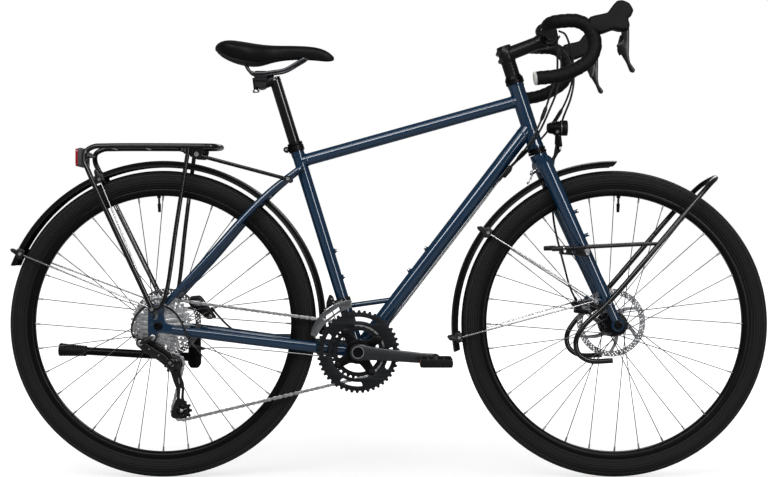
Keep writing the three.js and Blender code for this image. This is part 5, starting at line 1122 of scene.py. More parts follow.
upper_pulley = Vector(joint["upper_pulley_spin"]["pos_m"])
lower_pulley = Vector(joint["lower_pulley_spin"]["pos_m"])
cog_place = sideways(rear_axle, upper_pulley.y)
LOOP = [(bottom_bracket - ACROSS * INNER_RING["line"], INNER_RING["teeth"], 1), (lower_pulley, 11, 1),
        (upper_pulley, 11, -1), (cog_place, TEETH[COG["chained"]], 1)]
chain_steel = surface("chain_steel", (112, 112, 114), (168, 169, 171), (0.26, 0.42), metallic=1.0,
                      patch=70, grain=2000, bump=0.12, depth=0.00004)
chain_bright = surface("chain_outer_plates", (146, 146, 148), (206, 207, 209), (0.24, 0.38), metallic=1.0,
                       patch=70, grain=2000, bump=0.12, depth=0.00004)


def beside(angle):
    return Vector((-sin(angle), 0, cos(angle)))


def chain_places():
    """The loop's link places, as points with their directions."""
    runs = []
    for (start, teeth, way), (end, next_teeth, next_way) in zip(LOOP, LOOP[1:] + LOOP[:1]):
        radius, next_radius = pitch_radius(teeth), pitch_radius(next_teeth)
        between = end - start
        lean = asin((way * radius - next_way * next_radius) / hypot(between.x, between.z))
        angle = atan2(between.z, between.x) - lean
        runs.append((angle, start + beside(angle) * way * radius,
                     end + beside(angle) * next_way * next_radius))
    pieces = []
    for index, (centre, teeth, way) in enumerate(LOOP):
        arriving, leaving = runs[index - 1][0], runs[index][0]
        swing = -((arriving - leaving) % (2 * pi)) if way > 0 else (leaving - arriving) % (2 * pi)
        pieces.append((abs(swing) * pitch_radius(teeth), centre, arriving, swing,
                       way * pitch_radius(teeth)))
        angle, start, end = runs[index]
        pieces.append(((end - start).length, start, angle, end, None))
    total = sum(piece[0] for piece in pieces)
    count = 2 * round(total / PITCH / 2)
    for index in range(count):
        distance = index / count * total
        for length, first, angle, turn, radius in pieces:
            if distance <= length:
                break
            distance -= length
        share = distance / length
        if radius is None:
            yield first.lerp(turn, share)
        else:
            yield first + beside(angle + turn * share) * radius


def link(width, thickness):
    """Two waisted plates of one link, as long as the pitch."""
    half = [(-0.004, 0.0), (-0.0034, 0.0026), (-0.001, 0.004), (0.0022, 0.0034), (0.00635, 0.0026)]
    top = half + [(PITCH - x, z) for x, z in reversed(half[:-1])]
    outline = top + [(x, -z) for x, z in reversed(top[1:-1])]
    return joined([plate([outline], Vector((0, out, 0)), thickness, edge=0.0002)
                   for out in (-width, width)])


places = list(chain_places())
for kind, width, thickness, material in (("inner", 0.0017, 0.0008, chain_steel),
                                         ("outer", 0.00268, 0.0008, chain_bright)):
    pattern = link(width, thickness)
    if kind == "inner":
        pattern = joined([pattern, rod((0, -0.0015, 0), (0, 0.0015, 0), 0.0039, steps=10),
                          rod((PITCH, -0.0015, 0), (PITCH, 0.0015, 0), 0.0039, steps=10)])
    else:
        rivets = [rod((x, side * 0.0022, 0), (x, side * 0.0032, 0), 0.0016, steps=8) for x in (0, PITCH)
                  for side in (-1, 1)]
        pattern = joined([pattern] + rivets)
    matrices = []
    for index in range(0 if kind == "inner" else 1, len(places), 2):
        here, after = places[index], places[(index + 1) % len(places)]
        ahead = (after - here).normalized()
        turn = Matrix((ahead, ACROSS, ahead.cross(ACROSS))).transposed().to_4x4()
        matrices.append(Matrix.Translation(here) @ turn)
    copies(pattern, matrices)
    replaced = ["chain"] if kind == "inner" else []
    settled(f"chain_{kind}_links", "frame", material, "chain", *replaced, angle=35)

# Pulleys and rear derailleur
# A long-cage derailleur on the forged hanger: black painted knuckles and links on steel pins,
# a cage of two pressed plates, and two toothed pulleys that turn on bushes.

CAGE_PLATES = (upper_pulley.y - 0.0049, upper_pulley.y + 0.0049)
pulley_black = surface("pulley_black", (20, 20, 21), (32, 32, 33), (0.4, 0.55), patch=40, grain=1500,
                       bump=0.15)
cage_black = surface("derailleur_black", (14, 14, 15), (25, 25, 27), (0.3, 0.44), metallic=0.2, patch=30,
                     grain=2200, bump=0.1, depth=0.00004, coat=0.5, coat_roughness=0.15)
for name, centre in (("upper", upper_pulley), ("lower", lower_pulley)):
    holes = [circle(0.0026, 10, flat_polar(0.0125, turn)) for turn in turns(5)]
    disc = plate([toothed(11, 0.0018, land=0.2), circle(0.0038, 20)] + holes, centre, 0.0023, edge=0.0003)
    fitted([disc, bored(centre - ACROSS * 0.0032, centre + ACROSS * 0.0032, 0.0068, 0.0037)],
           f"{name}_pulley_moulded", f"{name}_pulley_body", pulley_black, f"{name}_pulley",
           f"{name}_pulley", angle=25)

outer_plate = [(-0.0175, 0.01), (-0.01, 0.0165), (0.001, 0.0178), (0.01, 0.013), (0.0145, 0.002),
               (0.015, -0.022), (0.0235, -0.044), (0.0245, -0.058), (0.022, -0.084), (0.03, -0.092),
               (0.034, -0.104), (0.031, -0.118), (0.019, -0.1235), (-0.002, -0.1255), (-0.0075, -0.118),
               (-0.0015, -0.098), (0.007, -0.08), (0.007, -0.06), (-0.001, -0.04), (-0.007, -0.02),
               (-0.0165, -0.008)]
slots = [[(0.0115, -0.03), (0.015, -0.046), (0.0125, -0.047), (0.0085, -0.036)],
         [(0.0145, -0.056), (0.0185, -0.056), (0.0165, -0.083), (0.0125, -0.08)]]
inner_plate = [(-0.014, 0.006), (-0.004, 0.0135), (0.008, 0.011), (0.013, 0.0), (0.0135, -0.024),
               (0.021, -0.046), (0.022, -0.082), (0.03, -0.096), (0.029, -0.114), (0.018, -0.1205),
               (0.006, -0.1205), (0.0035, -0.104), (0.0105, -0.082), (0.0105, -0.056), (0.0005, -0.034),
               (-0.0055, -0.014)]
window = circle(0.0112, 28, (lower_pulley.x - upper_pulley.x, lower_pulley.z - upper_pulley.z))
parts = [plate([rounded(outer_plate, 0.004, 2), window] + [rounded(slot, 0.0015, 1) for slot in slots],
               sideways(upper_pulley, CAGE_PLATES[0]), 0.0015, edge=0.0003),
         plate([rounded(inner_plate, 0.004, 2), circle(0.0095, 24, (0.0175, -0.1075))]
               + [rounded(slot, 0.0015, 1) for slot in slots], sideways(upper_pulley, CAGE_PLATES[1]),
               0.0014, edge=0.0003)]
for turn in (20, 140, 260):
    spoke = polar(radians(turn), 0.0125)
    parts.append(rod(sideways(lower_pulley, CAGE_PLATES[0]),
                     Vector((lower_pulley.x + spoke.x, CAGE_PLATES[0], lower_pulley.z + spoke.z)), 0.0016,
                     steps=8))
parts.append(rod(sideways(lower_pulley, CAGE_PLATES[0] - 0.0011), sideways(lower_pulley, CAGE_PLATES[1]),
                 0.0045, 0.0028, steps=20))
cage_stop = Vector((upper_pulley.x + 0.0185, 0, upper_pulley.z - 0.054))
parts.append(pin(cage_stop, CAGE_PLATES[0], CAGE_PLATES[1], 0.0018, steps=10))
cage = joined(parts)
shoulder = rear_axle + Vector((-0.039, 0, -0.039))
hanger_bolt = rear_axle + Vector((-0.011, 0, -0.026))
parts = [cage]
CAGE_PIVOT_SHAPE = [(0, 0), (0.0165, 0), (0.0172, 0.002), (0.0172, 0.009), (0.0155, 0.0115),
                    (0.014, 0.0135), (0.0135, 0.021), (0.0118, 0.0232), (0.0065, 0.0236), (0.006, 0.0222),
                    (0, 0.0222)]
parts.append(turned(CAGE_PIVOT_SHAPE, upper_pulley - ACROSS * 0.0056, -ACROSS, 44))
low, high = Vector((upper_pulley.x - 0.002, -0.0625, upper_pulley.z + 0.006)), sideways(shoulder, -0.07)
run = (low - high).normalized()
over = run.cross(ACROSS).normalized()
for out, wide, shift, length in ((-0.0555, 0.006, 0.006, 0.0), (-0.0795, 0.007, -0.002, 0.004)):
    far, near = high + run * 0.002, low - run * 0.006
    middle = far.lerp(near, 0.5) + over * shift
    link_length = (far - near).length / 2 + 0.006 - length
    outline = [(-link_length, -0.0085), (-link_length * 0.5, -0.01), (link_length * 0.4, -0.0088),
               (link_length, -0.0105), (link_length * 1.03, 0.005), (link_length * 0.6, 0.0095),
               (-link_length * 0.4, 0.0085), (-link_length * 1.02, 0.0075)]
    turn = atan2(run.z, run.x)
    outline = [(x * cos(turn) - z * sin(turn), x * sin(turn) + z * cos(turn)) for x, z in outline]
    parts.append(plate([rounded(outline, 0.004, 3)], sideways(middle, out), wide, edge=0.0018))
SHOULDER_SHAPE = [(0, 0), (0.0095, 0), (0.011, 0.0015), (0.011, 0.015), (0.0098, 0.0195), (0.0085, 0.021),
                  (0.0045, 0.021), (0.004, 0.019), (0, 0.019)]
parts.append(turned(SHOULDER_SHAPE, shoulder - ACROSS * 0.0625, -ACROSS, 36))
parts.append(pin(low, 0.01, -0.0215, 0.0088, 0.0082, steps=32, round_end=0.0015))
parts.append(spline([shoulder - ACROSS * 0.0795, shoulder.lerp(hanger_bolt, 0.5) - ACROSS * 0.0805,
                     hanger_bolt - ACROSS * 0.08], 0.0062, steps=3))
HANGER_BOLT_SHAPE = [(0, 0), (0.0085, 0), (0.0088, 0.0008), (0.008, 0.006), (0.0068, 0.0072), (0, 0.0072)]
parts.append(turned(HANGER_BOLT_SHAPE, hanger_bolt - ACROSS * 0.0775, -ACROSS, 32))
barrel = shoulder + Vector((-0.004, -0.0755, 0.008))
parts.append(rod(barrel, barrel + Vector((-0.006, 0, 0.011)), 0.0042, 0.0034, steps=18, round_end=0.0006))
for angle in turns(12):
    rib = barrel + Vector((-0.001, 0, 0.0018)) + Vector((0.0037 * cos(angle) * 0.85, 0.0037 * sin(angle),
                                                         0.0037 * cos(angle) * 0.45))
    parts.append(rod(rib, rib + Vector((-0.0035, 0, 0.0064)), 0.0006, steps=6))
fitted(parts, "rear_derailleur_body", "frame", cage_black, "rear_derailleur", "rear_derailleur")
bolts = [screw(shoulder - ACROSS * 0.0832, -ACROSS, 0.0062, 0.0015, 0.42),
         screw(hanger_bolt - ACROSS * 0.0844, -ACROSS, 0.0062, 0.0012, 0.42),
         screw(upper_pulley - ACROSS * 0.029, -ACROSS, 0.0042, 0.0012),
         screw(sideways(lower_pulley, CAGE_PLATES[0] - 0.0012), -ACROSS, 0.0036, 0.0011),
         screw(low - ACROSS * 0.0208, -ACROSS, 0.0034, 0.0012),
         screw(high - ACROSS * 0.0125, -ACROSS, 0.003, 0.0012)]
for step in (0.3, 0.62):
    spot = high.lerp(low, step)
    bolts.append(screw(sideways(spot, -0.0828), -ACROSS, 0.0022, 0.001))
fitted(bolts, "rear_derailleur_bolts", "frame", bolt_steel, "rear_derailleur")

# Front derailleur
# A polished steel cage of two curved plates over the large ring, hung from a black linkage
# on a clamp band round the seat tube.

MECH = {"inner": 0.097, "outer": 0.12, "near": 0.0444, "far": 0.0353, "plate": 0.0012, "band_up": 0.118}
cage_steel = surface("derailleur_cage_steel", (104, 105, 108), (150, 151, 154), (0.14, 0.28),
                     metallic=1.0, patch=30, grain=2600, bump=0.08, depth=0.00003)
parts = []
for out, grow in ((-MECH["near"], 0.0), (-MECH["far"], -0.002)):
    angles = [radians(98 + 63 * step / 12) for step in range(13)]
    high_edge = [MECH["outer"] + grow - 0.004 * max(0, (step - 8) / 4) ** 2 for step in range(13)]
    low_edge = [MECH["inner"] + 0.004 * abs(step - 6) / 6 for step in range(13)]
    outline = around(zip(high_edge, angles)) + around(reversed(list(zip(low_edge, angles))))
    slot = [(0.1045, radians(112)), (0.1115, radians(112)), (0.1115, radians(138)),
            (0.1045, radians(138))]
    parts.append(plate([rounded(outline, 0.002, 1), rounded(around(slot), 0.002, 2)],
                       bottom_bracket + ACROSS * out, MECH["plate"], edge=0.0003))
for turn, radius, wide in ((123, 0.1195, 0.011), (159, 0.106, 0.005), (101, 0.115, 0.006)):
    spot = bottom_bracket + polar(radians(turn), radius)
    tangent = polar(radians(turn + 90), 1)
    a, b = spot + tangent * wide, spot - tangent * wide
    for end in (a, b):
        parts.append(pin(end, -(MECH["near"] + 0.0006), -(MECH["far"] - 0.0006), 0.0016, steps=8))
    parts.append(turned([(0.0, 0), (0.0016, 0), (0.0016, 2 * wide), (0, 2 * wide)], b - ACROSS * 0.04,
                        tangent, 8))
fitted(parts, "front_derailleur_cage", "frame", cage_steel, "front_derailleur", "front_derailleur",
       angle=30)
band = on_seat_tube(MECH["band_up"])
roof = bottom_bracket + polar(radians(123.2), 0.118)
parts = [bored(band - seat_up * 0.0078, band + seat_up * 0.0078, 0.0178, 0.0148)]
body_low, body_high = Vector((roof.x, -0.034, roof.z + 0.002)), band + Vector((-0.003, -0.0205, 0.002))
parts.append(rod(body_low + ACROSS * 0.002, body_high, 0.0078, 0.0085, steps=24, round_end=0.0015))
parts.append(rod(band + Vector((-0.019, 0.009, -0.006)), band + Vector((-0.019, -0.0235, -0.006)), 0.0058,
                 steps=24, round_end=0.001))
for x, z in ((0.008, 0.012), (-0.012, -0.006)):
    lug = Vector((body_low.x + x, -0.0305, body_low.z + z))
    parts.append(pin(lug, 0.006, -0.0055, 0.0048, steps=20, round_end=0.0008))
arm = [(-0.012, -0.004), (0.006, -0.008), (0.012, 0.004), (0.004, 0.026), (-0.004, 0.03), (-0.011, 0.012)]
parts.append(plate([rounded(arm, 0.003, 2)], Vector((body_low.x + 0.002, -0.0265, body_low.z)), 0.004,
                   edge=0.0012))
fitted(parts, "front_derailleur_link", "frame", cage_black, "front_derailleur")
fitted([screw(band + Vector((-0.019, -0.0235, -0.006)), -ACROSS, 0.0038, 0.0018),
        screw(Vector((body_low.x + 0.003, -0.0286, body_low.z + 0.019)), -ACROSS, 0.0026, 0.0014),
        screw(Vector((body_low.x + 0.008, -0.0361, body_low.z + 0.012)), -ACROSS, 0.0026, 0.0012),
        screw(Vector((body_low.x - 0.012, -0.0361, body_low.z - 0.006)), -ACROSS, 0.0026, 0.0012)],
       "front_derailleur_screws", "frame", bolt_steel, "front_derailleur")

# Disc calipers
# Cast aluminium bodies, painted black, that straddle the rotors: each has the boss of its cable arm,
# a drilled heat plate on the pads, and two mounting bolts.

caliper_paint = surface("caliper_black", (18, 18, 19), (32, 32, 35), (0.3, 0.48), metallic=0.35, patch=40,
                        grain=1600, bump=0.15)
pad_steel = surface("pad_plate_steel", (116, 117, 120), (160, 161, 164), (0.24, 0.4), metallic=1.0,
                    patch=40)
CALIPER_SIZE = (0.044, 0.034)
CALIPERS = {"rear": {"place": rear_axle + Vector((0.059, 0, 0.026)), "plane": HUBS["rear"]["rotor"],
                     "body": "frame", "shape": [(-0.1, 1.05), (0.42, 1.1), (0.62, 0.8), (0.9, 0.28),
                                                (1.3, -0.45), (0.9, -0.6), (0.42, -0.1), (0.2, 0.2),
                                                (-0.2, 0.55)], "mounts": [(0.16, 0.62), (1.0, -0.34)],
                     "arm": (0.35, 0.75), "pads": (0.3, 0.55)},
            "front": {"place": front_axle + Vector((-0.066, 0, 0.033)), "plane": HUBS["front"]["rotor"],
                      "body": "steering", "shape": [(-0.5, -0.3), (-0.42, 0.42), (-0.1, 0.6), (0.9, 0.62),
                                                    (0.98, 0.1), (0.3, -0.42)],
                      "mounts": [(0.72, 0.36), (0.32, -0.14)], "arm": (0.05, 0.25), "pads": (0.1, 0.1)}}
for name, size in CALIPERS.items():
    shape = scaled(size["shape"], *CALIPER_SIZE)
    middle = size["place"] + ACROSS * size["plane"]
    parts = [plate([rounded(shape, 0.004, 3)], middle + ACROSS * 0.0057, 0.007, edge=0.0016),
             plate([rounded([(x * 0.94, z * 0.94) for x, z in shape], 0.004, 3)], middle - ACROSS * 0.007,
                   0.0098, edge=0.002)]
    for x, z in scaled(size["mounts"], *CALIPER_SIZE):
        spot = middle + Vector((x, 0, z))
        parts.append(pin(spot, -0.0118, 0.009, 0.0062, steps=28, round_end=0.001))
    away = (size["place"] - WHEELS[name]).normalized()
    arch = middle + sideways(away, 0) * 0.0245
    parts.append(pin(arch, -0.011, 0.0085, 0.006, steps=24, round_end=0.001))
    arm_x, arm_z = scaled([size["arm"]], *CALIPER_SIZE)[0]
    pivot = middle + Vector((arm_x, 0.0095, arm_z))
    parts.append(pin(pivot, -0.003, -0.0004, 0.0095, steps=32, round_end=0.0004))
    fitted(parts, f"{name}_caliper_cast", size["body"], caliper_paint, f"{name}_brake_caliper",
           f"{name}_brake_caliper")
    px, pz = scaled([size["pads"]], *CALIPER_SIZE)[0]
    fins = [circle(0.0016, 8, (px + 0.005 * step, pz + 0.004)) for step in (-1, 0, 1)]
    outline = [(px - 0.009, pz - 0.006), (px + 0.009, pz - 0.006), (px + 0.01, pz + 0.007),
               (px - 0.01, pz + 0.007)]
    fin = plate([rounded(outline, 0.002, 2)] + fins, middle - ACROSS * 0.0121, 0.0006, edge=0.0001)
    bolts = [fin]
    for x, z in scaled(size["mounts"], *CALIPER_SIZE):
        bolts.append(screw(middle + Vector((x, -0.0115, z)), -ACROSS, 0.004, 0.0012))
    fitted(bolts, f"{name}_caliper_trim", size["body"], pad_steel, f"{name}_brake_caliper")

# Stem, spacers, cap and bell
# A forged aluminium stem clamped over the steerer with two ringed bolts, on four spacers and under
# a pressed cap. A small spring bell stands on the bar beside it.

BAR = {"centre": Vector((0.37, 0, 1.016)), "radius": 0.012, "wide": 0.213, "reach": 0.075, "drop": 0.118}
stem_black = surface("stem_black", (16, 16, 17), (27, 27, 29), (0.3, 0.44), metallic=0.3, patch=40,
                     grain=2000, bump=0.08, coat=0.2, coat_roughness=0.2)
steerer_top = on_steerer(0.259)
parts = []
SPACER_SHAPE = [(0.0146, 0), (0.0168, 0), (0.017, 0.0002), (0.017, 0.0076), (0.0168, 0.0078),
                (0.0146, 0.0078)]
for index in range(4):
    low = on_steerer(0.1908 + 0.008 * index)
    parts.append(turned(SPACER_SHAPE, low, steer_up, 48))
sleeve_foot = on_steerer(0.2228)
STEM_SLEEVE_SHAPE = [(0.0146, 0), (0.0172, 0), (0.018, 0.0012), (0.018, 0.0345), (0.0172, 0.0358),
                     (0.0146, 0.0358)]
parts.append(turned(STEM_SLEEVE_SHAPE, sleeve_foot, steer_up, 48))
TOP_CAP_SHAPE = [(0, 0), (0.0165, 0), (0.017, 0.0008), (0.0166, 0.003), (0.012, 0.0036), (0.0062, 0.0028),
                 (0.006, 0.0016), (0, 0.0016)]
parts.append(turned(TOP_CAP_SHAPE, steerer_top, steer_up, 48))
neck_root, neck_tip = on_steerer(0.241), BAR["centre"]
along_neck = (neck_tip - neck_root).normalized()
parts.append(rod(neck_root, neck_tip - along_neck * 0.012, 0.0162, 0.0155, steps=40))
parts.append(rod(neck_tip - along_neck * 0.03, neck_tip - along_neck * 0.01, 0.0158, 0.0205, steps=40))
parts.append(bored(BAR["centre"] - ACROSS * 0.0228, BAR["centre"] + ACROSS * 0.0228, 0.0208, 0.0162))
across_neck = along_neck.cross(ACROSS).normalized()
back = Vector((-steer_up.z, 0, steer_up.x))
bosses = [BAR["centre"] + ACROSS * side * 0.0155 + across_neck * lift * 0.017 for side in (-1, 1)
          for lift in (-1, 1)]
lugs = [sleeve_foot + steer_up * rise + back * 0.0165 for rise in (0.0085, 0.0265)]
for boss in bosses:
    parts.append(rod(boss - along_neck * 0.008, boss + along_neck * 0.0085, 0.0046, steps=20,
                     round_end=0.0008))
for lug in lugs:
    parts.append(pin(lug, -0.0125, 0.0125, 0.0052, steps=20, round_end=0.0008))
fitted(parts, "stem_forged", "steering", stem_black, "stem", "stem")
bolts = []
WASHER_SHAPE = [(0.004, 0), (0.0056, 0), (0.0056, 0.0005), (0.004, 0.0005)]
for lug in lugs:
    bolts.append(screw(lug - ACROSS * 0.0122, -ACROSS, 0.004, 0.0016))
    bolts.append(turned(WASHER_SHAPE, lug - ACROSS * 0.0125, -ACROSS, 24))
for boss in bosses:
    bolts.append(screw(boss + along_neck * 0.0082, along_neck, 0.0032, 0.0014))
bolts.append(screw(steerer_top + steer_up * 0.0018, steer_up, 0.005, 0.002))
fitted(bolts, "stem_bolts", "steering", black_steel, "stem")

bell_foot = BAR["centre"] + Vector((-0.012, -0.038, 0.008))
bell_up = Vector((-0.72, -0.42, 0.55)).normalized()
DOME_SHAPE = [(0, 0.0225), (0.006, 0.022), (0.0112, 0.02), (0.015, 0.0165), (0.0168, 0.012),
              (0.0172, 0.007), (0.0168, 0.006), (0.0158, 0.0064), (0.0158, 0.0118), (0.014, 0.0156),
              (0.0105, 0.0188), (0.0058, 0.0206), (0, 0.0211)]
bell = turned(DOME_SHAPE, bell_foot, bell_up, 48)
bell_black = surface("bell_black", (14, 14, 15), (26, 26, 28), (0.16, 0.26), metallic=0.6, patch=30,
                     coat=0.6, coat_roughness=0.1)
BELL_NUT_SHAPE = [(0, 0), (0.0032, 0), (0.003, 0.0014), (0, 0.0022)]
fitted([bell, bored(BAR["centre"] - ACROSS * 0.044, BAR["centre"] - ACROSS * 0.036, 0.0176, 0.0161),
        rod(bell_foot - bell_up * 0.001, bell_foot + bell_up * 0.0205, 0.003, steps=16),
        turned(BELL_NUT_SHAPE, bell_foot + bell_up * 0.0218, bell_up, 20),
        rod(bell_foot + Vector((0.002, 0.002, 0.001)), bell_foot + Vector((0.0215, 0.002, 0.007)), 0.0016,
            0.0024, steps=12, round_end=0.0008)], "bell_with_clamp", "steering", bell_black, "handlebar")

# Handlebar and wound tape
# A drop bar of drawn aluminium tube, swelled at the clamp. Cushioned tape is wound over each half from
# the end up, every turn over the edge of the last, and a push-in plug holds its tail in the tube.

BAR_SHARES = [(0, 0, 0), (0, 0.2, 0), (-0.06, 0.42, 0), (-0.2, 0.66, 0.02), (-0.27, 0.82, 0.04),
              (-0.16, 0.92, 0.06), (0.12, 0.98, 0.07), (0.5, 1, 0.06), (0.8, 1, -0.04),
              (0.96, 1.003, -0.21), (1, 1.006, -0.42), (0.84, 1.01, -0.65), (0.47, 1.02, -0.82),
              (0, 1.028, -0.94), (-0.72, 1.042, -1)]


def bar_line(side):
    return [BAR["centre"] + Vector((x * BAR["reach"], side * y * BAR["wide"], z * BAR["drop"]))
            for x, y, z in BAR_SHARES]


def smooth_line(points, steps):
    """Places along one smooth curve through points, evenly many between each two."""
    line = []
    ends = [points[0] * 2 - points[1]] + points + [points[-1] * 2 - points[-2]]
    for a, b, c, d in zip(ends, ends[1:], ends[2:], ends[3:]):
        first = (b - a).length ** 0.5
        second = first + (c - b).length ** 0.5
        third = second + (d - c).length ** 0.5
        for step in range(steps):
            t = first + (second - first) * step / steps
            share = (t - first) / (second - first)
            before, inside = a.lerp(b, t / first), b.lerp(c, share)
            after = c.lerp(d, (t - second) / (third - second))
            late = inside.lerp(after, (t - first) / (third - first))
            line.append(before.lerp(inside, t / second).lerp(late, share))
    return line + [points[-1].copy()]


bar_black = surface("bar_black", (22, 22, 24), (40, 40, 43), (0.3, 0.45), metallic=0.5, patch=40,
                    grain=2000, bump=0.06)
parts = [pin(BAR["centre"], -0.03, 0.03, 0.0157, steps=40)]
for side in (-1, 1):
    parts.append(pin(BAR["centre"], side * 0.0298, side * 0.045, 0.0157, 0.0121, steps=40))
    parts.append(spline(bar_line(side), BAR["radius"], smooth=True, resolution=6, steps=4))
fitted(parts, "handlebar_tube", "steering", bar_black, "handlebar", "handlebar")


def lofted(mesh, rings):
    """Adds the faces from each ring of points to the next one."""
    for low, high in zip(rings, rings[1:]):
        for step in range(len(low)):
            after = (step + 1) % len(low)
            mesh.faces.new((low[step], low[after], high[after], high[step]))


def skinned(name, mesh):
    """Puts a mesh into the scene with its faces outwards, as the active object."""
    bmesh.ops.recalc_face_normals(mesh, faces=mesh.faces)
    data = bpy.data.meshes.new(name)
    mesh.to_mesh(data)
    mesh.free()
    return shown(name, data)


TAPE = {"pitch": 0.0155, "spacing": 0.00155, "points": 24}


def wound_tape(side):
    """A half of the bar's tape, built ring by ring with a low step where each turn overlaps the last."""
    line = smooth_line(bar_line(side)[2:], 24)
    travelled, stations = 0.0, [line[0]]
    spacing = TAPE["spacing"]
    for a, b in zip(line, line[1:]):
        run = (b - a).length
        while travelled + run >= spacing:
            a = a + (b - a) * ((spacing - travelled) / run)
            run = (b - a).length
            travelled = 0.0
            stations.append(a.copy())
        travelled += run
    mesh, rings = bmesh.new(), []
    normal = Vector((0, 0, 1))
    for index, place in enumerate(stations):
        ahead = stations[min(index + 1, len(stations) - 1)] - stations[max(index - 1, 0)]
        tangent = ahead.normalized()
        normal = (normal - tangent * normal.dot(tangent)).normalized()
        aside = tangent.cross(normal)
        end = min(index, len(stations) - 1 - index)
        taper = 0.013 if end == 0 else 0.0141 if end == 1 else 0.015
        ring = []
        for turn in turns(TAPE["points"]):
            share = (index * spacing / TAPE["pitch"] + side * turn / (2 * pi)) % 1.0
            lip = min(share / 0.1, 1.0)
            swell = taper + (0.001 * (1 - share) * lip - 0.0004) * min(end / 4, 1)
            ring.append(mesh.verts.new(place + (normal * cos(turn) + aside * sin(turn)) * swell))
        rings.append(ring)
    lofted(mesh, rings)
    mesh.faces.new(list(reversed(rings[0])))
    mesh.faces.new(rings[-1])
    return skinned("tape", mesh)


tape_black = surface("tape_black", (12, 12, 13), (22, 22, 23), (0.5, 0.68), patch=60, grain=1300,
                     bump=0.4, depth=0.00015)
plug_white = surface("plug_white", (196, 196, 192), (222, 222, 218), (0.3, 0.45), patch=120, coat=0.2)
BAR_PLUG_SHAPE = [(0, -0.004), (0.0118, -0.004), (0.015, -0.0006), (0.015, 0.0012), (0.0132, 0.0034),
                  (0.006, 0.0042), (0, 0.0042)]
for side, name in SIDES:
    wound_tape(side)
    settled(f"bar_tape_{name}_wound", "steering", tape_black, f"bar_tape_{name}", f"bar_tape_{name}",
            angle=60)
    tip, before = bar_line(side)[-1], bar_line(side)[-2]
    out = (tip - before).normalized()
    turned(BAR_PLUG_SHAPE, tip, out, 32)
    settled(f"bar_plug_{name}", "steering", plug_white, f"bar_tape_{name}")

# Brake and shift levers
# Rubber hoods are drawn over moulded bodies that a band clamps to the bar. Each carries a cast brake
# lever on a pin and, behind it, a small shift paddle.

HOOD = {"corner": Vector((0.43, 0.213, 0.995)), "length": 0.097, "height": 0.072, "thick": 0.0318,
        "mouth": 0.0132}
HOOD_SHARES = [(0, 0.16), (0.04, 0.5), (0.42, 0.63), (0.56, 0.86), (0.64, 0.98), (0.76, 1), (0.91, 0.91),
               (1, 0.7), (0.95, 0.52), (0.89, 0.45), (0.92, 0.25), (0.88, 0.1), (0.7, 0.08), (0.55, 0.12),
               (0.28, 0)]
LEVER_SHARES = [(-0.22, 0.05), (0.28, 0.05), (0.3, -0.3), (0.28, -0.62), (0.38, -0.8), (0.72, -0.96),
                (0.62, -1.03), (0.36, -1), (0.1, -0.8), (-0.16, -0.66), (-0.38, -0.55), (-0.6, -0.4),
                (-0.44, -0.33), (-0.2, -0.28), (-0.26, -0.1)]
PADDLE_SHARES = [(-0.3, -0.14), (-0.02, -0.18), (0.02, -0.34), (-0.14, -0.56), (-0.36, -0.62),
                 (-0.52, -0.5), (-0.46, -0.32)]
MOUTH_SHARES = [(-1.8, -4.5), (3, -4.5), (3, 0), (1.5, 1), (-1, 0), (-1.8, -0.4)]


def softened(outline, steps):
    """A closed outline with its corners turned into one flowing line."""
    count, line = len(outline), []
    for index in range(count):
        a, b, c, d = [Vector(outline[(index + shift) % count]) for shift in (-1, 0, 1, 2)]
        for step in range(steps):
            t = step / steps
            spot = (b * 2 + (c - a) * t + (a * 2 - b * 5 + c * 4 - d) * t * t
                    + (b * 3 - a - c * 3 + d) * t ** 3) / 2
            line.append(tuple(b.lerp(c, t) * 0.5 + spot * 0.5))
    return line


def carved(piece, cutter):
    """A piece with the room of another one taken out of it."""
    bpy.ops.object.select_all(action="DESELECT")
    bpy.context.view_layer.objects.active = piece
    piece.select_set(True)
    cut = piece.modifiers.new("cut", "BOOLEAN")
    cut.operation, cut.solver, cut.object = "DIFFERENCE", "EXACT", cutter
    bpy.ops.object.modifier_apply(modifier=cut.name)
    bpy.data.objects.remove(cutter)
    return piece


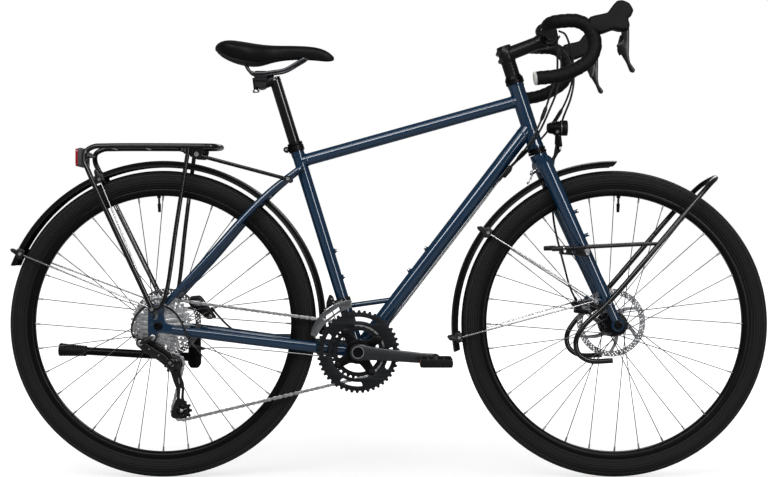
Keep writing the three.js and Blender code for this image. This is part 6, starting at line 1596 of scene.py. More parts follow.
hood_rubber = surface("hood_rubber", (12, 12, 13), (23, 23, 24), (0.46, 0.62), patch=60, grain=900,
                      bump=0.45, depth=0.00012)
lever_paint = surface("lever_black", (15, 15, 16), (30, 30, 32), (0.26, 0.4), metallic=0.35, patch=35,
                      grain=2200, bump=0.08, coat=0.3, coat_roughness=0.15)
for side, name in SIDES:
    corner = sideways(HOOD["corner"], side * HOOD["corner"].y)
    pivot = Vector((0.5105, side * 0.213, 1.0072))
    body = plate([softened(scaled(HOOD_SHARES, HOOD["length"], HOOD["height"]), 4)], corner,
                 HOOD["thick"], edge=0.0062, steps=4)
    mouth = plate([scaled(MOUTH_SHARES, 0.008, 0.008)], pivot, HOOD["mouth"], edge=0.0001)
    body = carved(body, mouth)
    ribs = [body]
    for index in range(5):
        spot = corner + Vector((0.0475 + 0.0052 * index, 0, 0.033 + 0.0058 * index))
        for face in (-1, 1):
            ribs.append(rod(spot + Vector((0.0035, face * 0.0155, -0.005)),
                            spot + Vector((-0.003, face * 0.0155, 0.002)), 0.0008, steps=8))
    fitted(ribs, f"hood_{name}_rubber", "steering", hood_rubber, f"hood_{name}", f"hood_{name}", angle=50)
    blade = plate([softened(scaled(LEVER_SHARES, 0.03, 0.093), 4)], pivot, 0.0112, edge=0.003, steps=2)
    boss = pin(pivot, -0.0058, 0.0058, 0.0078, steps=32, round_end=0.0008)
    paddle = plate([softened(scaled(PADDLE_SHARES, 0.03, 0.093), 4)], pivot - ACROSS * side * 0.0078,
                   0.003, edge=0.0009, steps=2)
    post = rod(pivot + Vector((-0.006, -side * 0.004, -0.026)),
               pivot + Vector((-0.006, -side * 0.0085, -0.026)), 0.0034, steps=16)
    fitted([blade, boss, paddle, post], f"brake_lever_{name}_cast", f"lever_{name}", lever_paint,
           f"brake_lever_{name}", f"brake_lever_{name}")

# Cables
# Braided steel wires in black plastic housings run from under the tape, round the head tube and down
# to the derailleurs and calipers. The two shift wires run bare behind their stops on the down tube.

CABLE = {"radius": 0.0025, "bare": 0.0013, "under_tube": 0.0204, "round_shell": 0.029}


def by_hand(*places):
    return [Vector(place) for place in places]


def from_bar(side, forward, out, up):
    return Vector((BAR["centre"].x + forward, side * out, BAR["centre"].z + up))


def under_tube(distance, y):
    return on_down_tube(distance) + down_tube_under * CABLE["under_tube"] + ACROSS * y


def under_shell(turn, y):
    return bottom_bracket + polar(radians(turn), CABLE["round_shell"], y)


ROUTES = {"front_brake": [from_bar(1, 0.0151, 0.08446, 0), from_bar(1, 0.0311, 0.06, -0.008)]
          + by_hand((0.424, 0.044, 0.975), (0.434, 0.033, 0.929), (0.428, 0.034, 0.885),
                    (0.408, 0.044, 0.828), (0.395, 0.06, 0.765), (0.388, 0.067, 0.7),
                    (0.388, 0.068, 0.64), (0.392, 0.066, 0.59), (0.402, 0.062, 0.54),
                    (0.414, 0.055, 0.49), (0.425, 0.048, 0.445), (0.434, 0.043, 0.421),
                    (0.4425, 0.041, 0.4054)),
          "rear_brake": [from_bar(-1, 0.0151, 0.08446, 0.005), from_bar(-1, 0.0331, 0.058, 0)]
          + by_hand((0.421, -0.04, 0.968), (0.424, -0.02, 0.924), (0.414, 0, 0.878), (0.39, 0.02, 0.83),
                    (0.356, 0.029, 0.785), (0.312, 0.027, 0.748))
          + [under_tube(*place) for place in ((0.53, 0.014), (0.45, 0.009), (0.3, 0.009), (0.15, 0.01),
                                              (0.06, 0.012))]
          + [under_shell(-40, 0.013), under_shell(-70, 0.014), under_shell(-100, 0.016)]
          + by_hand((-0.104, 0.022, 0.268), (-0.14, 0.03, 0.279), (-0.2, 0.042, 0.291),
                    (-0.27, 0.056, 0.301), (-0.33, 0.067, 0.316), (-0.372, 0.072, 0.338),
                    (-0.403, 0.069, 0.368), (-0.4197, 0.06, 0.3894)),
          "front_shift": [from_bar(1, 0.0151, 0.08446, 0.008), from_bar(1, 0.0201, 0.056, 0.006)]
          + by_hand((0.402, 0.034, 0.985), (0.402, 0.016, 0.945), (0.39, -0.004, 0.895),
                    (0.371, -0.02, 0.85), (0.35, -0.028, 0.805), (0.326, -0.029, 0.765),
                    (0.302, -0.02, 0.738))
          + [under_tube(*place) for place in ((0.53, -0.006), (0.45, 0), (0.3, 0), (0.15, 0), (0.06, 0))]
          + [under_shell(-40, 0), under_shell(-70, 0), under_shell(-100, 0), under_shell(-130, 0),
             under_shell(-155, -0.002)] + by_hand((-0.104, -0.008, 0.318), (-0.116, -0.015, 0.352),
                                                  (-0.127, -0.02, 0.376), (-0.131, -0.022, 0.392)),
          "rear_shift": [from_bar(-1, 0.0151, 0.08446, -0.007), from_bar(-1, 0.0131, 0.061, -0.014)]
          + by_hand((0.384, -0.055, 0.982), (0.384, -0.05, 0.93), (0.369, -0.042, 0.88),
                    (0.352, -0.038, 0.83), (0.328, -0.038, 0.78), (0.3, -0.03, 0.74))
          + [under_tube(*place) for place in ((0.52, -0.014), (0.45, -0.009), (0.3, -0.009),
                                              (0.15, -0.01), (0.06, -0.012))]
          + [under_shell(-40, -0.013), under_shell(-70, -0.014), under_shell(-100, -0.016)]
          + by_hand((-0.104, -0.022, 0.268), (-0.14, -0.03, 0.279), (-0.25, -0.048, 0.294),
                    (-0.38, -0.066, 0.305), (-0.428, -0.077, 0.304), (-0.446, -0.083, 0.312),
                    (-0.456, -0.083, 0.334), (-0.467, -0.078, 0.358), (-0.486, -0.065, 0.383),
                    (-0.51, -0.06, 0.398), (-0.54, -0.061, 0.402), (-0.564, -0.066, 0.39),
                    (-0.581, -0.072, 0.362), (-0.582, -0.076, 0.338), (-0.575, -0.077, 0.326))}
BARE_STRETCH = {"front_shift": (under_tube(0.515, -0.006), Vector((-0.131, -0.022, 0.392))),
                "rear_shift": (under_tube(0.505, -0.014), Vector((-0.412, -0.073, 0.3045)))}
BOOTS = {"rear_brake": (0.856, 0.812), "rear_shift": (0.86, 0.818)}
TURN_START, TURN_END = (0.33, 0, 0.76), (0.42, 0, 0.97)


def nearest(line, place):
    return min(range(len(line)), key=lambda index: (line[index] - place).length)


def cable_finish(name):
    """Black housing, with braided steel where the piece is marked bare."""
    material = surface(name, (12, 12, 13), (24, 24, 25), (0.36, 0.5), patch=40, grain=1800, bump=0.1,
                       specular=0.3)
    tree = material.node_tree
    shader = tree.nodes["Principled BSDF"]
    mark = tree.nodes.new("ShaderNodeAttribute")
    mark.attribute_name = "bare"
    bare = Signal(mark.outputs["Fac"])
    housing = Signal(shader.inputs["Base Color"].links[0].from_socket)
    tree.links.new(bare.mixed(housing, srgb(128, 129, 132)).socket, shader.inputs["Base Color"])
    tree.links.new((bare * 0.9).socket, shader.inputs["Metallic"])
    return material


boot_rubber = surface("boot_rubber", (9, 9, 10), (18, 18, 19), (0.5, 0.64), patch=50, grain=1500,
                      bump=0.2, specular=0.2)
ferrule_black = surface("ferrule_black", (18, 18, 19), (34, 34, 36), (0.24, 0.36), metallic=0.6, patch=40)
lines = {}
for name, route in ROUTES.items():
    line = lines[name] = smooth_line(route, 8)
    body = "steering" if name == "front_brake" else None
    thin = [False] * len(line)
    if name in BARE_STRETCH:
        first, last = [nearest(line, place) for place in BARE_STRETCH[name]]
        thin = [first <= index <= last for index in range(len(line))]
    share = CABLE["bare"] / CABLE["radius"]
    tube = spline(line, CABLE["radius"], smooth=False, radii=[share if bare else 1 for bare in thin],
                  steps=2)
    marks = tube.data.attributes.new("bare", "FLOAT", "POINT")
    for vertex in tube.data.vertices:
        marks.data[vertex.index].value = float(thin[nearest(line, vertex.co)])
    settled(f"{name}_cable_line", body, cable_finish(f"{name}_cable_finish"), f"{name}_cable",
            f"{name}_cable")
    extras = []
    if name in BOOTS:
        high, low = BOOTS[name]
        covered = [place for place in line if low < place.z < high and place.x > 0.3]
        swell = [1.0 if 0 < index < len(covered) - 1 else 0.66 for index in range(len(covered))]
        spline(covered, 0.0046, smooth=False, radii=swell, steps=3)
        settled(f"{name}_cable_boot", body, boot_rubber, f"{name}_cable")
        extras.append(bpy.context.object)
    if body is None:
        for piece in [tube] + extras:
            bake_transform(piece)
            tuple(TURN_START)
            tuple(TURN_END)
    reach = sum((b - a).length for a, b in zip(line, line[1:]))
    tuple(line[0])


def sleeve(name, place, before, after, radius):
    """A round sleeve along a stretch of a cable."""
    line = lines[name]
    middle = nearest(line, place)
    run = (line[middle + 1] - line[middle - 1]).normalized()
    return rod(line[middle] - run * before, line[middle] + run * after, radius, steps=20,
               round_end=0.0005)


outline = [(-0.017, -0.0035), (0.015, -0.0035), (0.016, 0.0045), (0.006, 0.0085), (-0.016, 0.007)]
stop_middle = on_down_tube(0.538) + down_tube_under * 0.0205
outline = [(down_tube_up.x * u + down_tube_under.x * v, down_tube_up.z * u + down_tube_under.z * v)
           for u, v in outline]
parts = [plate([rounded(outline, 0.002, 2)], stop_middle + ACROSS * -0.01, 0.017, edge=0.0012)]
for name, place in (("front_shift", Vector((0.3115, -0.0235, 0.747))),
                    ("rear_shift", Vector((0.305, -0.0315, 0.7455)))):
    parts.append(sleeve(name, place, 0.01, 0.0105, 0.0041))
    parts.append(sleeve(name, place, 0.0, 0.019, 0.0034))
parts.append(sleeve("rear_shift", Vector((-0.428, -0.077, 0.304)), 0.009, 0.007, 0.0033))
parts.append(sleeve("rear_shift", lines["rear_shift"][-2], 0.006, 0.001, 0.0033))
for turn in (-60, -90, -118):
    parts.append(rod(under_shell(turn, -0.02) + polar(radians(turn), -0.0045), under_shell(turn, 0.02)
                     + polar(radians(turn), -0.0045), 0.004, steps=14, round_end=0.0008))
parts.append(sleeve("rear_brake", lines["rear_brake"][-2], 0.008, 0.001, 0.0034))
fitted(parts, "cable_stops", "frame", ferrule_black, "rear_shift_cable")
sleeve("front_brake", lines["front_brake"][-2], 0.008, 0.001, 0.0034)
settled("front_cable_ferrule", "steering", ferrule_black, "front_brake_cable")

# Fenders
# Long guards rolled from black plastic sheet, with a soft crown and turned edges, held by a strap on the
# fork crown or by the seatstays' bridge, and at their ends by polished wire stays in plastic clips.

FENDER = {"radius": 0.378, "half": 0.027, "depth": 0.015, "wall": 0.0016}
FENDER_SHARES = [(-1, -1), (-0.93, -0.62), (-0.78, -0.3), (-0.45, -0.09), (0, 0), (0.45, -0.09),
                 (0.78, -0.3), (0.93, -0.62), (1, -1)]
GUARDS = {"rear": (-4, 159, 0.5, 0.8), "front": (89, 190, 2.2, 0.8)}


def guard(wheel, start, end, start_cut, end_cut):
    """A curved guard, built ring by ring round a wheel, with its two ends cut at a slant."""
    outer = [(y * FENDER["half"], FENDER["radius"] + r * FENDER["depth"], -r) for y, r in FENDER_SHARES]
    inner = [(y * (1 - FENDER["wall"] / FENDER["half"]), r - FENDER["wall"] * (1 if depth < 0.9 else 0),
              depth) for y, r, depth in reversed(outer)]
    mesh, rings = bmesh.new(), []
    count = round((end - start) / 1.6)
    for station in range(count + 1):
        near_start, near_end = max(0, 1 - station / 2), max(0, 1 - (count - station) / 2)
        ring = []
        for y, radius, depth in outer + inner:
            turn = start + (end - start) * station / count
            turn += start_cut * depth * near_start
            turn -= end_cut * depth * near_end
            ring.append(mesh.verts.new(wheel + polar(radians(turn), radius, y)))
        rings.append(ring)
    lofted(mesh, rings)
    last = len(rings[0]) - 1
    for ring in (rings[0], rings[-1]):
        for step in range(last // 2):
            mesh.faces.new((ring[step], ring[step + 1], ring[last - 1 - step], ring[last - step]))
    return skinned("guard", mesh)


fender_black = surface("fender_black", (11, 11, 12), (19, 19, 20), (0.3, 0.42), patch=9, grain=1600,
                       bump=0.06)
stay_steel = surface("stay_steel", (150, 151, 153), (196, 197, 199), (0.2, 0.32), metallic=1.0, patch=30)
clip_black = surface("clip_black", (11, 11, 12), (22, 22, 23), (0.38, 0.52), patch=60, grain=1500,
                     specular=0.3)
STAYS = {"rear": (153.4, 113.1, Vector((-0.534, 0.081, 0.393))),
         "front": (144.4, 184.8, Vector((0.47, 0.069, 0.411)))}
CLIP_SHARES = [(-0.011, -0.007), (0.01, -0.008), (0.0125, 0.004), (0.0065, 0.0095), (0.005, 0.021),
               (0.001, 0.026), (-0.0035, 0.022), (-0.0045, 0.011), (-0.012, 0.008)]
for name, (start, end, start_cut, end_cut) in GUARDS.items():
    body = "frame" if name == "rear" else "steering"
    wheel = WHEELS[name]
    guard(wheel, start, end, start_cut, end_cut)
    settled(f"{name}_fender_rolled", body, fender_black, f"{name}_fender", f"{name}_fender", angle=50)
    wires, clips, bolts = [], [], []
    *angles, eye = STAYS[name]
    for side in (-1, 1):
        foot = sideways(eye, side * eye.y)
        for turn in angles:
            tip = wheel + polar(radians(turn), 0.3589, side * 0.0295)
            inward = wheel + polar(radians(turn), 0.3589, side * 0.0228)
            near = foot + (tip - foot).normalized() * 0.007
            wires.append(spline([inward, tip.lerp(inward, 0.25), tip.lerp(foot, 0.012), near, foot],
                                0.0019, smooth=False, steps=3))
            out, aside = polar(radians(turn), 1), polar(radians(turn + 90), 1)
            outline = [(aside.x * a + out.x * b, aside.z * a + out.z * b) for a, b in CLIP_SHARES]
            middle = wheel + polar(radians(turn), 0.3625, side * 0.03)
            clips.append(plate([rounded(outline, 0.002, 2)], middle, 0.0072, edge=0.0014))
            clips.append(pin(middle, side * 0.001, side * 0.0056, 0.0056, steps=18, round_end=0.0008))
            bolts.append(screw(middle + ACROSS * side * 0.0055, ACROSS * side, 0.004, 0.0014))
        wires.append(bored(foot - ACROSS * 0.0022, foot + ACROSS * 0.0022, 0.0062, 0.003))
        bolts.append(screw(foot + ACROSS * side * 0.0022, ACROSS * side, 0.0044, 0.0022))
        bolts.append(pin(foot, side * -0.0035, side * 0.0018, 0.0029, steps=14))
    fitted(wires, f"{name}_fender_wires", body, stay_steel, f"{name}_fender_stays",
           f"{name}_fender_stays")
    fitted(clips, f"{name}_fender_clips", body, clip_black, f"{name}_fender")
    fitted(bolts, f"{name}_fender_bolts", body, bolt_steel, f"{name}_fender_stays")

crown_front = crown_place + Vector((0.0185, 0, -0.0045))
crown_rear = crown_place + Vector((-0.0215, 0, -0.0205))
guard_top = WHEELS["front"] + polar(radians(120.6), 0.3795)
strap = [crown_rear + Vector((-0.003, 0, 0.0055)), crown_rear + Vector((-0.0035, 0, -0.006)),
         guard_top + Vector((-0.001, 0, 0.006)), guard_top + Vector((-0.0075, 0, -0.002))]
plates = []
for a, b in zip(strap, strap[1:]):
    run = (b - a).normalized()
    off = run.cross(ACROSS) * 0.0016
    ends = [a - run * 0.001, b + run * 0.001]
    outline = [ends[0] + off, ends[1] + off, ends[1] - off, ends[0] - off]
    plates.append(plate([[(corner.x - a.x, corner.z - a.z) for corner in outline]], sideways(a, 0), 0.014,
                        edge=0.0003))
plates.append(rod(crown_rear + Vector((-0.0035, 0, 0.0005)), crown_place + Vector((-0.011, 0, -0.01)),
                  0.005, steps=20))
plates.append(screw(crown_rear + Vector((-0.0042, 0, 0.0005)), Vector((-0.96, 0, 0.28)), 0.0056, 0.003))
plates.append(screw(crown_front + Vector((0.0036, 0, 0)), Vector((0.96, 0, -0.28)), 0.006, 0.0034))
plates.append(screw(guard_top + Vector((-0.005, 0, 0.001)), polar(radians(121), 1), 0.0046, 0.0024))
fitted(plates, "front_fender_bracket", "steering", bolt_steel, "front_fender_stays")

# Rear rack and reflector
# One bent steel tube runs from dropout to dropout round the deck, with welded slats, front legs and two
# struts to the seatstays, all in black gloss enamel. A moulded reflector is bolted to its rear bar.

enamel = surface("rack_enamel", (10, 10, 11), (17, 17, 18), (0.2, 0.28), patch=12, grain=1800, bump=0.01,
                 coat=0.6, coat_roughness=0.04)
deck_bend = [(-0.534, 0.09, 0.393), (-0.685, 0.064, 0.71), (-0.694, 0.058, 0.734), (-0.691, 0.052, 0.752),
             (-0.673, 0.052, 0.7625), (-0.652, 0.052, 0.764), (-0.433, 0.052, 0.764),
             (-0.403, 0.0442, 0.764), (-0.391, 0.0208, 0.764)]
hoop = [Vector((x, -y, z)) for x, y, z in deck_bend] + [Vector(place) for place in reversed(deck_bend)]
parts = [spline(smooth_line(hoop, 6), 0.006, smooth=False, steps=4)]
for x in (-0.6395, -0.5607, -0.4789):
    parts.append(rod(Vector((x, -0.049, 0.764)), Vector((x, 0.049, 0.764)), 0.004, steps=16))
parts.append(rod(Vector((-0.694, -0.056, 0.746)), Vector((-0.694, 0.056, 0.746)), 0.004, steps=16))
bolts = []
for side in (-1, 1):
    foot, top = Vector((-0.534, side * 0.09, 0.393)), Vector((-0.457, side * 0.052, 0.7625))
    knee = Vector((-0.507, side * 0.09, 0.404))
    parts.append(spline(smooth_line([top, top.lerp(knee, 0.5), top.lerp(knee, 0.95), knee.lerp(foot, 0.3),
                                     foot], 6), 0.005, smooth=False, steps=4))
    parts.append(pin(foot, side * -0.0048, side * 0.0048, 0.0086, steps=32, round_end=0.0008))
    bolts.append(screw(foot + ACROSS * side * 0.0046, ACROSS * side, 0.0046, 0.0026))
    strut, seat = Vector((-0.44, side * 0.046, 0.745)), Vector((-0.2312, side * 0.0405, 0.6895))
    run = (seat - strut).normalized()
    parts.append(spline([strut - run * 0.044, seat - run * 0.012, seat], 0.0035, smooth=False, steps=3))
    lug = [(-0.015, -0.01), (0.01, -0.012), (0.017, 0.006), (0.014, 0.016), (-0.012, 0.016)]
    parts.append(plate([rounded(lug, 0.004, 3)], strut + Vector((0, side * 0.0045, 0.004)), 0.003,
                       edge=0.0006))
    parts.append(pin(seat, -0.0032, 0.0032, 0.0066, steps=24, round_end=0.0006))
    bolts.append(screw(strut + Vector((0.001, side * 0.0062, 0)), ACROSS * side, 0.0062, 0.003, 0.45))
    bolts.append(screw(seat + ACROSS * side * 0.0031, ACROSS * side, 0.0048, 0.0026))
    for x, z, radius in ((-0.694, 0.746, 0.0052), (-0.6395, 0.764, 0.005), (-0.5607, 0.764, 0.005)):
        bead = Vector((x, side * 0.0475, z))
        parts.append(pin(bead, -0.002, 0.002, radius, steps=16, round_end=0.0012))
fitted(parts, "rear_rack_tubes", "frame", enamel, "rear_rack", "rear_rack")
fitted(bolts, "rear_rack_bolts", "frame", bolt_steel, "rear_rack")

LENS = {"back": -0.703, "seam": -0.7115, "face": -0.7185, "half": 0.0435, "low": 0.717, "high": 0.761}
reflector_grey = surface("reflector_grey", (70, 72, 73), (96, 98, 99), (0.42, 0.56), patch=40, grain=1400)
reflector_red = surface("reflector_red", (150, 10, 30), (196, 22, 44), (0.12, 0.2), patch=60, coat=0.8,
                        coat_roughness=0.05)
tree = reflector_red.node_tree
place = Signal(next(node for node in tree.nodes
                    if node.bl_idname == "ShaderNodeTexCoord").outputs["Object"])
cells = place.node("ShaderNodeTexVoronoi", {"distance": "CHEBYCHEV"},
                   {"Vector": place, "Scale": 330.0, "Randomness": 0.0})
prisms = place.node("ShaderNodeBump", None, {"Strength": 0.6, "Distance": 0.0006, "Height": cells})
tree.links.new(prisms.socket, tree.nodes["Principled BSDF"].inputs["Normal"])


def rounded_block(front, back, half, low, high, corner, material, name, edge=0.0016):
    """A block with round corners seen from behind, standing across the bike."""
    wide, tall = half, (high - low) / 2
    plate([rounded(oblong(0, wide, tall), corner, 5)], Vector((0, 0, 0)), abs(back - front), edge=edge,
          steps=2)
    piece = bpy.context.object
    piece.matrix_world = Matrix.Translation(((front + back) / 2, 0,
                                             (low + high) / 2)) @ Matrix.Rotation(pi / 2, 4, "Z")
    settled(name, "frame", material, "rear_reflector")
    return piece


rounded_block(LENS["face"], LENS["seam"], LENS["half"] - 0.0016, LENS["low"] + 0.0014,
              LENS["high"] - 0.0014, 0.008, reflector_red, "reflector_lens")
shell_back = rounded_block(LENS["seam"] - 0.0012, LENS["back"], LENS["half"], LENS["low"], LENS["high"],
                           0.009, reflector_grey, "reflector_shell", edge=0.0024)
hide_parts("rear_reflector")
bracket = [rod(Vector((-0.704, side * 0.016, 0.746)), Vector((-0.6925, side * 0.016, 0.746)), 0.0062,
               steps=20, round_end=0.0008) for side in (-1, 1)]
fitted(bracket, "reflector_clamps", "frame", clip_black, "rear_reflector")

# Low-rider rack
# A bent tube on each side of the front wheel, joined over the tyre, carries bags low. It is bolted
# to two bosses on each fork blade and braced by a rod that ends in a rubber plug.

LOW_RIDER_SHARES = [(0.25, 0, 1), (0.09, 0, 1), (0.015, 0.04, 1), (0, 0.11, 1), (0.055, 0.19, 1),
                    (0.215, 0.31, 1), (0.57, 0.635, 0.98), (0.79, 0.84, 0.88), (0.94, 0.965, 0.6),
                    (1, 1, 0.2)]
half_hoop = [Vector((0.424 + 0.331 * x, -0.077 * y, 0.276 + 0.416 * z)) for x, z, y in LOW_RIDER_SHARES]
hoop = half_hoop + [sideways(place, -place.y) for place in reversed(half_hoop)]
parts = [spline(smooth_line(hoop, 6), 0.006, smooth=False, steps=4)]
bolts, plugs = [], []
ROD_NUT_SHAPE = [(0.0042, 0), (0.0066, 0), (0.0068, 0.0022), (0.0042, 0.0022)]
for side in (-1, 1):
    rear_end, front_end = Vector((0.369, side * 0.077, 0.529)), Vector((0.61, side * 0.077, 0.541))
    parts.append(rod(rear_end + (front_end - rear_end).normalized() * 0.004, front_end, 0.004, steps=18))
    run = (front_end - rear_end).normalized()
    plugs.append(rod(rear_end, rear_end + run * 0.024, 0.0056, 0.006, steps=24, round_end=0.001))
    bolts.append(turned(ROD_NUT_SHAPE, rear_end + run * 0.0255, run, 24))
    for distance in (0.18, 0.056):
        boss = front_axle + blade_up * distance
        boss = sideways(boss, side * 0.077)
        if distance > 0.1:
            tab = [(-0.044, -0.004), (0.002, -0.008), (0.0075, 0.0), (0.006, 0.01), (-0.006, 0.014),
                   (-0.044, 0.01)]
            hole = circle(0.0032, 10, (-0.03, 0.003))
            parts.append(plate([rounded(tab, 0.003, 3), hole], boss, 0.0038, edge=0.0008))
        parts.append(pin(boss, side * -0.0185, side * 0.0005, 0.0048, steps=20, round_end=0.0005))
        bolts.append(screw(boss + ACROSS * side * 0.0018, ACROSS * side, 0.005, 0.0028))
fitted(parts, "low_rider_tubes", "steering", enamel, "low_rider_rack", "low_rider_rack")
bolts += [screw(eye, EYE_OUT, 0.0048, 0.0026) for eye in fork_eyes]
fitted(bolts, "low_rider_bolts", "steering", bolt_steel, "low_rider_rack")
fitted(plugs, "low_rider_plugs", "steering", clip_black, "low_rider_rack")

# Headlight
# A moulded lamp with cooling ribs and a clear lens, held by a forked bracket on the crown bolt;
# two thin leads run from its plug to the crown.

LAMP_BACK = Vector((0.3671, 0, 0.80895))
forward = Vector((1, 0, 0))
lamp_black = surface("lamp_black", (14, 14, 15), (28, 28, 30), (0.3, 0.44), metallic=0.3, patch=50,
                     grain=1500)
lamp_grey = surface("lamp_grey", (92, 94, 96), (122, 124, 126), (0.24, 0.36), metallic=0.7, patch=50)
profile = [(0, 0), (0.0085, 0), (0.0105, 0.0012), (0.0118, 0.005)]
for index in range(6):
    step = 0.007 + 0.0036 * index
    profile += [(0.0134 + 0.0006 * index, step), (0.0138 + 0.0006 * index, step + 0.0016),
                (0.0122 + 0.0006 * index, step + 0.002), (0.0122 + 0.0006 * index, step + 0.0032)]
profile += [(0.0172, 0.0305), (0.018, 0.033), (0.018, 0.0455), (0.0176, 0.047), (0.016, 0.047),
            (0.0156, 0.044), (0.015, 0.04), (0.008, 0.035), (0, 0.034)]
lamp_parts = [turned(profile, LAMP_BACK, forward, 48)]
yoke_foot, yoke_mid = Vector((0.3806, 0, 0.7345)), Vector((0.3926, 0, 0.756))
for side in (-1, 1):
    arm = [yoke_mid + ACROSS * side * 0.0045, Vector((0.3935, side * 0.0125, 0.779)),
           Vector((0.3895, side * 0.0165, 0.799))]
    lamp_parts.append(spline(arm, 0.003, steps=3))
    lamp_parts.append(pin(arm[-1], side * -0.003, side * 0.0012, 0.0062, steps=24, round_end=0.0006))
lamp_parts.append(spline([crown_place + Vector((0.0215, 0, 0.006)), yoke_foot, yoke_mid], 0.0042,
                         steps=3))
lamp_parts.append(pin(yoke_mid, -0.0075, 0.0075, 0.0052, steps=20, round_end=0.0006))
lamp_parts.append(rod(Vector((0.396, 0.0, 0.7915)), Vector((0.4, 0, 0.766)), 0.0046, 0.0034, steps=20,
                      round_end=0.0006))
lamp_parts.append(rod(Vector((0.389, -0.004, 0.793)), Vector((0.3875, -0.004, 0.77)), 0.0036, 0.003,
                      steps=18, round_end=0.0006))
fitted(lamp_parts, "headlight_body", "steering", lamp_black, "headlight", "headlight")
ring_start = LAMP_BACK + forward * 0.0312
LAMP_RING_SHAPE = [(0.0172, 0), (0.0183, 0.0004), (0.0183, 0.0022), (0.0172, 0.0026)]
LAMP_BOWL_SHAPE = [(0.0, 0), (0.015, 0.006), (0.0157, 0.0072), (0.0148, 0.0068), (0, 0.0004)]
grey_parts = [turned(LAMP_RING_SHAPE, ring_start, forward, 48),
              turned(LAMP_BOWL_SHAPE, LAMP_BACK + forward * 0.0346, forward, 48)]
for side in (-1, 1):
    grey_parts.append(screw(Vector((0.3895, side * 0.0176, 0.799)), ACROSS * side, 0.0036, 0.0014))
fitted(grey_parts, "headlight_trim", "steering", lamp_grey, "headlight")
lens_clear = surface("lens_clear", (226, 230, 233), (238, 241, 243), (0.04, 0.08), patch=20, coat=0.5)
lens_shader = lens_clear.node_tree.nodes["Principled BSDF"]
lens_shader.inputs["Transmission Weight"].default_value = 0.85
LENS_SHAPE = [(0, 0.0036), (0.008, 0.003), (0.0152, 0.0012), (0.0156, 0), (0, 0)]
turned(LENS_SHAPE, LAMP_BACK + forward * 0.0432, forward, 40)
settled("headlight_lens", "steering", lens_clear, "headlight")
lead_finish = surface("lead_black", (12, 12, 13), (20, 20, 21), (0.4, 0.5), patch=40, specular=0.3)
for index, start in enumerate((Vector((0.3998, 0, 0.7672)), Vector((0.3876, -0.004, 0.7712)))):
    route = [start, start + Vector((-0.001, 0, -0.011)), Vector((0.39, -0.003 - 0.002 * index, 0.748)),
             Vector((0.385, -0.008 - 0.002 * index, 0.74)),
             Vector((0.379, -0.0105 - 0.002 * index, 0.736)),
             Vector((0.3745, -0.011 - 0.002 * index, 0.7335))]
    line = smooth_line(route, 5)
    lead = spline(line, 0.0009, smooth=False, steps=2)
    settled(f"headlight_lead_{index}", "steering", lead_finish, "headlight")
    reach = sum((b - a).length for a, b in zip(line, line[1:]))
    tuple(line[0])

# Kickstand
# A black cast lug under the left chainstay carries a forged aluminium leg, folded back, with a ribbed
# rubber foot. The lug belongs to the frame, and the leg turns on its boss.

STAND_AHEAD, STAND_BELOW = 0.062, 0.095
STAND_SHARES = [(-0.0125, 0.0756), (0.0146, 0.0756), (0.016, -0.0042), (0.009, -0.015), (-0.009, -0.015),
                (-0.016, -0.0042)]
stand_pivot = rear_axle + Vector((STAND_AHEAD, 0, -STAND_BELOW))
stand_hub = Vector(joint["kickstand_swing"]["pos_m"])
stand_axis = -Vector(joint["kickstand_swing"]["axis"])
lug = plate([rounded(STAND_SHARES, 0.004)], stand_pivot + ACROSS * dropout_middle,
            DROPOUT_THICKNESS + 0.001, edge=0.0012)
boss = rod(stand_hub + stand_axis * -0.003, stand_hub + stand_axis * 0.0087, 0.0134, round_end=0.0006)
fitted([lug, boss], "kickstand_lug", "frame", black_anodised, "chainstay_left")

LEG = {"place": Vector((-0.461, 0.077, 0.26)), "axis": Vector((0, cos(radians(30)), sin(radians(30))))}
knuckle = LEG["place"] + LEG["axis"] * 0.009
leg_root = LEG["place"] + LEG["axis"] * 0.018
leg_tip = leg_root + Vector((-0.318, 0, 0.018))
leg_run = (leg_tip - leg_root).normalized()
STAND_KNUCKLE_SHAPE = [(0, 0), (0.0128, 0), (0.014, 0.0012), (0.014, 0.0165), (0.0126, 0.018),
                       (0.0075, 0.018), (0.007, 0.0168), (0, 0.0168)]
fitted([turned(STAND_KNUCKLE_SHAPE, knuckle, LEG["axis"], 40),
        rod(leg_root - leg_run * 0.002, leg_root + leg_run * 0.04, 0.0112, 0.0098, steps=28),
        rod(leg_root + leg_run * 0.038, leg_tip - leg_run * 0.04, 0.0098, 0.0096, steps=28)],
       "kickstand_forged", "kickstand", black_anodised, "kickstand_leg", "kickstand_leg")
foot_start = leg_tip - leg_run * 0.058
profile = [(0.0096, 0), (0.0118, 0.0006), (0.0128, 0.002)]
for index in range(9):
    step = 0.006 + 0.006 * index
    profile += [(0.013 + 0.0003 * index, step), (0.012 + 0.0003 * index, step + 0.001),
                (0.012 + 0.0003 * index, step + 0.0026), (0.0132 + 0.0003 * index, step + 0.0036)]
turned(profile + [(0.0158, 0.062), (0.015, 0.065), (0.012, 0.066), (0, 0.066)], foot_start, leg_run, 32)
settled("kickstand_foot", "kickstand", boot_rubber, "kickstand_leg")
screw(knuckle + LEG["axis"] * 0.017, LEG["axis"], 0.0052, 0.0022)
settled("kickstand_bolt", "kickstand", bolt_steel, "kickstand_leg")

# Seatpost
# An aluminium tube with a forged head; two curved clamp blocks hold the saddle rails between them
# and one bolt from below draws them together.

post_top = on_seat_tube(0.658)
SADDLE = {"length": 0.274, "behind": 0.1364, "half": 0.074, "height": 0.057, "over": 0.0874}


def on_saddle(share, height, y):
    return post_top + Vector((share * SADDLE["length"] - SADDLE["behind"], y,
                              SADDLE["over"] - height * SADDLE["height"]))


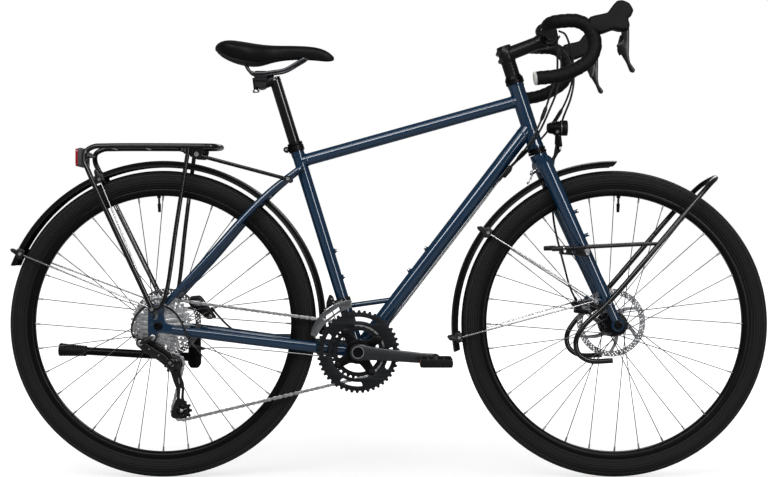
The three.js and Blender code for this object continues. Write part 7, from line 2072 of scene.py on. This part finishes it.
post_black = surface("post_black", (12, 12, 13), (22, 22, 23), (0.2, 0.3), metallic=0.3, patch=20,
                     grain=2400, bump=0.01, coat=0.6, coat_roughness=0.06)
head_black = surface("post_head_black", (22, 22, 23), (46, 46, 48), (0.34, 0.5), metallic=0.6, patch=50,
                     grain=1200, bump=0.25)
rail_seat = on_saddle(0.385, 1.33, 0)
head = rail_seat - UP * 0.0205
fitted([rod(on_seat_tube(0.392), post_top + seat_up * 0.002, 0.0134, steps=44),
        rod(post_top - seat_up * 0.004, post_top + seat_up * 0.0035, 0.014, 0.0128, steps=44)],
       "seatpost_tube", "saddle_post", post_black, "seatpost", "seatpost")
parts = [rod(post_top - seat_up * 0.001, head + Vector((0.001, 0, -0.001)), 0.0132, 0.0138, steps=36),
         pin(head, -0.0185, 0.0185, 0.015, steps=44, round_end=0.0015)]
lower_block = [(-0.015, 0.01), (0.015, 0.01), (0.0155, 0.0185), (0.01, 0.02), (-0.01, 0.02),
               (-0.0155, 0.0185)]
upper_block = [(-0.0145, 0.0212), (0.0145, 0.0212), (0.0125, 0.0258), (-0.0125, 0.0258)]
for outline in (lower_block, upper_block):
    parts.append(plate([rounded(outline, 0.0015, 2)], sideways(head, 0), 0.044, edge=0.001))
for side in (-1, 1):
    cheek = [(-0.013, 0.002), (0.013, 0.002), (0.015, 0.018), (-0.015, 0.018)]
    parts.append(plate([rounded(cheek, 0.003, 3)], sideways(head, side * 0.0195), 0.004, edge=0.0008))
parts.append(rod(head + Vector((-0.0155, 0, 0.012)), head + Vector((-0.0125, 0, -0.0175)), 0.006, 0.0052,
                 steps=24, round_end=0.0008))
fitted(parts, "seatpost_head", "saddle_post", head_black, "seatpost")
POST_BOLT_SHAPE = [(0, 0), (0.0075, 0), (0.008, 0.0008), (0.008, 0.0045), (0.0066, 0.006), (0.004, 0.006),
                   (0.0036, 0.0042), (0, 0.0042)]
fitted([turned(POST_BOLT_SHAPE, head + Vector((-0.0127, 0, -0.0165)), Vector((0.1, 0, -0.995)), 28)],
       "seatpost_bolt", "saddle_post", bolt_steel, "seatpost")

# Saddle rails
# A pair of round steel rods, bent under the saddle and pressed into sockets at its nose and tail.

RAIL_SHARES = [(0.252, 0.93), (0.272, 1.13), (0.305, 1.3), (0.385, 1.33), (0.482, 1.28), (0.584, 1.19),
               (0.69, 0.91), (0.752, 0.73), (0.77, 0.69)]
rail_steel = surface("rail_steel", (46, 47, 49), (88, 89, 92), (0.2, 0.32), metallic=0.95, patch=30)
parts = []
for side in (-1, 1):
    route = [on_saddle(x, h, side * (0.009 if index == len(RAIL_SHARES) - 1 else 0.022))
             for index, (x, h) in enumerate(RAIL_SHARES)]
    parts.append(spline(smooth_line(route, 6), 0.0035, smooth=False, steps=4))
fitted(parts, "saddle_rails_bent", "saddle_post", rail_steel, "saddle_rails", "saddle_rails")

# Saddle
# A moulded shell padded with foam, under one smooth black cover that is drawn over its edge.
# It is skinned over rings from the tail to the nose and rounded by subdivision.

SADDLE_SHARES = [(0, 0.36, 0.26, 0.42), (0.035, 0.74, 0.09, 0.58), (0.1, 0.95, 0, 0.74),
                 (0.17, 1, 0.01, 0.86), (0.26, 0.95, 0.07, 0.96), (0.36, 0.75, 0.14, 0.99),
                 (0.46, 0.5, 0.18, 0.85), (0.56, 0.36, 0.185, 0.77), (0.7, 0.27, 0.18, 0.73),
                 (0.86, 0.24, 0.23, 0.78), (0.95, 0.19, 0.4, 0.84), (1, 0.08, 0.62, 0.78)]
SECTION_SHARES = [(0, 1), (0.42, 0.985), (0.78, 0.9), (1, 0.66), (0.93, 0.3), (0.8, 0), (0.6, 0.06),
                  (0.3, 0.3)]
cover_black = surface("saddle_cover", (12, 12, 13), (25, 25, 26), (0.34, 0.46), patch=26, grain=1500,
                      bump=0.3, depth=0.0001)
section = SECTION_SHARES + [(-y, z) for y, z in reversed(SECTION_SHARES[1:])]
mesh, rings = bmesh.new(), []
for share, width, top, bottom in SADDLE_SHARES:
    rings.append([mesh.verts.new(on_saddle(share, bottom + (top - bottom) * z,
                                           y * width * SADDLE["half"])) for y, z in section])
lofted(mesh, rings)
for ring in (rings[0], rings[-1]):
    middle = mesh.verts.new(sum((vertex.co for vertex in ring), Vector()) / len(ring))
    for step in range(len(ring)):
        mesh.faces.new((ring[step], ring[(step + 1) % len(ring)], middle))
pad = skinned("pad", mesh)
smoother = pad.modifiers.new("smoother", "SUBSURF")
smoother.levels = smoother.render_levels = 3
bpy.ops.object.modifier_apply(modifier=smoother.name)
settled("saddle_pad", "saddle_post", cover_black, "saddle", "saddle", angle=80)
